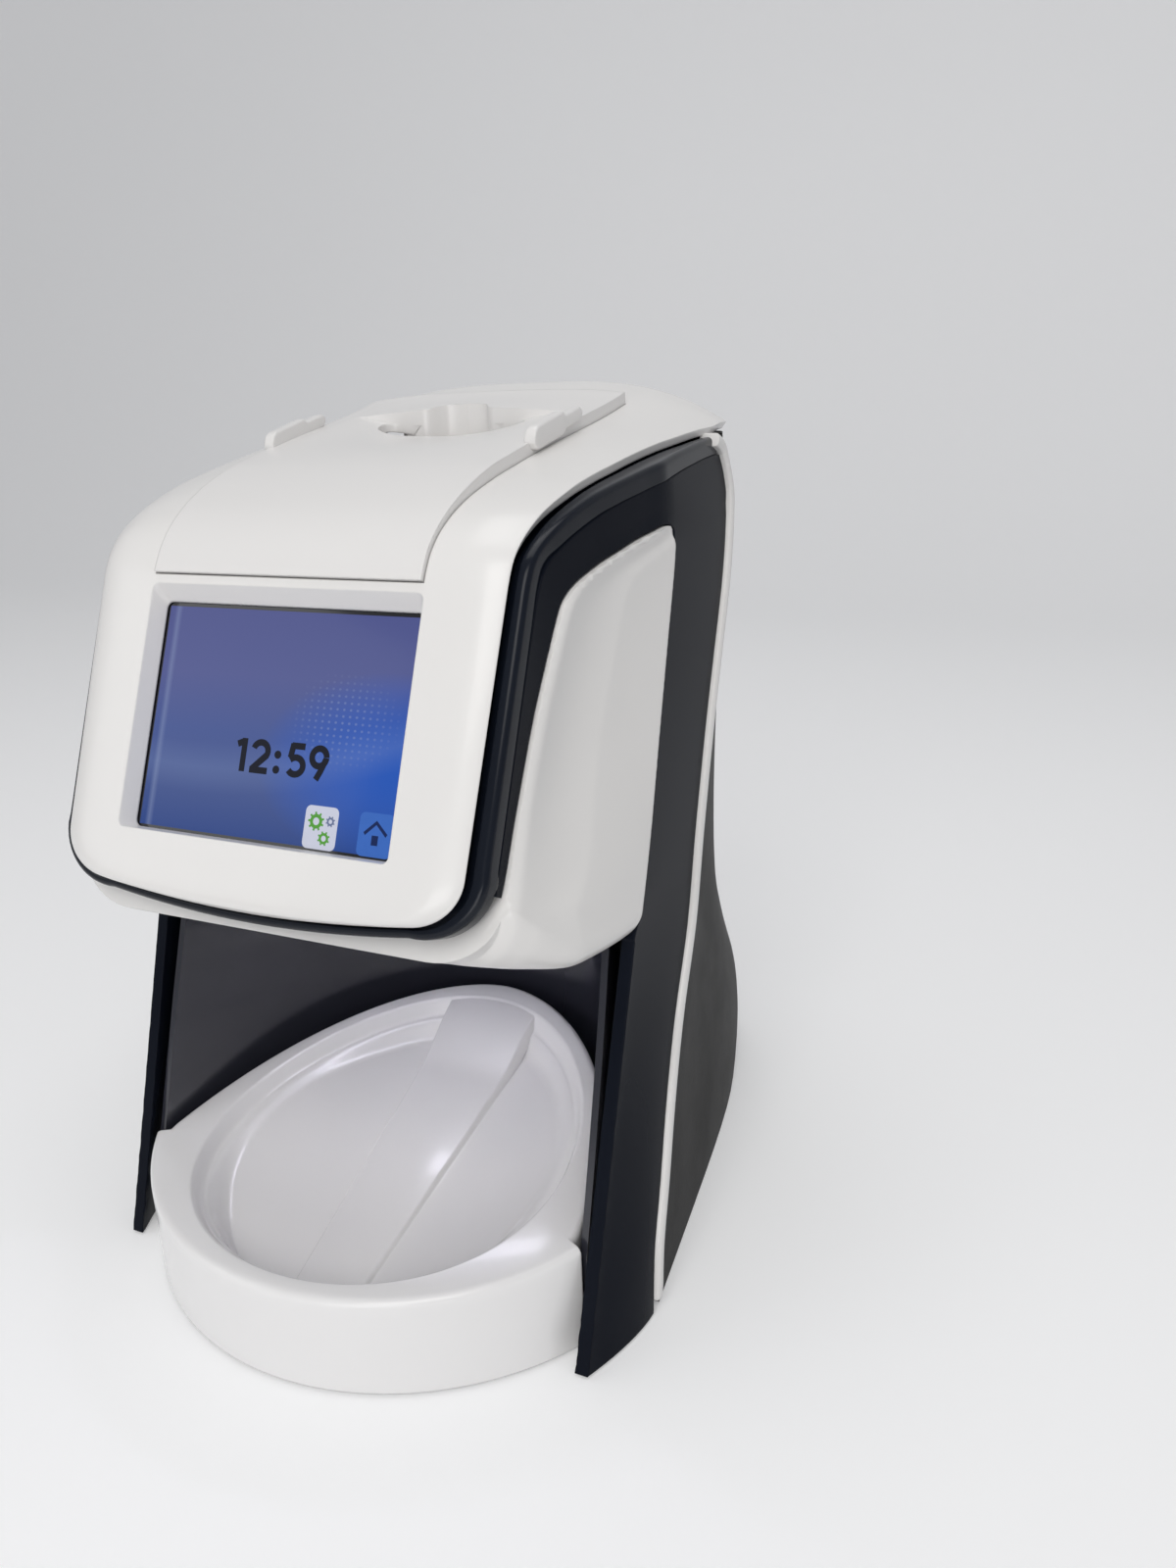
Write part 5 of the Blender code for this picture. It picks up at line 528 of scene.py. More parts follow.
STRIP_LINE = side_points(STRIP_SHARES, 6)
WING_REAR = side_points(WING_REAR_SHARES, 6)
WING_CREST = side_points(WING_CREST_SHARES, 6)
STRIP_BY_HEIGHT = [(z, y) for y, z in STRIP_LINE]
WING_REAR_BY_HEIGHT = [(z, y) for y, z in WING_REAR]
WING_CREST_BY_HEIGHT = sorted((z, y) for y, z in WING_CREST[12:])
TOE_SLOPE = 0.342
TOE_IN_TOP_SHARE = 0.53


def toe_y(z):
    return TOE_Y + TOE_SLOPE * z


HEAD_FLANK_SHARES = [(0.00, 0.00), (0.13, 0.05), (0.24, 0.32), (0.32, 0.58), (0.39, 0.81), (0.46, 1.03),
                     (0.55, 1.06), (0.75, 1.06)]


def head_flank(y):
    return mix(HEAD_HALF_WIDTH, TOP_HALF_WIDTH, table(HEAD_FLANK_SHARES, y / REAR_Y))


def panel_x(y, z):
    """Outer face of a side panel."""
    rear = table(STRIP_BY_HEIGHT, z)
    behind_toe = clamp((y - toe_y(z)) / (rear - toe_y(z)))
    toe_in = TOE_IN * max(0.0, 1 - z / (TOE_IN_TOP_SHARE * PANEL_HEIGHT)) * (1 - behind_toe) ** 1.6
    leg = flank(z) - toe_in
    if z < WING_REAR[0][1]:
        return leg
    wing_rear = table(WING_REAR_BY_HEIGHT, z)
    wing_front = table(WING_CREST_BY_HEIGHT, z)
    if z > WING_REAR[-1][1]:
        return min(leg, head_flank(y))
    share = smooth((y - wing_front) / (wing_rear - wing_front))
    return mix(min(head_flank(y), leg), leg, share)


# Hood surface

def front_point(x, up, depth=0.0):
    centre = Vector((0, SCREEN_Y, SCREEN_Z)) + FRONT_OUT * BEZEL_DEPTH
    return centre + Vector((x, 0, 0)) + FRONT_UP * up - FRONT_OUT * depth


HOOD_BOTTOM = -(SCREEN_HEIGHT / 2 + CHIN)
HOOD_BEND = SCREEN_HEIGHT / 2 + BROW
FRONT_SHARES = [0.0, 0.010, 0.035, 0.085, 0.17, 0.30, 0.50, 0.72, 0.90, 1.0]
FRONT_LIP_SHARES = [1.0, 0.30, 0.05, 0.0, 0.0, 0.0, 0.0, 0.0, 0.0, 0.0]
TOP_ROW_SHARES = [(0.023, 0.125, 0.00, 0.208), (0.058, 0.235, 0.02, 0.208), (0.125, 0.355, 0.06, 0.200),
                  (0.232, 0.468, 0.18, 0.190), (0.310, 0.535, 0.27, 0.220), (0.388, 0.595, 0.38, 0.265),
                  (0.465, 0.645, 0.48, 0.290), (0.543, 0.690, 0.60, 0.315), (0.650, 0.755, 0.78, 0.400),
                  (0.740, 0.823, 0.90, 0.535), (0.806, 0.883, 1.00, 0.690), (0.862, 0.932, 0.975, 0.81),
                  (0.908, 0.966, 0.915, 0.91), (0.946, 0.990, 0.79, 0.99), (0.973, 1.000, 0.50, 1.00)]
REAR_ROW_SHARES = [(0.990, 0.93, 0.865), (0.997, 0.72, 0.84), (1.0, 0.40, 0.82), (1.0, 0.0, 0.81)]
CROWN_FRONT_POWER = 14.0
CROWN_REAR_POWER = 3.4
LIP_TABLE = list(zip(FRONT_SHARES, FRONT_LIP_SHARES))
HOOD_ROW_STEP = 0.0016


def front_row(share):
    """Row of the hood's face: middle, lean, half width, edge drop, crown power, lip and bow."""
    height = HOOD_BEND - HOOD_BOTTOM
    up = share * height
    half = mix(HOOD_FRONT_HALF_WIDTH, HOOD_BEND_HALF_WIDTH, share)
    if up < CHIN_CORNER:
        half -= CHIN_CORNER * (1 - round_off(1 - up / CHIN_CORNER))
    bow = CHIN_BOW * max(0.0, 1 - up / (1.6 * CHIN_CORNER)) ** 1.2
    return (front_point(0, HOOD_BOTTOM + up), -FRONT_OUT, half, HOOD_EDGE_DROP, CROWN_FRONT_POWER,
            table(LIP_TABLE, share) * CHIN_LIP, bow)


def top_controls():
    rows = [front_row(share) for share in FRONT_SHARES[7:]]
    start = front_point(0, HOOD_BEND)
    run = HOOD_REAR_Y - start.y
    rise = HOOD_TOP_Z - start.z
    down = Vector((0, 0, -1))
    for y, z, wide, dropped in TOP_ROW_SHARES:
        middle = Vector((0, start.y + y * run, start.z + z * rise))
        share = smooth(y / 0.8)
        lean = (-FRONT_OUT).lerp(down, smooth(y / 0.12) * 0.55 + 0.45 * share).normalized()
        drop = dropped * (HOOD_TOP_Z - HOOD_RIM_Z)
        if y > 0.85:
            drop = middle.z - HOOD_RIM_Z
        power = mix(CROWN_FRONT_POWER, CROWN_REAR_POWER, smooth(y / 0.35))
        half = mix(HOOD_BEND_HALF_WIDTH, HOOD_REAR_HALF_WIDTH, wide)
        rows.append((middle, lean, half, drop, power, 0.0, 0.0))
    for y, z, wide in REAR_ROW_SHARES:
        middle = Vector((0, start.y + y * run, mix(HOOD_RIM_Z, HOOD_TOP_Z, z)))
        rows.append((middle, down, HOOD_REAR_HALF_WIDTH * wide, middle.z - HOOD_RIM_Z,
                     CROWN_REAR_POWER, 0.0, 0.0))
    return rows


def dense_top(step):
    """Rows of the top, read smoothly along the hood's middle line."""
    rows = top_controls()
    runs = [0.0]
    for first, second in zip(rows, rows[1:]):
        runs.append(runs[-1] + (second[0] - first[0]).length)
    columns = []
    for values in zip(*[(row[0].y, row[0].z, row[1].y, row[1].z, *row[2:5]) for row in rows]):
        columns.append(list(zip(runs, values)))
    start = runs[2]
    count = round((runs[-1] - start) / step)
    made = []
    for i in range(1, count + 1):
        run = mix(start, runs[-1], i / count)
        y, z, lean_y, lean_z, half, drop, power = [table(column, run) for column in columns]
        lean = Vector((0, lean_y, lean_z)).normalized()
        made.append((Vector((0, y, z)), lean, half, drop, power, 0.0, 0.0))
    return made


CORNER_SHARE = CHIN_CORNER / (HOOD_BEND - HOOD_BOTTOM)
FRONT_DENSE = [CORNER_SHARE * (1 - math.cos(math.radians(90 * i / 14))) for i in range(15)]
FRONT_DENSE += [mix(CORNER_SHARE, 1.0, i / 22) for i in range(1, 23)]
FRONT_ROWS = [front_row(share) for share in FRONT_DENSE]
HOOD_ROWS = FRONT_ROWS + dense_top(HOOD_ROW_STEP)


def hood_point(row, across):
    """Point of a row, from -1 at its left edge to 1 at its right."""
    middle, lean, half, drop, power, lip, bow = row
    edge = abs(across) ** power
    depth = drop * edge + lip * (1 - edge)
    return middle + Vector((half * across, 0, 0)) + lean * depth + FRONT_UP * bow * across * across


def across_samples(count, power):
    right = [1 - (1 - i / count) ** power for i in range(count + 1)]
    return [-v for v in reversed(right[1:])] + right


def surface_at(share):
    """Hood's row between the bend and the rear of the cover, by share of the cover's run."""
    y = mix(front_point(0, HOOD_BEND).y, COVER_REAR_Y, share)
    index = len(FRONT_ROWS)
    while HOOD_ROWS[index][0].y < y:
        index += 1
    first = HOOD_ROWS[index - 1]
    second = HOOD_ROWS[index]
    t = (y - first[0].y) / (second[0].y - first[0].y)
    values = [mix(a, b, t) for a, b in zip(first[2:], second[2:])]
    return (first[0].lerp(second[0], t), first[1].lerp(second[1], t).normalized(), *values)


def cover_half_width(y):
    front = front_point(0, HOOD_BEND).y
    return mix(COVER_FRONT_HALF_WIDTH, COVER_REAR_HALF_WIDTH, (y - front) / (COVER_REAR_Y - front))


def cover_cutter(name, clearance):
    """Wedge that bounds the inlet cover."""
    seam = front_point(0, HOOD_BEND)
    low = seam - FRONT_OUT * 0.5 * POCKET_LENGTH - FRONT_UP * clearance
    tip = seam + FRONT_OUT * OVERRUN - FRONT_UP * clearance
    top_z = HOOD_TOP_Z + OVERRUN
    front_half = COVER_FRONT_HALF_WIDTH + clearance
    rear_half = COVER_REAR_HALF_WIDTH + clearance
    rear_y = COVER_REAR_Y + clearance
    rings = []
    for side in (-1, 1):
        rings.append([(side * front_half, tip.y, tip.z), (side * front_half, low.y, low.z),
                      (side * rear_half, rear_y, low.z), (side * rear_half, rear_y, top_z),
                      (side * front_half, tip.y, top_z)])
    return lofted(name, rings)


def rounded_ring(low_x, low_z, high_x, high_z, radius, spans=4):
    """Rounded rectangle as (x, z) points."""
    points = []
    for cx, cz, turn in ((high_x - radius, high_z - radius, 0), (low_x + radius, high_z - radius, 90),
                         (low_x + radius, low_z + radius, 180), (high_x - radius, low_z + radius, 270)):
        for k in range(spans + 1):
            angle = math.radians(turn + 90 * k / spans)
            points.append((cx + radius * math.cos(angle), cz + radius * math.sin(angle)))
    return points


def make_hood():
    across = across_samples(26, 1.9)
    rows = [[hood_point(row, share) for share in across] for row in HOOD_ROWS]
    hood = sheet("hood_shell", rows, HOOD_WALL, (0, 0, 1))
    half = SCREEN_WIDTH / 2 + BEZEL_PLATE
    up = SCREEN_HEIGHT / 2 + BEZEL_PLATE
    plate = slab("bezel_plate", [(-half, -up), (half, -up), (half, up), (-half, up)], "FRONT",
                 -BEZEL_PLATE, -HOOD_WALL / 2, origin=front_point(0, 0))
    join(hood, plate)
    rings = []
    for depth in (-OVERRUN, BEZEL_DEPTH + OVERRUN):
        flare = 1 - depth / BEZEL_DEPTH
        half = SCREEN_WIDTH / 2 + BEZEL_FLARE * flare
        top = SCREEN_HEIGHT / 2 + BEZEL_TOP_FLARE * flare
        bottom = SCREEN_HEIGHT / 2 + BEZEL_FLARE * BEZEL_BOTTOM_SHARE * flare
        rings.append([front_point(x, up, depth) for x, up in rounded_ring(-half, -bottom, half, top,
                                                                          BEZEL_CORNER)])
    cut(hood, lofted("screen_opening", rings), cover_cutter("cover_opening", COVER_GAP))
    return place(hood, WHITE, "housing", "white_plastic", "hood")


COVER_ROWS = 84
COVER_STEP_SHARES = (-0.0045, -0.0015, 0.0015, 0.0045)
COVER_STEP_GAP = (0.0046, 0.008)
COVER_END_SHARES = (0.002, 0.006)
COVER_SEATED_SHARES = (0.012, 0.985)
SCOOP_START_SHARE = 0.45
TAB_ROWS = 32
TAB_CORNER = 0.0006
TAB_STEP = (0.60, 0.05, 0.6)


def cover_rise(x, y, row_share):
    """Height of the cover over the hood's surface: a scoop ahead of the pocket and a low dome behind it."""
    rise = mix(COVER_FRONT_RISE, COVER_RISE, smooth(row_share / 0.35))
    bowl = max(0.0, 1 - (x / (1.55 * POCKET_HALF_WIDTH)) ** 2) ** 1.5
    if y < POCKET_REAR_Y:
        start = mix(front_point(0, HOOD_BEND).y, POCKET_REAR_Y, SCOOP_START_SHARE)
        return rise - SCOOP_DEPTH * bowl * smooth((y - start) / (POCKET_REAR_Y - start))
    end = mix(POCKET_REAR_Y, COVER_REAR_Y, 0.9)
    return rise + DOME_RISE * bowl * (1 - smooth((y - POCKET_REAR_Y) / (end - POCKET_REAR_Y)))


def pocket_outline(grow=0.0):
    points = [(x * POCKET_HALF_WIDTH, y * POCKET_LENGTH) for x, y in POCKET_SHARES]
    right = smooth_line(points, 14)
    middle_y = POCKET_REAR_Y - 0.4 * POCKET_LENGTH
    grown = []
    for x, y in right:
        spot = Vector((x, POCKET_REAR_Y + y - middle_y))
        spot += spot.normalized() * grow
        grown.append((spot.x, middle_y + spot.y))
    return grown + [(-x, y) for x, y in reversed(grown[1:-1])]


def make_tab(side):
    """Grip tab: a bar that leans with the cover's edge, rounded at both ends and stepped down at its rear."""
    rings = []
    step_start, step_run, step_height = TAB_STEP
    for step in range(TAB_ROWS + 1):
        share = step / TAB_ROWS
        y = TAB_FRONT_Y + share * TAB_LENGTH
        front = min(1.0, share * TAB_LENGTH / (0.5 * TAB_HEIGHT))
        rear = min(1.0, (1 - share) * TAB_LENGTH / (0.25 * TAB_HEIGHT))
        height = mix(0.30, 1.0, round_off(1 - front)) * mix(0.55, 1.0, round_off(1 - rear))
        height *= mix(1.0, step_height, smooth((share - step_start) / step_run))
        outer = cover_half_width(y) + TAB_OVERHANG
        level = mix(TAB_FRONT_Z, TAB_REAR_Z, share)
        ring = rounded_ring(outer - TAB_THICKNESS, level - (1 + height) * TAB_HEIGHT / 2,
                            outer, level - (1 - height) * TAB_HEIGHT / 2, TAB_CORNER)
        rings.append([(side * x, y, z) for x, z in ring])
    return lofted("grip_tab", rings)


def make_cover():
    seam_y = front_point(0, HOOD_BEND).y
    step_share = (POCKET_REAR_Y - seam_y) / (COVER_REAR_Y - seam_y)
    near, far = COVER_STEP_GAP
    shares = [i / COVER_ROWS for i in range(COVER_ROWS + 1)] + list(COVER_END_SHARES)
    shares += [step_share + share for share in COVER_STEP_SHARES]
    shares = sorted(share for share in shares if not near <= abs(share - step_share) <= far)
    across = across_samples(30, 1.25)
    rings = []
    for share in shares:
        row = surface_at(share)
        half = cover_half_width(row[0].y) + OVERRUN / 2
        above, below = [], []
        behind = row[0].y > POCKET_REAR_Y
        end_row = not COVER_SEATED_SHARES[0] <= share <= COVER_SEATED_SHARES[1]
        for across_share in across:
            x = half * across_share
            point = hood_point(row, x / row[2])
            rise = cover_rise(x, point.y, share)
            above.append(point - row[1] * rise)
            under = min(rise - COVER_SKIN, -FIT)
            if behind:
                under = min(under, COVER_RISE - COVER_SKIN)
            if end_row or abs(across_share) > 0.9:
                under = min(-COVER_SEAT, under)
            below.append(point - row[1] * under)
        rings.append(above + below[::-1])
    cover = lofted("cover_shell", rings)
    keep(cover, cover_cutter("cover_bounds", 0.0))
    low = POCKET_FLOOR_Z - POCKET_WALL
    join(cover, slab("pocket_body", pocket_outline(POCKET_WALL), "Z", low, POCKET_FRONT_TOP_Z))
    rear = slab("pocket_rear", pocket_outline(0.85 * POCKET_WALL), "Z", POCKET_FLOOR_Z, POCKET_REAR_TOP_Z)
    cut(rear, block("pocket_rear_trim", (-TABLE_HALF_WIDTH, 0, low - OVERRUN),
                    (TABLE_HALF_WIDTH, POCKET_REAR_Y + FIT, HOOD_TOP_Z)))
    join(cover, rear, make_tab(1), make_tab(-1))
    cut(cover, slab("pocket", pocket_outline(), "Z", POCKET_FLOOR_Z, HOOD_TOP_Z + OVERRUN),
        block("plate_slot", (-PLATE_HALF_WIDTH, PATH_Y - SLOT_GAP / 2, low - OVERRUN),
              (PLATE_HALF_WIDTH, PATH_Y + SLOT_GAP / 2, POCKET_FLOOR_Z + OVERRUN / 2)))
    return place(cover, WHITE_COVER, "cover", "white_plastic", "inlet_cover")


# Dark trim round the hood's edge

RIM_DEPTH = 0.0048
RIM_CHIN_WIDTH = 0.0024
RIM_INNER = 0.0005
RIM_FOOT = 0.0018
RIM_BEAD_RADIUS = 0.0015
RIM_LAST_Y = 0.1225
RIM_FOOT_LAST_Y = 0.1260
HOOD_LAST_ROW_Y = 0.1490


def rim_section(spot, lean, out, wide):
    """Section of the trim at a spot of the hood's edge: a rounded face and a foot that reaches inwards."""
    near = spot + out * RIM_INNER
    inner = spot - out * RIM_FOOT
    foot_level = SHADOW_GAP + RIM_DEPTH
    middle_level = SHADOW_GAP + RIM_DEPTH / 3
    radius = min(RIM_BEAD_RADIUS, 0.8 * (wide - RIM_INNER))
    points = [near + lean * SHADOW_GAP]
    for k in range(7):
        angle = math.radians(90 * k / 6)
        points.append(spot + out * (wide - radius + radius * math.sin(angle))
                      + lean * (SHADOW_GAP + radius - radius * math.cos(angle)))
    points += [spot + out * wide + lean * foot_level, inner + lean * foot_level,
               inner + lean * middle_level, near + lean * middle_level]
    return points


def make_head_rim():
    rings = []
    rows = [row for row in HOOD_ROWS
            if row[0].y < HOOD_LAST_ROW_Y and hood_point(row, 1.0).y < RIM_LAST_Y]
    front = len(FRONT_DENSE)
    for index in range(len(rows) - 1, -1, -1):
        row = rows[index]
        spot = hood_point(row, 1.0)
        out = Vector((1, 0, 0))
        wide = panel_x(spot.y, spot.z) - spot.x
        up = FRONT_DENSE[index] * (HOOD_BEND - HOOD_BOTTOM) if index < front else 1
        if up < CHIN_CORNER:
            side = 1 - up / CHIN_CORNER
            out = Vector((round_off(side), 0, 0)) - FRONT_UP * side
            wide = mix(RIM_CHIN_WIDTH, HEAD_HALF_WIDTH - HOOD_FRONT_HALF_WIDTH, (1 - side) ** 0.5)
        rings.append(rim_section(spot, row[1], out, wide))
    chin = rows[0]
    for step in range(1, 15):
        rings.append(rim_section(hood_point(chin, 1 - step / 14), chin[1], -FRONT_UP, RIM_CHIN_WIDTH))
    mirrored = [[Vector((-p.x, p.y, p.z)) for p in ring] for ring in reversed(rings[:-1])]
    rim = lofted("head_trim", rings + mirrored)
    return place(rim, DARK_GLOSS, "housing", "dark_plastic", "head_rim")


# Side panels

CRADLE_CORNER = 0.0060
CRADLE_LIP_Z = 0.1105
PANEL_GAP = 0.00034
PANEL_UP_STEP = 0.0030
PANEL_BACK_STEP = 0.0028


def rim_foot_line():
    """Lower edge of the trim in the side view, where the panel meets it."""
    depth = SHADOW_GAP + RIM_DEPTH - 0.5 * FIT
    spots = [hood_point(row, 1.0) + row[1] * depth for row in HOOD_ROWS if row[0].y < HOOD_LAST_ROW_Y]
    return [(spot.y, spot.z) for spot in spots if spot.y < RIM_FOOT_LAST_Y]


def panel_outline():
    foot = TABLE_CLEARANCE
    corner_y, corner_z = WING_REAR[0]
    line = [(toe_y(foot), foot), (toe_y(corner_z) - PANEL_GAP, corner_z - PANEL_GAP)]
    line += [(y + PANEL_GAP, z) for y, z in WING_REAR[1:]]
    line += [(y - PANEL_GAP, z + PANEL_GAP) for y, z in WING_CREST if z > CRADLE_LIP_Z + 2 * CRADLE_CORNER]
    for y, z in rim_foot_line()[4:]:
        if z > line[-1][1] + FIT and y < table(STRIP_BY_HEIGHT, z):
            line.append((y, z))
    line += [(y, z) for y, z in reversed(STRIP_LINE) if foot < z < line[-1][1]]
    line.append((STRIP_LINE[0][0], foot))
    return line


def steps_between(low, high, step):
    count = max(1, round((high - low) / step))
    return [mix(low, high, i / count) for i in range(count + 1)]


def make_side_panel(name, side, node):
    heights = steps_between(-OVERRUN, HOOD_RIM_Z, PANEL_UP_STEP)
    depths = steps_between(-2 * OVERRUN, STRIP_LINE[-1][0] + 2 * OVERRUN, PANEL_BACK_STEP)
    rows = [[(side * panel_x(y, z), y, z) for y in depths] for z in heights]
    panel = sheet(name, rows, PANEL_WALL, (side, 0, 0))
    outline = slab(name + "_bounds", panel_outline(), "X", side * HEAD_HALF_WIDTH / 2,
                   side * (TABLE_HALF_WIDTH + OVERRUN))
    keep(panel, outline)
    return place(panel, DARK, "housing", "dark_plastic", node)


# White cradle

CRADLE_WALL = 0.0022
WING_PROUD = 0.0018
WING_REAR_PROUD = 0.0005
WING_ROLL = 0.0013
WING_KNEE_Z = 0.1750
WING_ROLL_RUN = 0.0026
WING_HOLLOW = 0.0009
WING_HOLLOW_RUN = 0.0110
CRADLE_FRONT_Y = -0.0032
CRADLE_FRONT_CORNER = 0.0170
CRADLE_CORNER_RUN = 0.0260
CRADLE_EDGE_Z = 0.1245
CRADLE_DEPTH = 0.0440
CRADLE_DROP = 0.0105
CRADLE_STEP = 0.0009
CRADLE_UNDER_SHARES = [(-0.1, -0.05), (0.0, 0.0), (0.19, 0.33), (0.37, 0.62), (0.64, 0.92), (1.0, 1.0),
                       (2.5, 1.0)]


def cradle_under_z(y):
    return CRADLE_LIP_Z - table(CRADLE_UNDER_SHARES, (y - CRADLE_FRONT_Y) / CRADLE_DEPTH) * CRADLE_DROP


def cradle_corner(y):
    return mix(CRADLE_FRONT_CORNER, CRADLE_CORNER, smooth((y - CRADLE_FRONT_Y) / CRADLE_CORNER_RUN))


def wing_x(y, z):
    """Outer face of a wing: a rolled front edge, a shallow hollow behind it, then flush with the panel."""
    front_y = table(WING_CREST_BY_HEIGHT, z)
    rear_y = table(WING_REAR_BY_HEIGHT, z)
    low_z = WING_CREST_BY_HEIGHT[0][0]
    if z < low_z:
        front_y = mix(CRADLE_FRONT_Y, front_y, max(0.0, 1 - (low_z - z) / (low_z - CRADLE_LIP_Z)))
    front_x = head_flank(front_y) + WING_PROUD
    rear_x = flank(z) + WING_REAR_PROUD
    share = clamp((y - front_y) / (rear_y - front_y))
    power = mix(0.62, 1.3, smooth((z - CRADLE_LIP_Z) / CRADLE_DEPTH))
    inward = max(0.0, y - front_y) * mix(1.0, 0.72, smooth((z - WING_KNEE_Z) / CRADLE_DEPTH))
    roll = 1 - min(1.0, inward / WING_ROLL_RUN)
    hollow = math.sin(math.pi * clamp((inward - WING_ROLL_RUN) / (2 * WING_HOLLOW_RUN)))
    return mix(front_x, rear_x, share ** power) - WING_ROLL * (1 - round_off(roll)) - WING_HOLLOW * hollow


def cradle_outline():
    low = CRADLE_LIP_Z - 2 * CRADLE_DROP
    corner_y, corner_z = WING_REAR[0]
    crest = [(y, z) for y, z in WING_CREST[1:] if z > CRADLE_EDGE_Z]
    edge_y = table(WING_CREST_BY_HEIGHT, CRADLE_EDGE_Z)
    line = [(edge_y - math.tan(SCREEN_TILT) * (CRADLE_EDGE_Z - low), low), (corner_y, low)]
    return line + WING_REAR + crest + [(edge_y, CRADLE_EDGE_Z)]


def make_cradle():
    rows = []
    for y in steps_between(CRADLE_FRONT_Y - 0.1 * CRADLE_DEPTH, CRADLE_FRONT_Y + 2.15 * CRADLE_DEPTH,
                           CRADLE_STEP):
        under = cradle_under_z(y)
        corner = cradle_corner(y)
        side = wing_x(y, under + corner)
        half = [((side - corner) * share, under) for share in (0, 0.25, 0.5, 0.75)]
        for k in range(12):
            angle = math.radians(90 * k / 12)
            half.append((side - corner + corner * math.sin(angle), under + corner - corner * math.cos(angle)))
        for step in range(91):
            z = mix(under + corner, HOOD_RIM_Z - CRADLE_DROP, step / 90)
            half.append((wing_x(y, z), z))
        rows.append([(-x, y, z) for x, z in reversed(half[1:])] + [(x, y, z) for x, z in half])
    cradle = sheet("cradle_shell", rows, CRADLE_WALL, (0, 0, -1))
    keep(cradle, slab("cradle_bounds", cradle_outline(), "X", -TABLE_HALF_WIDTH - OVERRUN,
                      TABLE_HALF_WIDTH + OVERRUN))
    return place(cradle, WHITE, "housing", "white_plastic", "wing_cradle")


# Rear housing and its white strips

STRIP_WIDTH = 0.0035
STRIP_PROUD = 0.0016
STRIP_THICKNESS = 0.0040
HOUSING_TOP_Z = 0.2115
BULGE_SHARES = [(0.00, 0.80), (0.045, 0.95), (0.093, 1.00), (0.140, 0.96), (0.187, 0.84), (0.243, 0.61),
                (0.308, 0.35), (0.374, 0.13), (0.444, 0.025), (0.560, 0.0), (1.10, 0.0)]
HOUSING_TAPER_SHARES = [(0.0, 0.19), (0.5, 0.17), (1.0, 0.10)]
PORT_HALF_WIDTH = 0.0380
PORT_LOW_Z = 0.0120
PORT_HIGH_Z = 0.0396
FAN_Z = 0.1300
FAN_SIZE = 0.0400
SLOT_HEIGHT = 0.0022
SLOT_COUNT = 7
PORT_CORNER = 0.0025
HOUSING_STEP = 0.0030
HOUSING_TURNS = [0, 0.05, 0.4, 1.2, 3, 6, 10, 15, 20, 26, 32, 38, 44, 50, 56, 62, 68, 73, 77, 80.5, 83.5, 86,
                 88, 89.3, 89.9, 90]


def housing_point(z, degrees):
    """Point of the housing's plan at a height, from 0 at the strip to 90 at the middle of the rear."""
    start = table(STRIP_BY_HEIGHT, z) + STRIP_WIDTH - 2 * FIT
    turn = math.radians(degrees)
    back = math.sin(turn) ** (1 / 3)
    side = math.cos(turn) ** (1 / 3)
    taper = table(HOUSING_TAPER_SHARES, z / HOOD_RIM_Z)
    x = flank(z) * (1 - taper * back) * side
    rear = mix(NECK_REAR_Y, REAR_Y, table(BULGE_SHARES, z / HOOD_RIM_Z))
    return (x if degrees < 90 else 0.0, mix(start, rear, back), z)


def make_rear_housing():
    rows = []
    for z in steps_between(TABLE_CLEARANCE, HOUSING_TOP_Z, HOUSING_STEP):
        right = [housing_point(z, degrees) for degrees in HOUSING_TURNS]
        rows.append(right + [(-x, y, z) for x, y, z in reversed(right[:-1])])
    housing = sheet("rear_shell", rows, HOUSING_WALL, (0, 1, 0))
    window = slab("port_window",
                  rounded_ring(-PORT_HALF_WIDTH, PORT_LOW_Z, PORT_HALF_WIDTH, PORT_HIGH_Z, PORT_CORNER, 6),
                  "Y", -(REAR_Y + OVERRUN), -(NECK_REAR_Y + OVERRUN))
    top = HOUSING_TOP_Z
    line = [(y + STRIP_WIDTH + 2 * FIT, z) for y, z in STRIP_LINE]
    ahead = [(-OVERRUN, -OVERRUN), (line[0][0] - OVERRUN / 4, -OVERRUN)] + line
    ahead += [(line[-1][0], top + OVERRUN), (-OVERRUN, top + OVERRUN)]
    cut(housing, window, slab("strip_seat", ahead, "X", -TABLE_HALF_WIDTH - OVERRUN,
                              TABLE_HALF_WIDTH + OVERRUN))
    pitch = 0.8 * FAN_SIZE / (SLOT_COUNT - 1)
    for index in range(SLOT_COUNT):
        z = FAN_Z + (index - (SLOT_COUNT - 1) / 2) * pitch
        half = math.sqrt((0.5 * FAN_SIZE) ** 2 - (z - FAN_Z) ** 2)
        ring = rounded_ring(-half, z - SLOT_HEIGHT / 2, half, z + SLOT_HEIGHT / 2, 0.49 * SLOT_HEIGHT, 5)
        cut(housing, slab("vent_slot", ring, "Y", -(NECK_REAR_Y + OVERRUN), -(NECK_REAR_Y - OVERRUN)))
    # The rear housing takes the grey whose near-black colour is painted shade.
    return place(housing, GREY_PAINTED_SHADE, "housing", "grey_plastic", "rear_housing")


STRIP_HOOK_SHARES = [(0.6540, 1.0045), (0.6440, 1.0080), (0.6340, 1.0105)]
STRIP_TURN_SHARES = (0.975, 0.03)


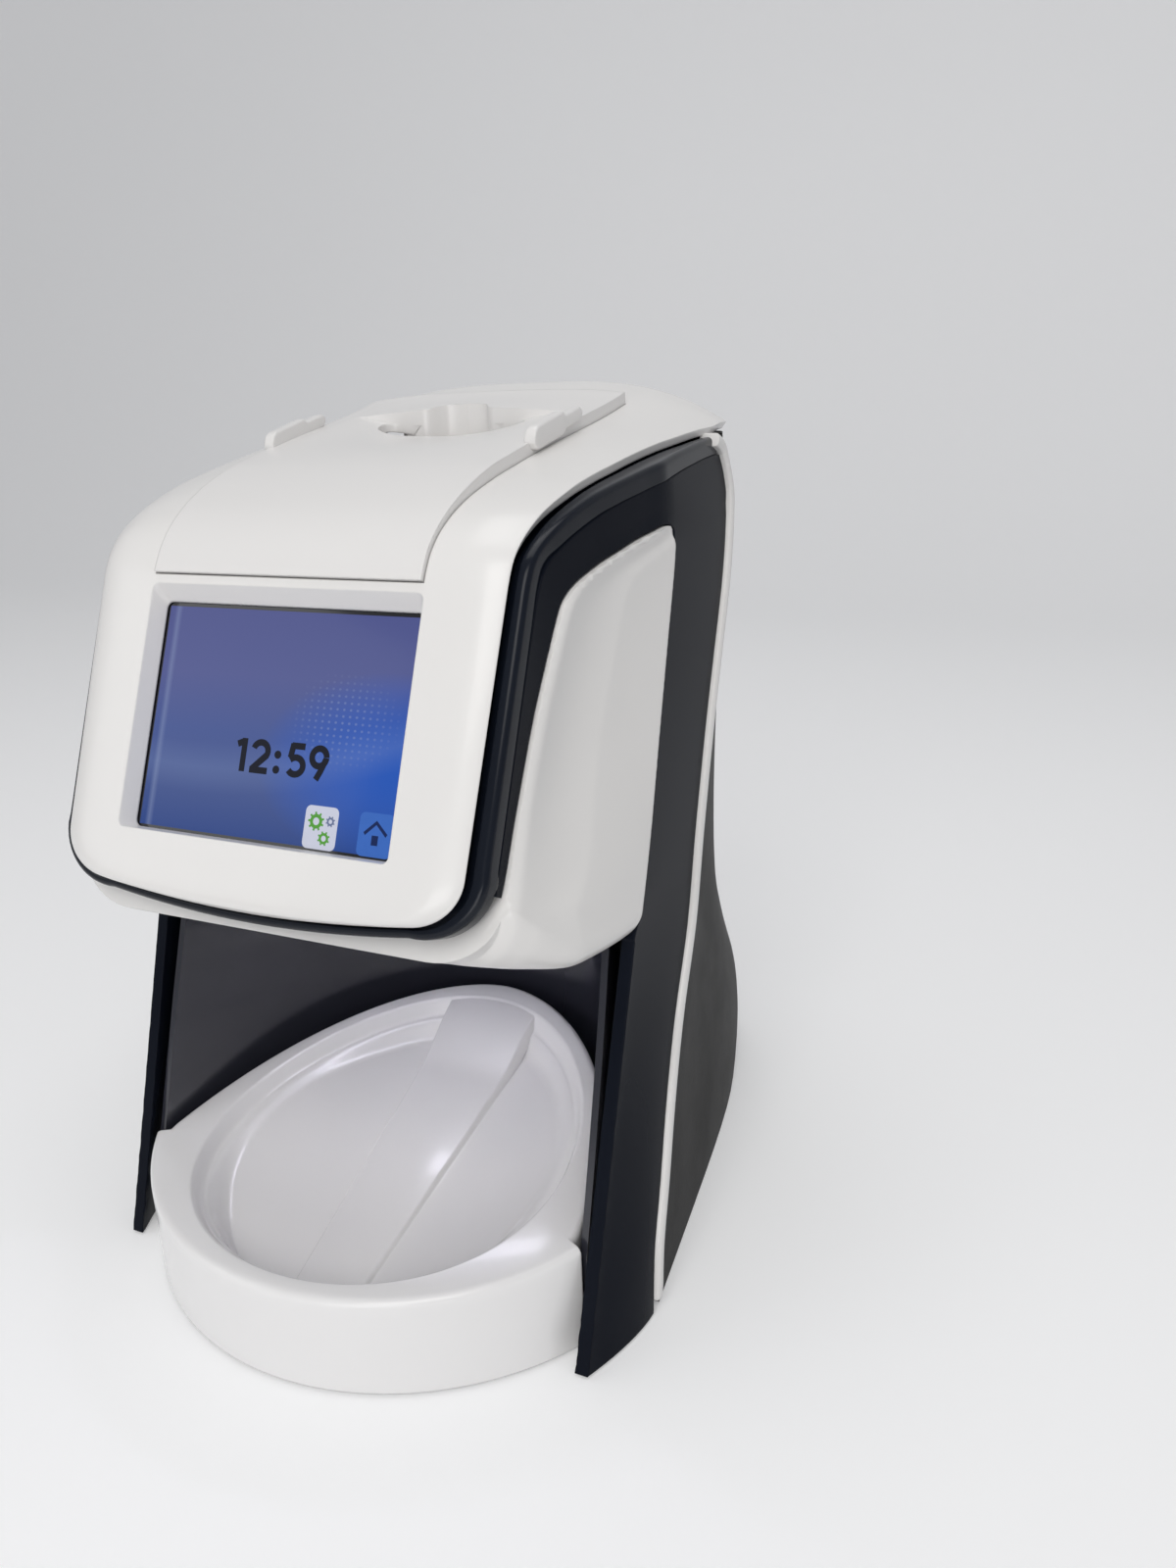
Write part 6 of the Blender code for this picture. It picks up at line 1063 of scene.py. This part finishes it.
def make_strip(name, side, node):
    """Rounded white bead along the rear edge, which hooks forward under the hood's corner."""
    turn_start, turn_run = STRIP_TURN_SHARES
    line = [spot for spot in smooth_line(STRIP_LINE, 2) if spot[1] >= 1.5 * STRIP_THICKNESS]
    straight = len(line)
    line += [(y * REAR_Y, z * PANEL_HEIGHT) for y, z in STRIP_HOOK_SHARES]
    line = line[:straight - 1] + smooth_line(line[straight - 1:], 5)
    rings = []
    for k, (y, z) in enumerate(line):
        before = line[max(0, k - 1)]
        after = line[min(len(line) - 1, k + 1)]
        along = Vector((after[0] - before[0], after[1] - before[1])).normalized()
        turn = smooth((z / PANEL_HEIGHT - turn_start) / turn_run)
        back = Vector((1, 0)).lerp(Vector((along.y, -along.x)), turn)
        x = flank(min(z, PANEL_HEIGHT))
        ring = [(x - STRIP_THICKNESS, FIT)]
        for step in range(9):
            angle = math.radians(180 * step / 8)
            ring.append((x + 0.2 * STRIP_PROUD + 0.8 * STRIP_PROUD * math.sin(angle) ** 0.7,
                         FIT + 0.5 * STRIP_WIDTH * (1 - math.cos(angle))))
        ring.append((x - STRIP_THICKNESS, FIT + STRIP_WIDTH))
        rings.append([(side * a, y + back.x * b, z + back.y * b) for a, b in ring])
    end = [(x, y - 0.2 * STRIP_THICKNESS, STRIP_THICKNESS) for x, y, z in rings[0]]
    strip = lofted(name, [end] + rings)
    return place(strip, WHITE, "housing", "white_plastic", node)


# Bay wall behind the tray

BAY_HALF_WIDTH = 0.0652
BAY_WALL = 0.0018
BAY_START_Y = 0.0100
BAY_REAR_Y = 0.1130
BAY_CEILING_Z = 0.1015
BAY_FRONT_SETBACK = 0.0015
BASE_TOP = 0.0053
SKIRT_END_Y = 0.0192
BAY_SQUARE = 0.82
BAY_STEP = 0.012


def egg(half_width, start_y, end_y, degrees, square=1.0):
    """Point of an egg-shaped plan, from 0 at its side to 90 at its rear."""
    turn = math.radians(degrees)
    x = half_width * math.cos(turn) ** (1.1 * square) if degrees < 90 else 0.0
    return x, start_y + (end_y - start_y) * math.sin(turn) ** square


def make_bay_wall():
    turns = [90] + [90 - 3 * k for k in range(1, 30)] + [1.5, 0.7, 0.25]
    right = [egg(BAY_HALF_WIDTH, BAY_START_Y, BAY_REAR_Y, degrees, BAY_SQUARE) for degrees in turns]
    right.append((BAY_HALF_WIDTH, BAY_START_Y))
    plan = right[::-1] + [(-x, y) for x, y in right[1:]]
    rows = [[(x, y, z) for x, y in plan]
            for z in steps_between(BASE_TOP + FIT, BAY_CEILING_Z - FIT, BAY_STEP)]
    wall = sheet("bay_shell", rows, BAY_WALL, (0, -1, 0))
    top = BAY_CEILING_Z + OVERRUN
    tray_z = BASE_TOP + BAY_REAR_Y / 4
    outline = [(-REAR_Y, -OVERRUN), (SKIRT_END_Y, -OVERRUN), (SKIRT_END_Y, tray_z * 0.75),
               (toe_y(top) + BAY_FRONT_SETBACK, top), (-REAR_Y, top)]
    cut(wall, slab("bay_front_trim", outline, "X", -TABLE_HALF_WIDTH, TABLE_HALF_WIDTH))
    return place(wall, BAY, "housing", "dark_plastic", "bay_wall")


# Receiving tray

SKIRT_RADIUS = 0.0770
SKIRT_CENTRE_Y = 0.0571
SKIRT_TURN = 59.3
SKIRT_SETBACK = 0.0012
TRAY_WALL = 0.0020
TRAY_HALF_WIDTH = 0.0640
TRAY_REAR_Y = 0.1080
TRAY_RIM_Z = 0.0272
TRAY_RIM_RISE = 0.0150
DISH_HALF_WIDTH = 0.0520
DISH_CENTRE_Y = 0.0430
DISH_HALF_LENGTH = 0.0580
DISH_FLOOR_Z = 0.0055
DISH_FLOOR_SLOPE = 0.270
DISH_FLOOR_MIN_Z = 0.0034
DISH_FLOOR_BLEND = 0.002
LIP_DEPTH = 0.0045
LIP_SHARE = 0.945
END_SHARE = 0.85
RAMP_FRONT_SHARE = 0.89
RAMP_CLIMB_SHARE = 0.54
RAMP_END_SHARE = 0.99
RAMP_FRONT_RISE = 0.0010
RAMP_REAR_RISE = 0.0030
RAMP_REAR_DROP = 0.0005
RAMP_SIDE_SHARE = 0.30
RAMP_EDGE = 0.00025
RAMP_STEP = 0.0015
CENTRE_FRONT_HALF_WIDTH = 0.0085
CENTRE_REAR_HALF_WIDTH = 0.0150


def tray_rim_z(y):
    front = SKIRT_CENTRE_Y - SKIRT_RADIUS
    share = max(0.0, (y - front) / (TRAY_REAR_Y - front))
    return TRAY_RIM_Z + TRAY_RIM_RISE * share ** 1.7


def tray_floor_z(y):
    """Rising floor, with a soft start at its front."""
    over = DISH_FLOOR_Z + DISH_FLOOR_SLOPE * y - DISH_FLOOR_MIN_Z
    return DISH_FLOOR_MIN_Z + 0.5 * (over + math.hypot(over, DISH_FLOOR_BLEND))


def tray_outline():
    """Right half of the tray's plan as (x, y, lower edge): the rear, the side, then the skirt's front arc."""
    side_z = BASE_TOP + FIT
    line = []
    for degrees in [90] + [90 - 2.5 * k for k in range(1, 35)] + [1.0]:
        x, y = egg(TRAY_HALF_WIDTH, BAY_START_Y, TRAY_REAR_Y, degrees)
        if y > SKIRT_END_Y + SKIRT_SETBACK:
            line.append((x, y, side_z))
    line.append((line[-1][0], SKIRT_END_Y, side_z))
    for k in range(37):
        turn = math.radians(SKIRT_TURN * (1 - k / 36))
        line.append((SKIRT_RADIUS * math.sin(turn), SKIRT_CENTRE_Y - SKIRT_RADIUS * math.cos(turn),
                     TABLE_CLEARANCE))
    return line


def dish_point(x, y, grow):
    turn = math.atan2(x / DISH_HALF_WIDTH, (y - DISH_CENTRE_Y) / DISH_HALF_LENGTH)
    out = Vector((math.sin(turn) * DISH_HALF_WIDTH * (1 - 0.12 * math.cos(turn)),
                  math.cos(turn) * DISH_HALF_LENGTH))
    out = out + out.normalized() * grow
    return out.x, DISH_CENTRE_Y + out.y


def inset_outline(x, y, inset):
    spot = Vector((x, y))
    spot -= (spot - Vector((0, DISH_CENTRE_Y))).normalized() * inset
    return spot.x, spot.y


RAMP_FRONT_Y = DISH_CENTRE_Y - RAMP_FRONT_SHARE * DISH_HALF_LENGTH
RAMP_REAR_Y = DISH_CENTRE_Y + RAMP_END_SHARE * DISH_HALF_LENGTH


def ramp_share(y):
    return clamp((y - RAMP_FRONT_Y) / (RAMP_REAR_Y - RAMP_FRONT_Y))


def ramp_half_width(y):
    return mix(CENTRE_FRONT_HALF_WIDTH, CENTRE_REAR_HALF_WIDTH, ramp_share(y))


def ramp_rise(y):
    return mix(RAMP_FRONT_RISE, RAMP_REAR_RISE, ramp_share(y))


def ramp_z(y):
    """Top of the ramp: a little above the dish's middle, then up to the rear rim."""
    low_z = tray_floor_z(y) + ramp_rise(y)
    out = (y - DISH_CENTRE_Y) / DISH_HALF_LENGTH
    climb = smooth((out - RAMP_CLIMB_SHARE) / (RAMP_END_SHARE - RAMP_CLIMB_SHARE))
    return mix(low_z, tray_rim_z(y) - RAMP_REAR_DROP, climb)


def bowl_z(x, y, scale):
    """Height of the dish at a point, with its share of the way out from the dish's centre."""
    foot_z = tray_rim_z(y) - LIP_DEPTH
    if scale > LIP_SHARE:
        return mix(foot_z, tray_rim_z(y), smooth((scale - LIP_SHARE) / (1 - LIP_SHARE)))
    flat = ramp_half_width(y)
    valley = clamp((abs(x) - flat) / (LIP_SHARE * DISH_HALF_WIDTH - flat)) ** 1.5
    end = smooth((scale - END_SHARE) / (LIP_SHARE - END_SHARE))
    return mix(tray_floor_z(y), foot_z, 1 - (1 - valley) * (1 - end))


DISH_SCALES = [1.0, 0.994, 0.988, 0.982, 0.976, 0.970, 0.964, 0.958, 0.951, LIP_SHARE, 0.938, 0.928, 0.915,
               0.90, 0.885, 0.87, END_SHARE, 0.83, 0.80, 0.76, 0.71, 0.66, 0.59, 0.52, 0.45, 0.38, 0.30, 0.22,
               0.14, 0.06]


TRAY_EDGE_SHARES = [(1.1, 0), (0.75, 0.04), (0.42, 0.16), (0.18, 0.36), (0.04, 0.66), (0, 1.05), (0, 2.2)]


def ramp_rings():
    """Sections of the ramp: a flat bottom, leaning sides and rounded top edges."""
    rings = []
    for y in steps_between(RAMP_FRONT_Y, RAMP_REAR_Y, RAMP_STEP):
        rise = ramp_rise(y)
        wide = ramp_half_width(y)
        top_z = ramp_z(y)
        foot = wide + RAMP_SIDE_SHARE * rise
        half = [(foot, top_z - rise - TRAY_WALL - 2 * FIT), (foot, top_z - rise)]
        half += [(wide + out * RAMP_EDGE, top_z - down * RAMP_EDGE)
                 for out, down in ((0.4, 1.0), (-0.1, 0.4), (-0.6, 0.08), (-1.0, 0.0))]
        rings.append([(-a, y, b) for a, b in reversed(half)] + [(a, y, b) for a, b in half])
    return rings


def make_tray():
    half = tray_outline()
    outline = half + [(-x, y, low) for x, y, low in reversed(half) if x > FIT]
    wall = TRAY_WALL

    def dish(scale, grow, drop):
        ring = []
        for x, y, _ in outline:
            dish_x, dish_y = dish_point(x, y, grow)
            dish_x *= scale
            dish_y = DISH_CENTRE_Y + (dish_y - DISH_CENTRE_Y) * scale
            ring.append((dish_x, dish_y, bowl_z(dish_x, dish_y, scale) - drop))
        return ring

    def outer(inset, drop, bottom=False):
        ring = []
        for x, y, low in outline:
            px, py = inset_outline(x, y, inset)
            ring.append((px, py, low if bottom else tray_rim_z(y) - drop))
        return ring

    rings = [dish(scale, 0, 0) for scale in DISH_SCALES[::-1]]
    rings += [dish(1.0, 0.15 * wall, 0), dish(1.0, 0.5 * wall, 0)]
    rings += [outer(inset * wall, drop * wall) for inset, drop in TRAY_EDGE_SHARES]
    rings += [outer(0, 0, True), outer(wall, 0, True), outer(1.1 * wall, 2.0 * wall),
              dish(1.0, wall, 1.6 * wall)]
    rings += [dish(scale, 0.7 * wall if scale > END_SHARE else 0, wall) for scale in DISH_SCALES[1::2]]
    tray = lofted("tray_shell", rings)
    join(tray, lofted("tray_ramp", ramp_rings()))
    # The tray takes the white that is lifted with painted light.
    return place(tray, WHITE_TRAY_PAINTED_LIGHT, "tray", "white_plastic", "receiving_tray")


# Lit display: a picture behind the glass, made of thin plates in front of the panel

PLATE_THICKNESS = 0.00004
PICTURE_LIFT = 0.00004
TILE_LIFT = 0.00010
ICON_LIFT = 0.00016
CLOCK_LIFT_STEP = 0.000002
PICTURE_INSET = 0.0006
CLOCK_HEIGHT = 0.0076
CLOCK_STROKE = 0.00148
CLOCK_X = 0.0043
CLOCK_UP = -0.0110
TILE_HALF_WIDTH = 0.0043
TILE_HALF_HEIGHT = 0.0047
TILE_CORNER = 0.0013
TILE_UP = -0.0212
SETTINGS_X = 0.0159
HOME_X = 0.0300
HOUSE_UP = TILE_UP + 0.0006
SETTINGS_GEARS = (("large", -0.0013, 0.0013, 0.0021, 9), ("middle", 0.0012, -0.0022, 0.0016, 8),
                  ("small", 0.0024, 0.0016, 0.0012, 8))
HOUSE_ROOF = [(-0.0030, -0.0002), (0.0, 0.0025), (0.0030, -0.0002), (0.0026, -0.0008), (0.0, 0.0016),
              (-0.0026, -0.0008)]
HOUSE_WALLS = [(-0.0008, -0.0028), (0.0008, -0.0028), (0.0008, -0.0007), (-0.0008, -0.0007)]
GEAR_SHARES = ((0.0, 0.76), (0.26, 0.76), (0.32, 1.0), (0.62, 1.0), (0.68, 0.76))


def picture_material():
    """Blue gradient with a glow, a soft band of light, a field of fine dots and a streak near one edge."""
    made, tree, shader = new_look("lit_picture")
    shader.inputs["Base Color"].default_value = (0.012, 0.016, 0.05, 1)
    shader.inputs["Roughness"].default_value = 0.09
    shader.inputs["Specular IOR Level"].default_value = 0.18
    shader.inputs["Emission Strength"].default_value = 0.50
    space = tree.nodes.new("ShaderNodeUVMap")
    space.uv_map = "picture"
    split = tree.nodes.new("ShaderNodeSeparateXYZ")
    tree.links.new(space.outputs["UV"], split.inputs["Vector"])
    u, v = split.outputs["X"], split.outputs["Y"]

    def times(a, b, clamped=False):
        return maths(tree, "MULTIPLY", a, b, clamped)

    def plus(a, b):
        return maths(tree, "ADD", a, b)

    def minus(a, b, clamped=False):
        return maths(tree, "SUBTRACT", a, b, clamped)

    def fade(distance, steepness):
        """1 at no distance, down to 0."""
        return minus(1.0, times(distance, steepness), True)

    def squared_distance(to_u, to_v, stretch):
        du, dv = minus(u, to_u), minus(v, to_v)
        return plus(times(du, du), times(times(dv, dv), stretch))

    def wave(along, count):
        return plus(maths(tree, "SINE", times(along, count), 0.0), 1.0)

    colour = tones(tree, v, (0.0, (0.03, 0.09, 0.36)), (0.25, (0.10, 0.16, 0.43)), (0.45, (0.10, 0.16, 0.46)),
                   (0.70, (0.15, 0.175, 0.45)), (1.0, (0.135, 0.155, 0.42)))
    glow = fade(squared_distance(0.94, 0.36, 1.5), 4.2)
    colour = blend(tree, times(glow, 0.85), colour, (0.01, 0.16, 0.86))
    curve = minus(plus(times(times(u, u), 0.30), times(u, -0.12)), minus(v, 0.30))
    band = fade(maths(tree, "ABSOLUTE", curve, 0.0), 9.0)
    colour = blend(tree, times(band, 0.16), colour, (0.42, 0.58, 1.0))
    dots = times(minus(times(wave(u, 252.0), wave(v, 226.0)), 2.2), 0.8, True)
    field = fade(squared_distance(0.76, 0.54, 1.0), 22.0)
    streak = fade(maths(tree, "ABSOLUTE", minus(u, 0.045), 0.0), 60.0)
    shine = plus(times(times(dots, field), 0.34), times(streak, 0.30))
    tree.links.new(blend(tree, shine, colour, (0.50, 0.62, 0.95)), shader.inputs["Emission Color"])
    return made


def flat_colour(name, colour, strength, roughness=0.12):
    return glowing(name, colour, tuple(min(1.0, 1.12 * c) for c in colour), strength, roughness, 500.0)


def screen_plate(name, outline, lift, surface, holes=(), mapped_flat=False):
    """Thin plate that floats over the panel by the lift."""
    centre = front_point(0, 0, BEZEL_DEPTH)
    plate = slab(name, outline, "FRONT", lift, lift + PLATE_THICKNESS, origin=centre, holes=holes)
    if mapped_flat:
        while plate.data.uv_layers:
            plate.data.uv_layers.remove(plate.data.uv_layers[0])
        layer = plate.data.uv_layers.new(name="picture")
        for loop in plate.data.loops:
            point = plate.data.vertices[loop.vertex_index].co - centre
            layer.data[loop.index].uv = (0.5 + point.x / SCREEN_WIDTH,
                                         0.5 + point.dot(FRONT_UP) / SCREEN_HEIGHT)
    return place(plate, surface, "housing", "screen")


def arc(cx, cy, rx, ry, start, end, count=22):
    angles = [math.radians(mix(start, end, k / count)) for k in range(count + 1)]
    return [(cx + rx * math.cos(angle), cy + ry * math.sin(angle)) for angle in angles]


def circle(cx, cy, radius, count=24):
    return arc(cx, cy, radius, radius, 0, 360, count)[:-1]


def gear(cx, cy, radius, teeth):
    points = []
    for k in range(teeth):
        for share, reach in GEAR_SHARES:
            angle = 2 * math.pi * (k + share) / teeth
            points.append((cx + radius * reach * math.cos(angle), cy + radius * reach * math.sin(angle)))
    return points


def move(points, x, y):
    return [(a + x, b + y) for a, b in points]


def stroke(points, width):
    """Outline of a line of even width through the points."""
    left, right = [], []
    for k, (x, y) in enumerate(points):
        before = points[max(0, k - 1)]
        after = points[min(len(points) - 1, k + 1)]
        along = Vector((after[0] - before[0], after[1] - before[1])).normalized()
        reach = 0.5 * width
        if 0 < k < len(points) - 1:
            reach /= max(0.5, Vector((x - before[0], y - before[1])).normalized().dot(along))
        left.append((x - along.y * reach, y + along.x * reach))
        right.append((x + along.y * reach, y - along.x * reach))
    return left + right[::-1]


def make_clock(ink):
    """Digits 12:59 in strokes of even width, on a grid one unit high."""
    digits = (
        (-1.62, [[(-0.17, 0.80), (0.06, 0.90)], [(0.08, 0.99), (0.08, 0.0)]]),
        (-0.93, [arc(0.0, 0.66, 0.26, 0.25, 165, -28) + [(-0.27, 0.09)], [(-0.33, 0.085), (0.31, 0.085)]]),
        (0.36, [[(0.27, 0.91), (-0.19, 0.91)], [(-0.14, 0.97), (-0.20, 0.56)],
                arc(0.0, 0.33, 0.27, 0.245, 138, -145)]),
        (1.16, [arc(0.0, 0.65, 0.25, 0.255, 0, 360, 34), [(0.235, 0.60), (0.10, 0.26), (-0.03, 0.0)]]),
    )
    parts = [stroke([((x + shift) * CLOCK_HEIGHT, y * CLOCK_HEIGHT) for x, y in line], CLOCK_STROKE)
             for shift, lines in digits for line in lines]
    parts += [circle(-0.30 * CLOCK_HEIGHT, level * CLOCK_HEIGHT, 0.62 * CLOCK_STROKE, 16)
              for level in (0.16, 0.60)]
    for k, outline in enumerate(parts):
        screen_plate(f"clock_stroke_{k + 1}", move(outline, CLOCK_X, CLOCK_UP),
                     TILE_LIFT + k * CLOCK_LIFT_STEP, ink)


def make_screen():
    half_x = SCREEN_WIDTH / 2 - PICTURE_INSET
    half_up = SCREEN_HEIGHT / 2 - PICTURE_INSET
    screen_plate("picture", [(-half_x, -half_up), (half_x, -half_up), (half_x, half_up), (-half_x, half_up)],
                 PICTURE_LIFT, picture_material(), mapped_flat=True)
    make_clock(flat_colour("ink", (0.006, 0.008, 0.022), 0.35))
    pale = flat_colour("tile_pale", (0.55, 0.57, 0.68), 0.75)
    blue = flat_colour("tile_blue", (0.05, 0.15, 0.52), 0.65)
    green = flat_colour("icon_green", (0.10, 0.36, 0.05), 0.6)
    grey = flat_colour("icon_grey", (0.16, 0.20, 0.34), 0.6)
    navy = flat_colour("icon_navy", (0.015, 0.03, 0.12), 0.5)
    tile = rounded_ring(-TILE_HALF_WIDTH, -TILE_HALF_HEIGHT, TILE_HALF_WIDTH, TILE_HALF_HEIGHT,
                        TILE_CORNER, 5)
    screen_plate("tile_settings", move(tile, SETTINGS_X, TILE_UP), TILE_LIFT, pale)
    for name, x, up, radius, teeth in SETTINGS_GEARS:
        x, up = SETTINGS_X + x, TILE_UP + up
        screen_plate("icon_gear_" + name, gear(x, up, radius, teeth), ICON_LIFT,
                     grey if name == "small" else green, holes=[circle(x, up, 0.4 * radius)])
    screen_plate("tile_home", move(tile, HOME_X, TILE_UP), TILE_LIFT, blue)
    screen_plate("icon_roof", move(HOUSE_ROOF, HOME_X, HOUSE_UP), ICON_LIFT, navy)
    screen_plate("icon_walls", move(HOUSE_WALLS, HOME_X, HOUSE_UP), ICON_LIFT, navy)


# Small parts inside the ports, seen from behind

CONTACT_COUNT = 8
CONTACT_PITCH = 0.00102
CONTACT_HALF_WIDTH = 0.00018
CONTACT_SIDE = [(-0.0085, -0.0034), (-0.0030, -0.0052), (-0.0028, -0.0049), (-0.0083, -0.0030)]


def make_port_details():
    low, high = [Vector(corner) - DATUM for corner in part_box("network_jack")]
    for k in range(CONTACT_COUNT):
        x = (low.x + high.x) / 2 + (k - (CONTACT_COUNT - 1) / 2) * CONTACT_PITCH
        pin = slab(f"network_contact_{k + 1}", move(CONTACT_SIDE, high.y, high.z), "X",
                   x - CONTACT_HALF_WIDTH, x + CONTACT_HALF_WIDTH)
        place(pin, GOLD, "housing", "steel")


make_hood()
make_cover()
make_head_rim()
for side_name, side_sign in (("right", 1), ("left", -1)):
    make_side_panel("panel_shell_" + side_name, side_sign, "side_panel_" + side_name)
make_cradle()
make_rear_housing()
for side_name, side_sign in (("right", 1), ("left", -1)):
    make_strip("strip_" + side_name, side_sign, "trim_strip_" + side_name)
make_bay_wall()
make_tray()
make_screen()
make_port_details()

NODE_SHARP_DEGREES = 35
# Grey plastic parts take the grey whose near-black colour is painted shade.
LOOKS = {
    "white_plastic": WHITE, "dark_plastic": DARK, "grey_plastic": GREY_PAINTED_SHADE, "black_plastic": BLACK,
    "rubber": RUBBER, "steel": STEEL, "board": BOARD, "screen": GLASS, "mirror": MIRROR, "clear": CLEAR,
}
for subpart in frame["record"]["subparts"]:
    node = NODES[subpart["node"]]
    node.data.materials.clear()
    node.data.materials.append(LOOKS[subpart["material_slot"]])
    soften(node.data, NODE_SHARP_DEGREES)
NODES["bay_light_lens"].data.materials[0] = BAY_LIGHT
NODES["network_jack"].data.materials[0] = NICKEL
NODES["motor_pulley"].data.materials[0] = NICKEL


# Floor, lights and camera

FLOOR_GLOW = 0.24
FLOOR_FRONT_Y = -1.6
FLOOR_REAR_Y = 0.9
FLOOR_BEND = 0.5
FLOOR_HALF_WIDTH = 2.4
BACKDROP_TOP_Z = 2.2


def stage_material():
    """Pale paper, lifted a little where the camera sees it, directly or in a mirror or through glass."""
    made, tree, shader = new_look("floor_paper")
    shader.inputs["Roughness"].default_value = 0.75
    tree.links.new(tones(tree, noise(tree, 3.0), (0.0, (0.76, 0.76, 0.765)), (1.0, (0.80, 0.80, 0.805))),
                   shader.inputs["Base Color"])
    path = tree.nodes.new("ShaderNodeLightPath")
    bounced = maths(tree, "MAXIMUM", path.outputs["Is Glossy Ray"], path.outputs["Is Transmission Ray"])
    seen = maths(tree, "MAXIMUM", path.outputs["Is Camera Ray"], bounced)
    shader.inputs["Emission Color"].default_value = (1.0, 1.0, 1.0, 1)
    tree.links.new(maths(tree, "MULTIPLY", seen, FLOOR_GLOW), shader.inputs["Emission Strength"])
    return made


def make_floor():
    """Floor that bends up into a backdrop."""
    bm = bmesh.new()
    profile = [(FLOOR_FRONT_Y, 0.0)] + arc(FLOOR_REAR_Y, FLOOR_BEND, FLOOR_BEND, FLOOR_BEND, -90, 0, 12)
    profile.append((FLOOR_REAR_Y + FLOOR_BEND, BACKDROP_TOP_Z))
    rows = [[bm.verts.new((x, y, z)) for x in (-FLOOR_HALF_WIDTH, FLOOR_HALF_WIDTH)] for y, z in profile]
    for first, second in zip(rows, rows[1:]):
        bm.faces.new((first[0], first[1], second[1], second[0]))
    mesh = bpy.data.meshes.new("studio_floor")
    bm.to_mesh(mesh)
    bm.free()
    mesh.shade_smooth()
    floor = link("studio_floor", mesh)
    mesh.materials.append(stage_material())


def lamp(name, spot, target, width, height, power, colour=(1, 1, 1)):
    data = bpy.data.lights.new(name, "AREA")
    data.shape = "RECTANGLE"
    data.size = width
    data.size_y = height
    data.energy = power
    data.color = colour
    obj = link(name, data)
    obj.location = spot
    obj.rotation_euler = (Vector(target) - Vector(spot)).to_track_quat("-Z", "Y").to_euler()
    return obj


make_floor()
world = bpy.data.worlds.new("studio")
bpy.context.scene.world = world
world.use_nodes = True
world.node_tree.nodes["Background"].inputs["Color"].default_value = (0.93, 0.95, 1.0, 1)
world.node_tree.nodes["Background"].inputs["Strength"].default_value = 0.30
lamp("key", (0.30, -0.85, 0.95), (0, 0, 0.12), 0.7, 0.7, 5.2, (1.0, 0.985, 0.96))
lamp("fill", (-0.75, -0.70, 0.42), (0, 0, 0.08), 0.5, 0.5, 0.8, (0.98, 0.99, 1.0))
lamp("low", (0.10, -0.95, 0.22), (0, 0.0, 0.13), 0.45, 0.3, 1.4)
lamp("top", (0.0, 0.1, 1.15), (0, 0, 0.1), 0.8, 0.6, 2.6)
side_lamp = lamp("side", (1.05, -0.15, 0.55), (0, 0, 0.12), 0.35, 0.9, 0.7, (0.96, 0.98, 1.0))
side_lamp.visible_glossy = False  # no hard streak in the dark panel

# The photograph's viewpoint, solved from the display's corners
CAMERA_SPOT = Vector((0.1686, -0.1910, 0.2238)) + DATUM
CAMERA_FORWARD = Vector((-0.396, 0.862, -0.317)).normalized()
CAMERA_ROLL = math.radians(-2.18)

camera_data = bpy.data.cameras.new("camera")
camera_data.sensor_fit = "VERTICAL"
camera_data.sensor_height = 36.0
camera_data.lens = 27.07
camera_data.clip_start = 0.01
camera_data.clip_end = 20.0
camera = link("camera", camera_data)
level = CAMERA_FORWARD.cross(Vector((0, 0, 1))).normalized()
above = level.cross(CAMERA_FORWARD).normalized()
right_axis = math.cos(CAMERA_ROLL) * level + math.sin(CAMERA_ROLL) * above
up_axis = -math.sin(CAMERA_ROLL) * level + math.cos(CAMERA_ROLL) * above
turned = Matrix((right_axis, up_axis, -CAMERA_FORWARD)).transposed().to_4x4()
camera.matrix_world = Matrix.Translation(CAMERA_SPOT) @ turned
bpy.context.scene.camera = camera

bpy.context.scene.view_settings.view_transform = "Standard"
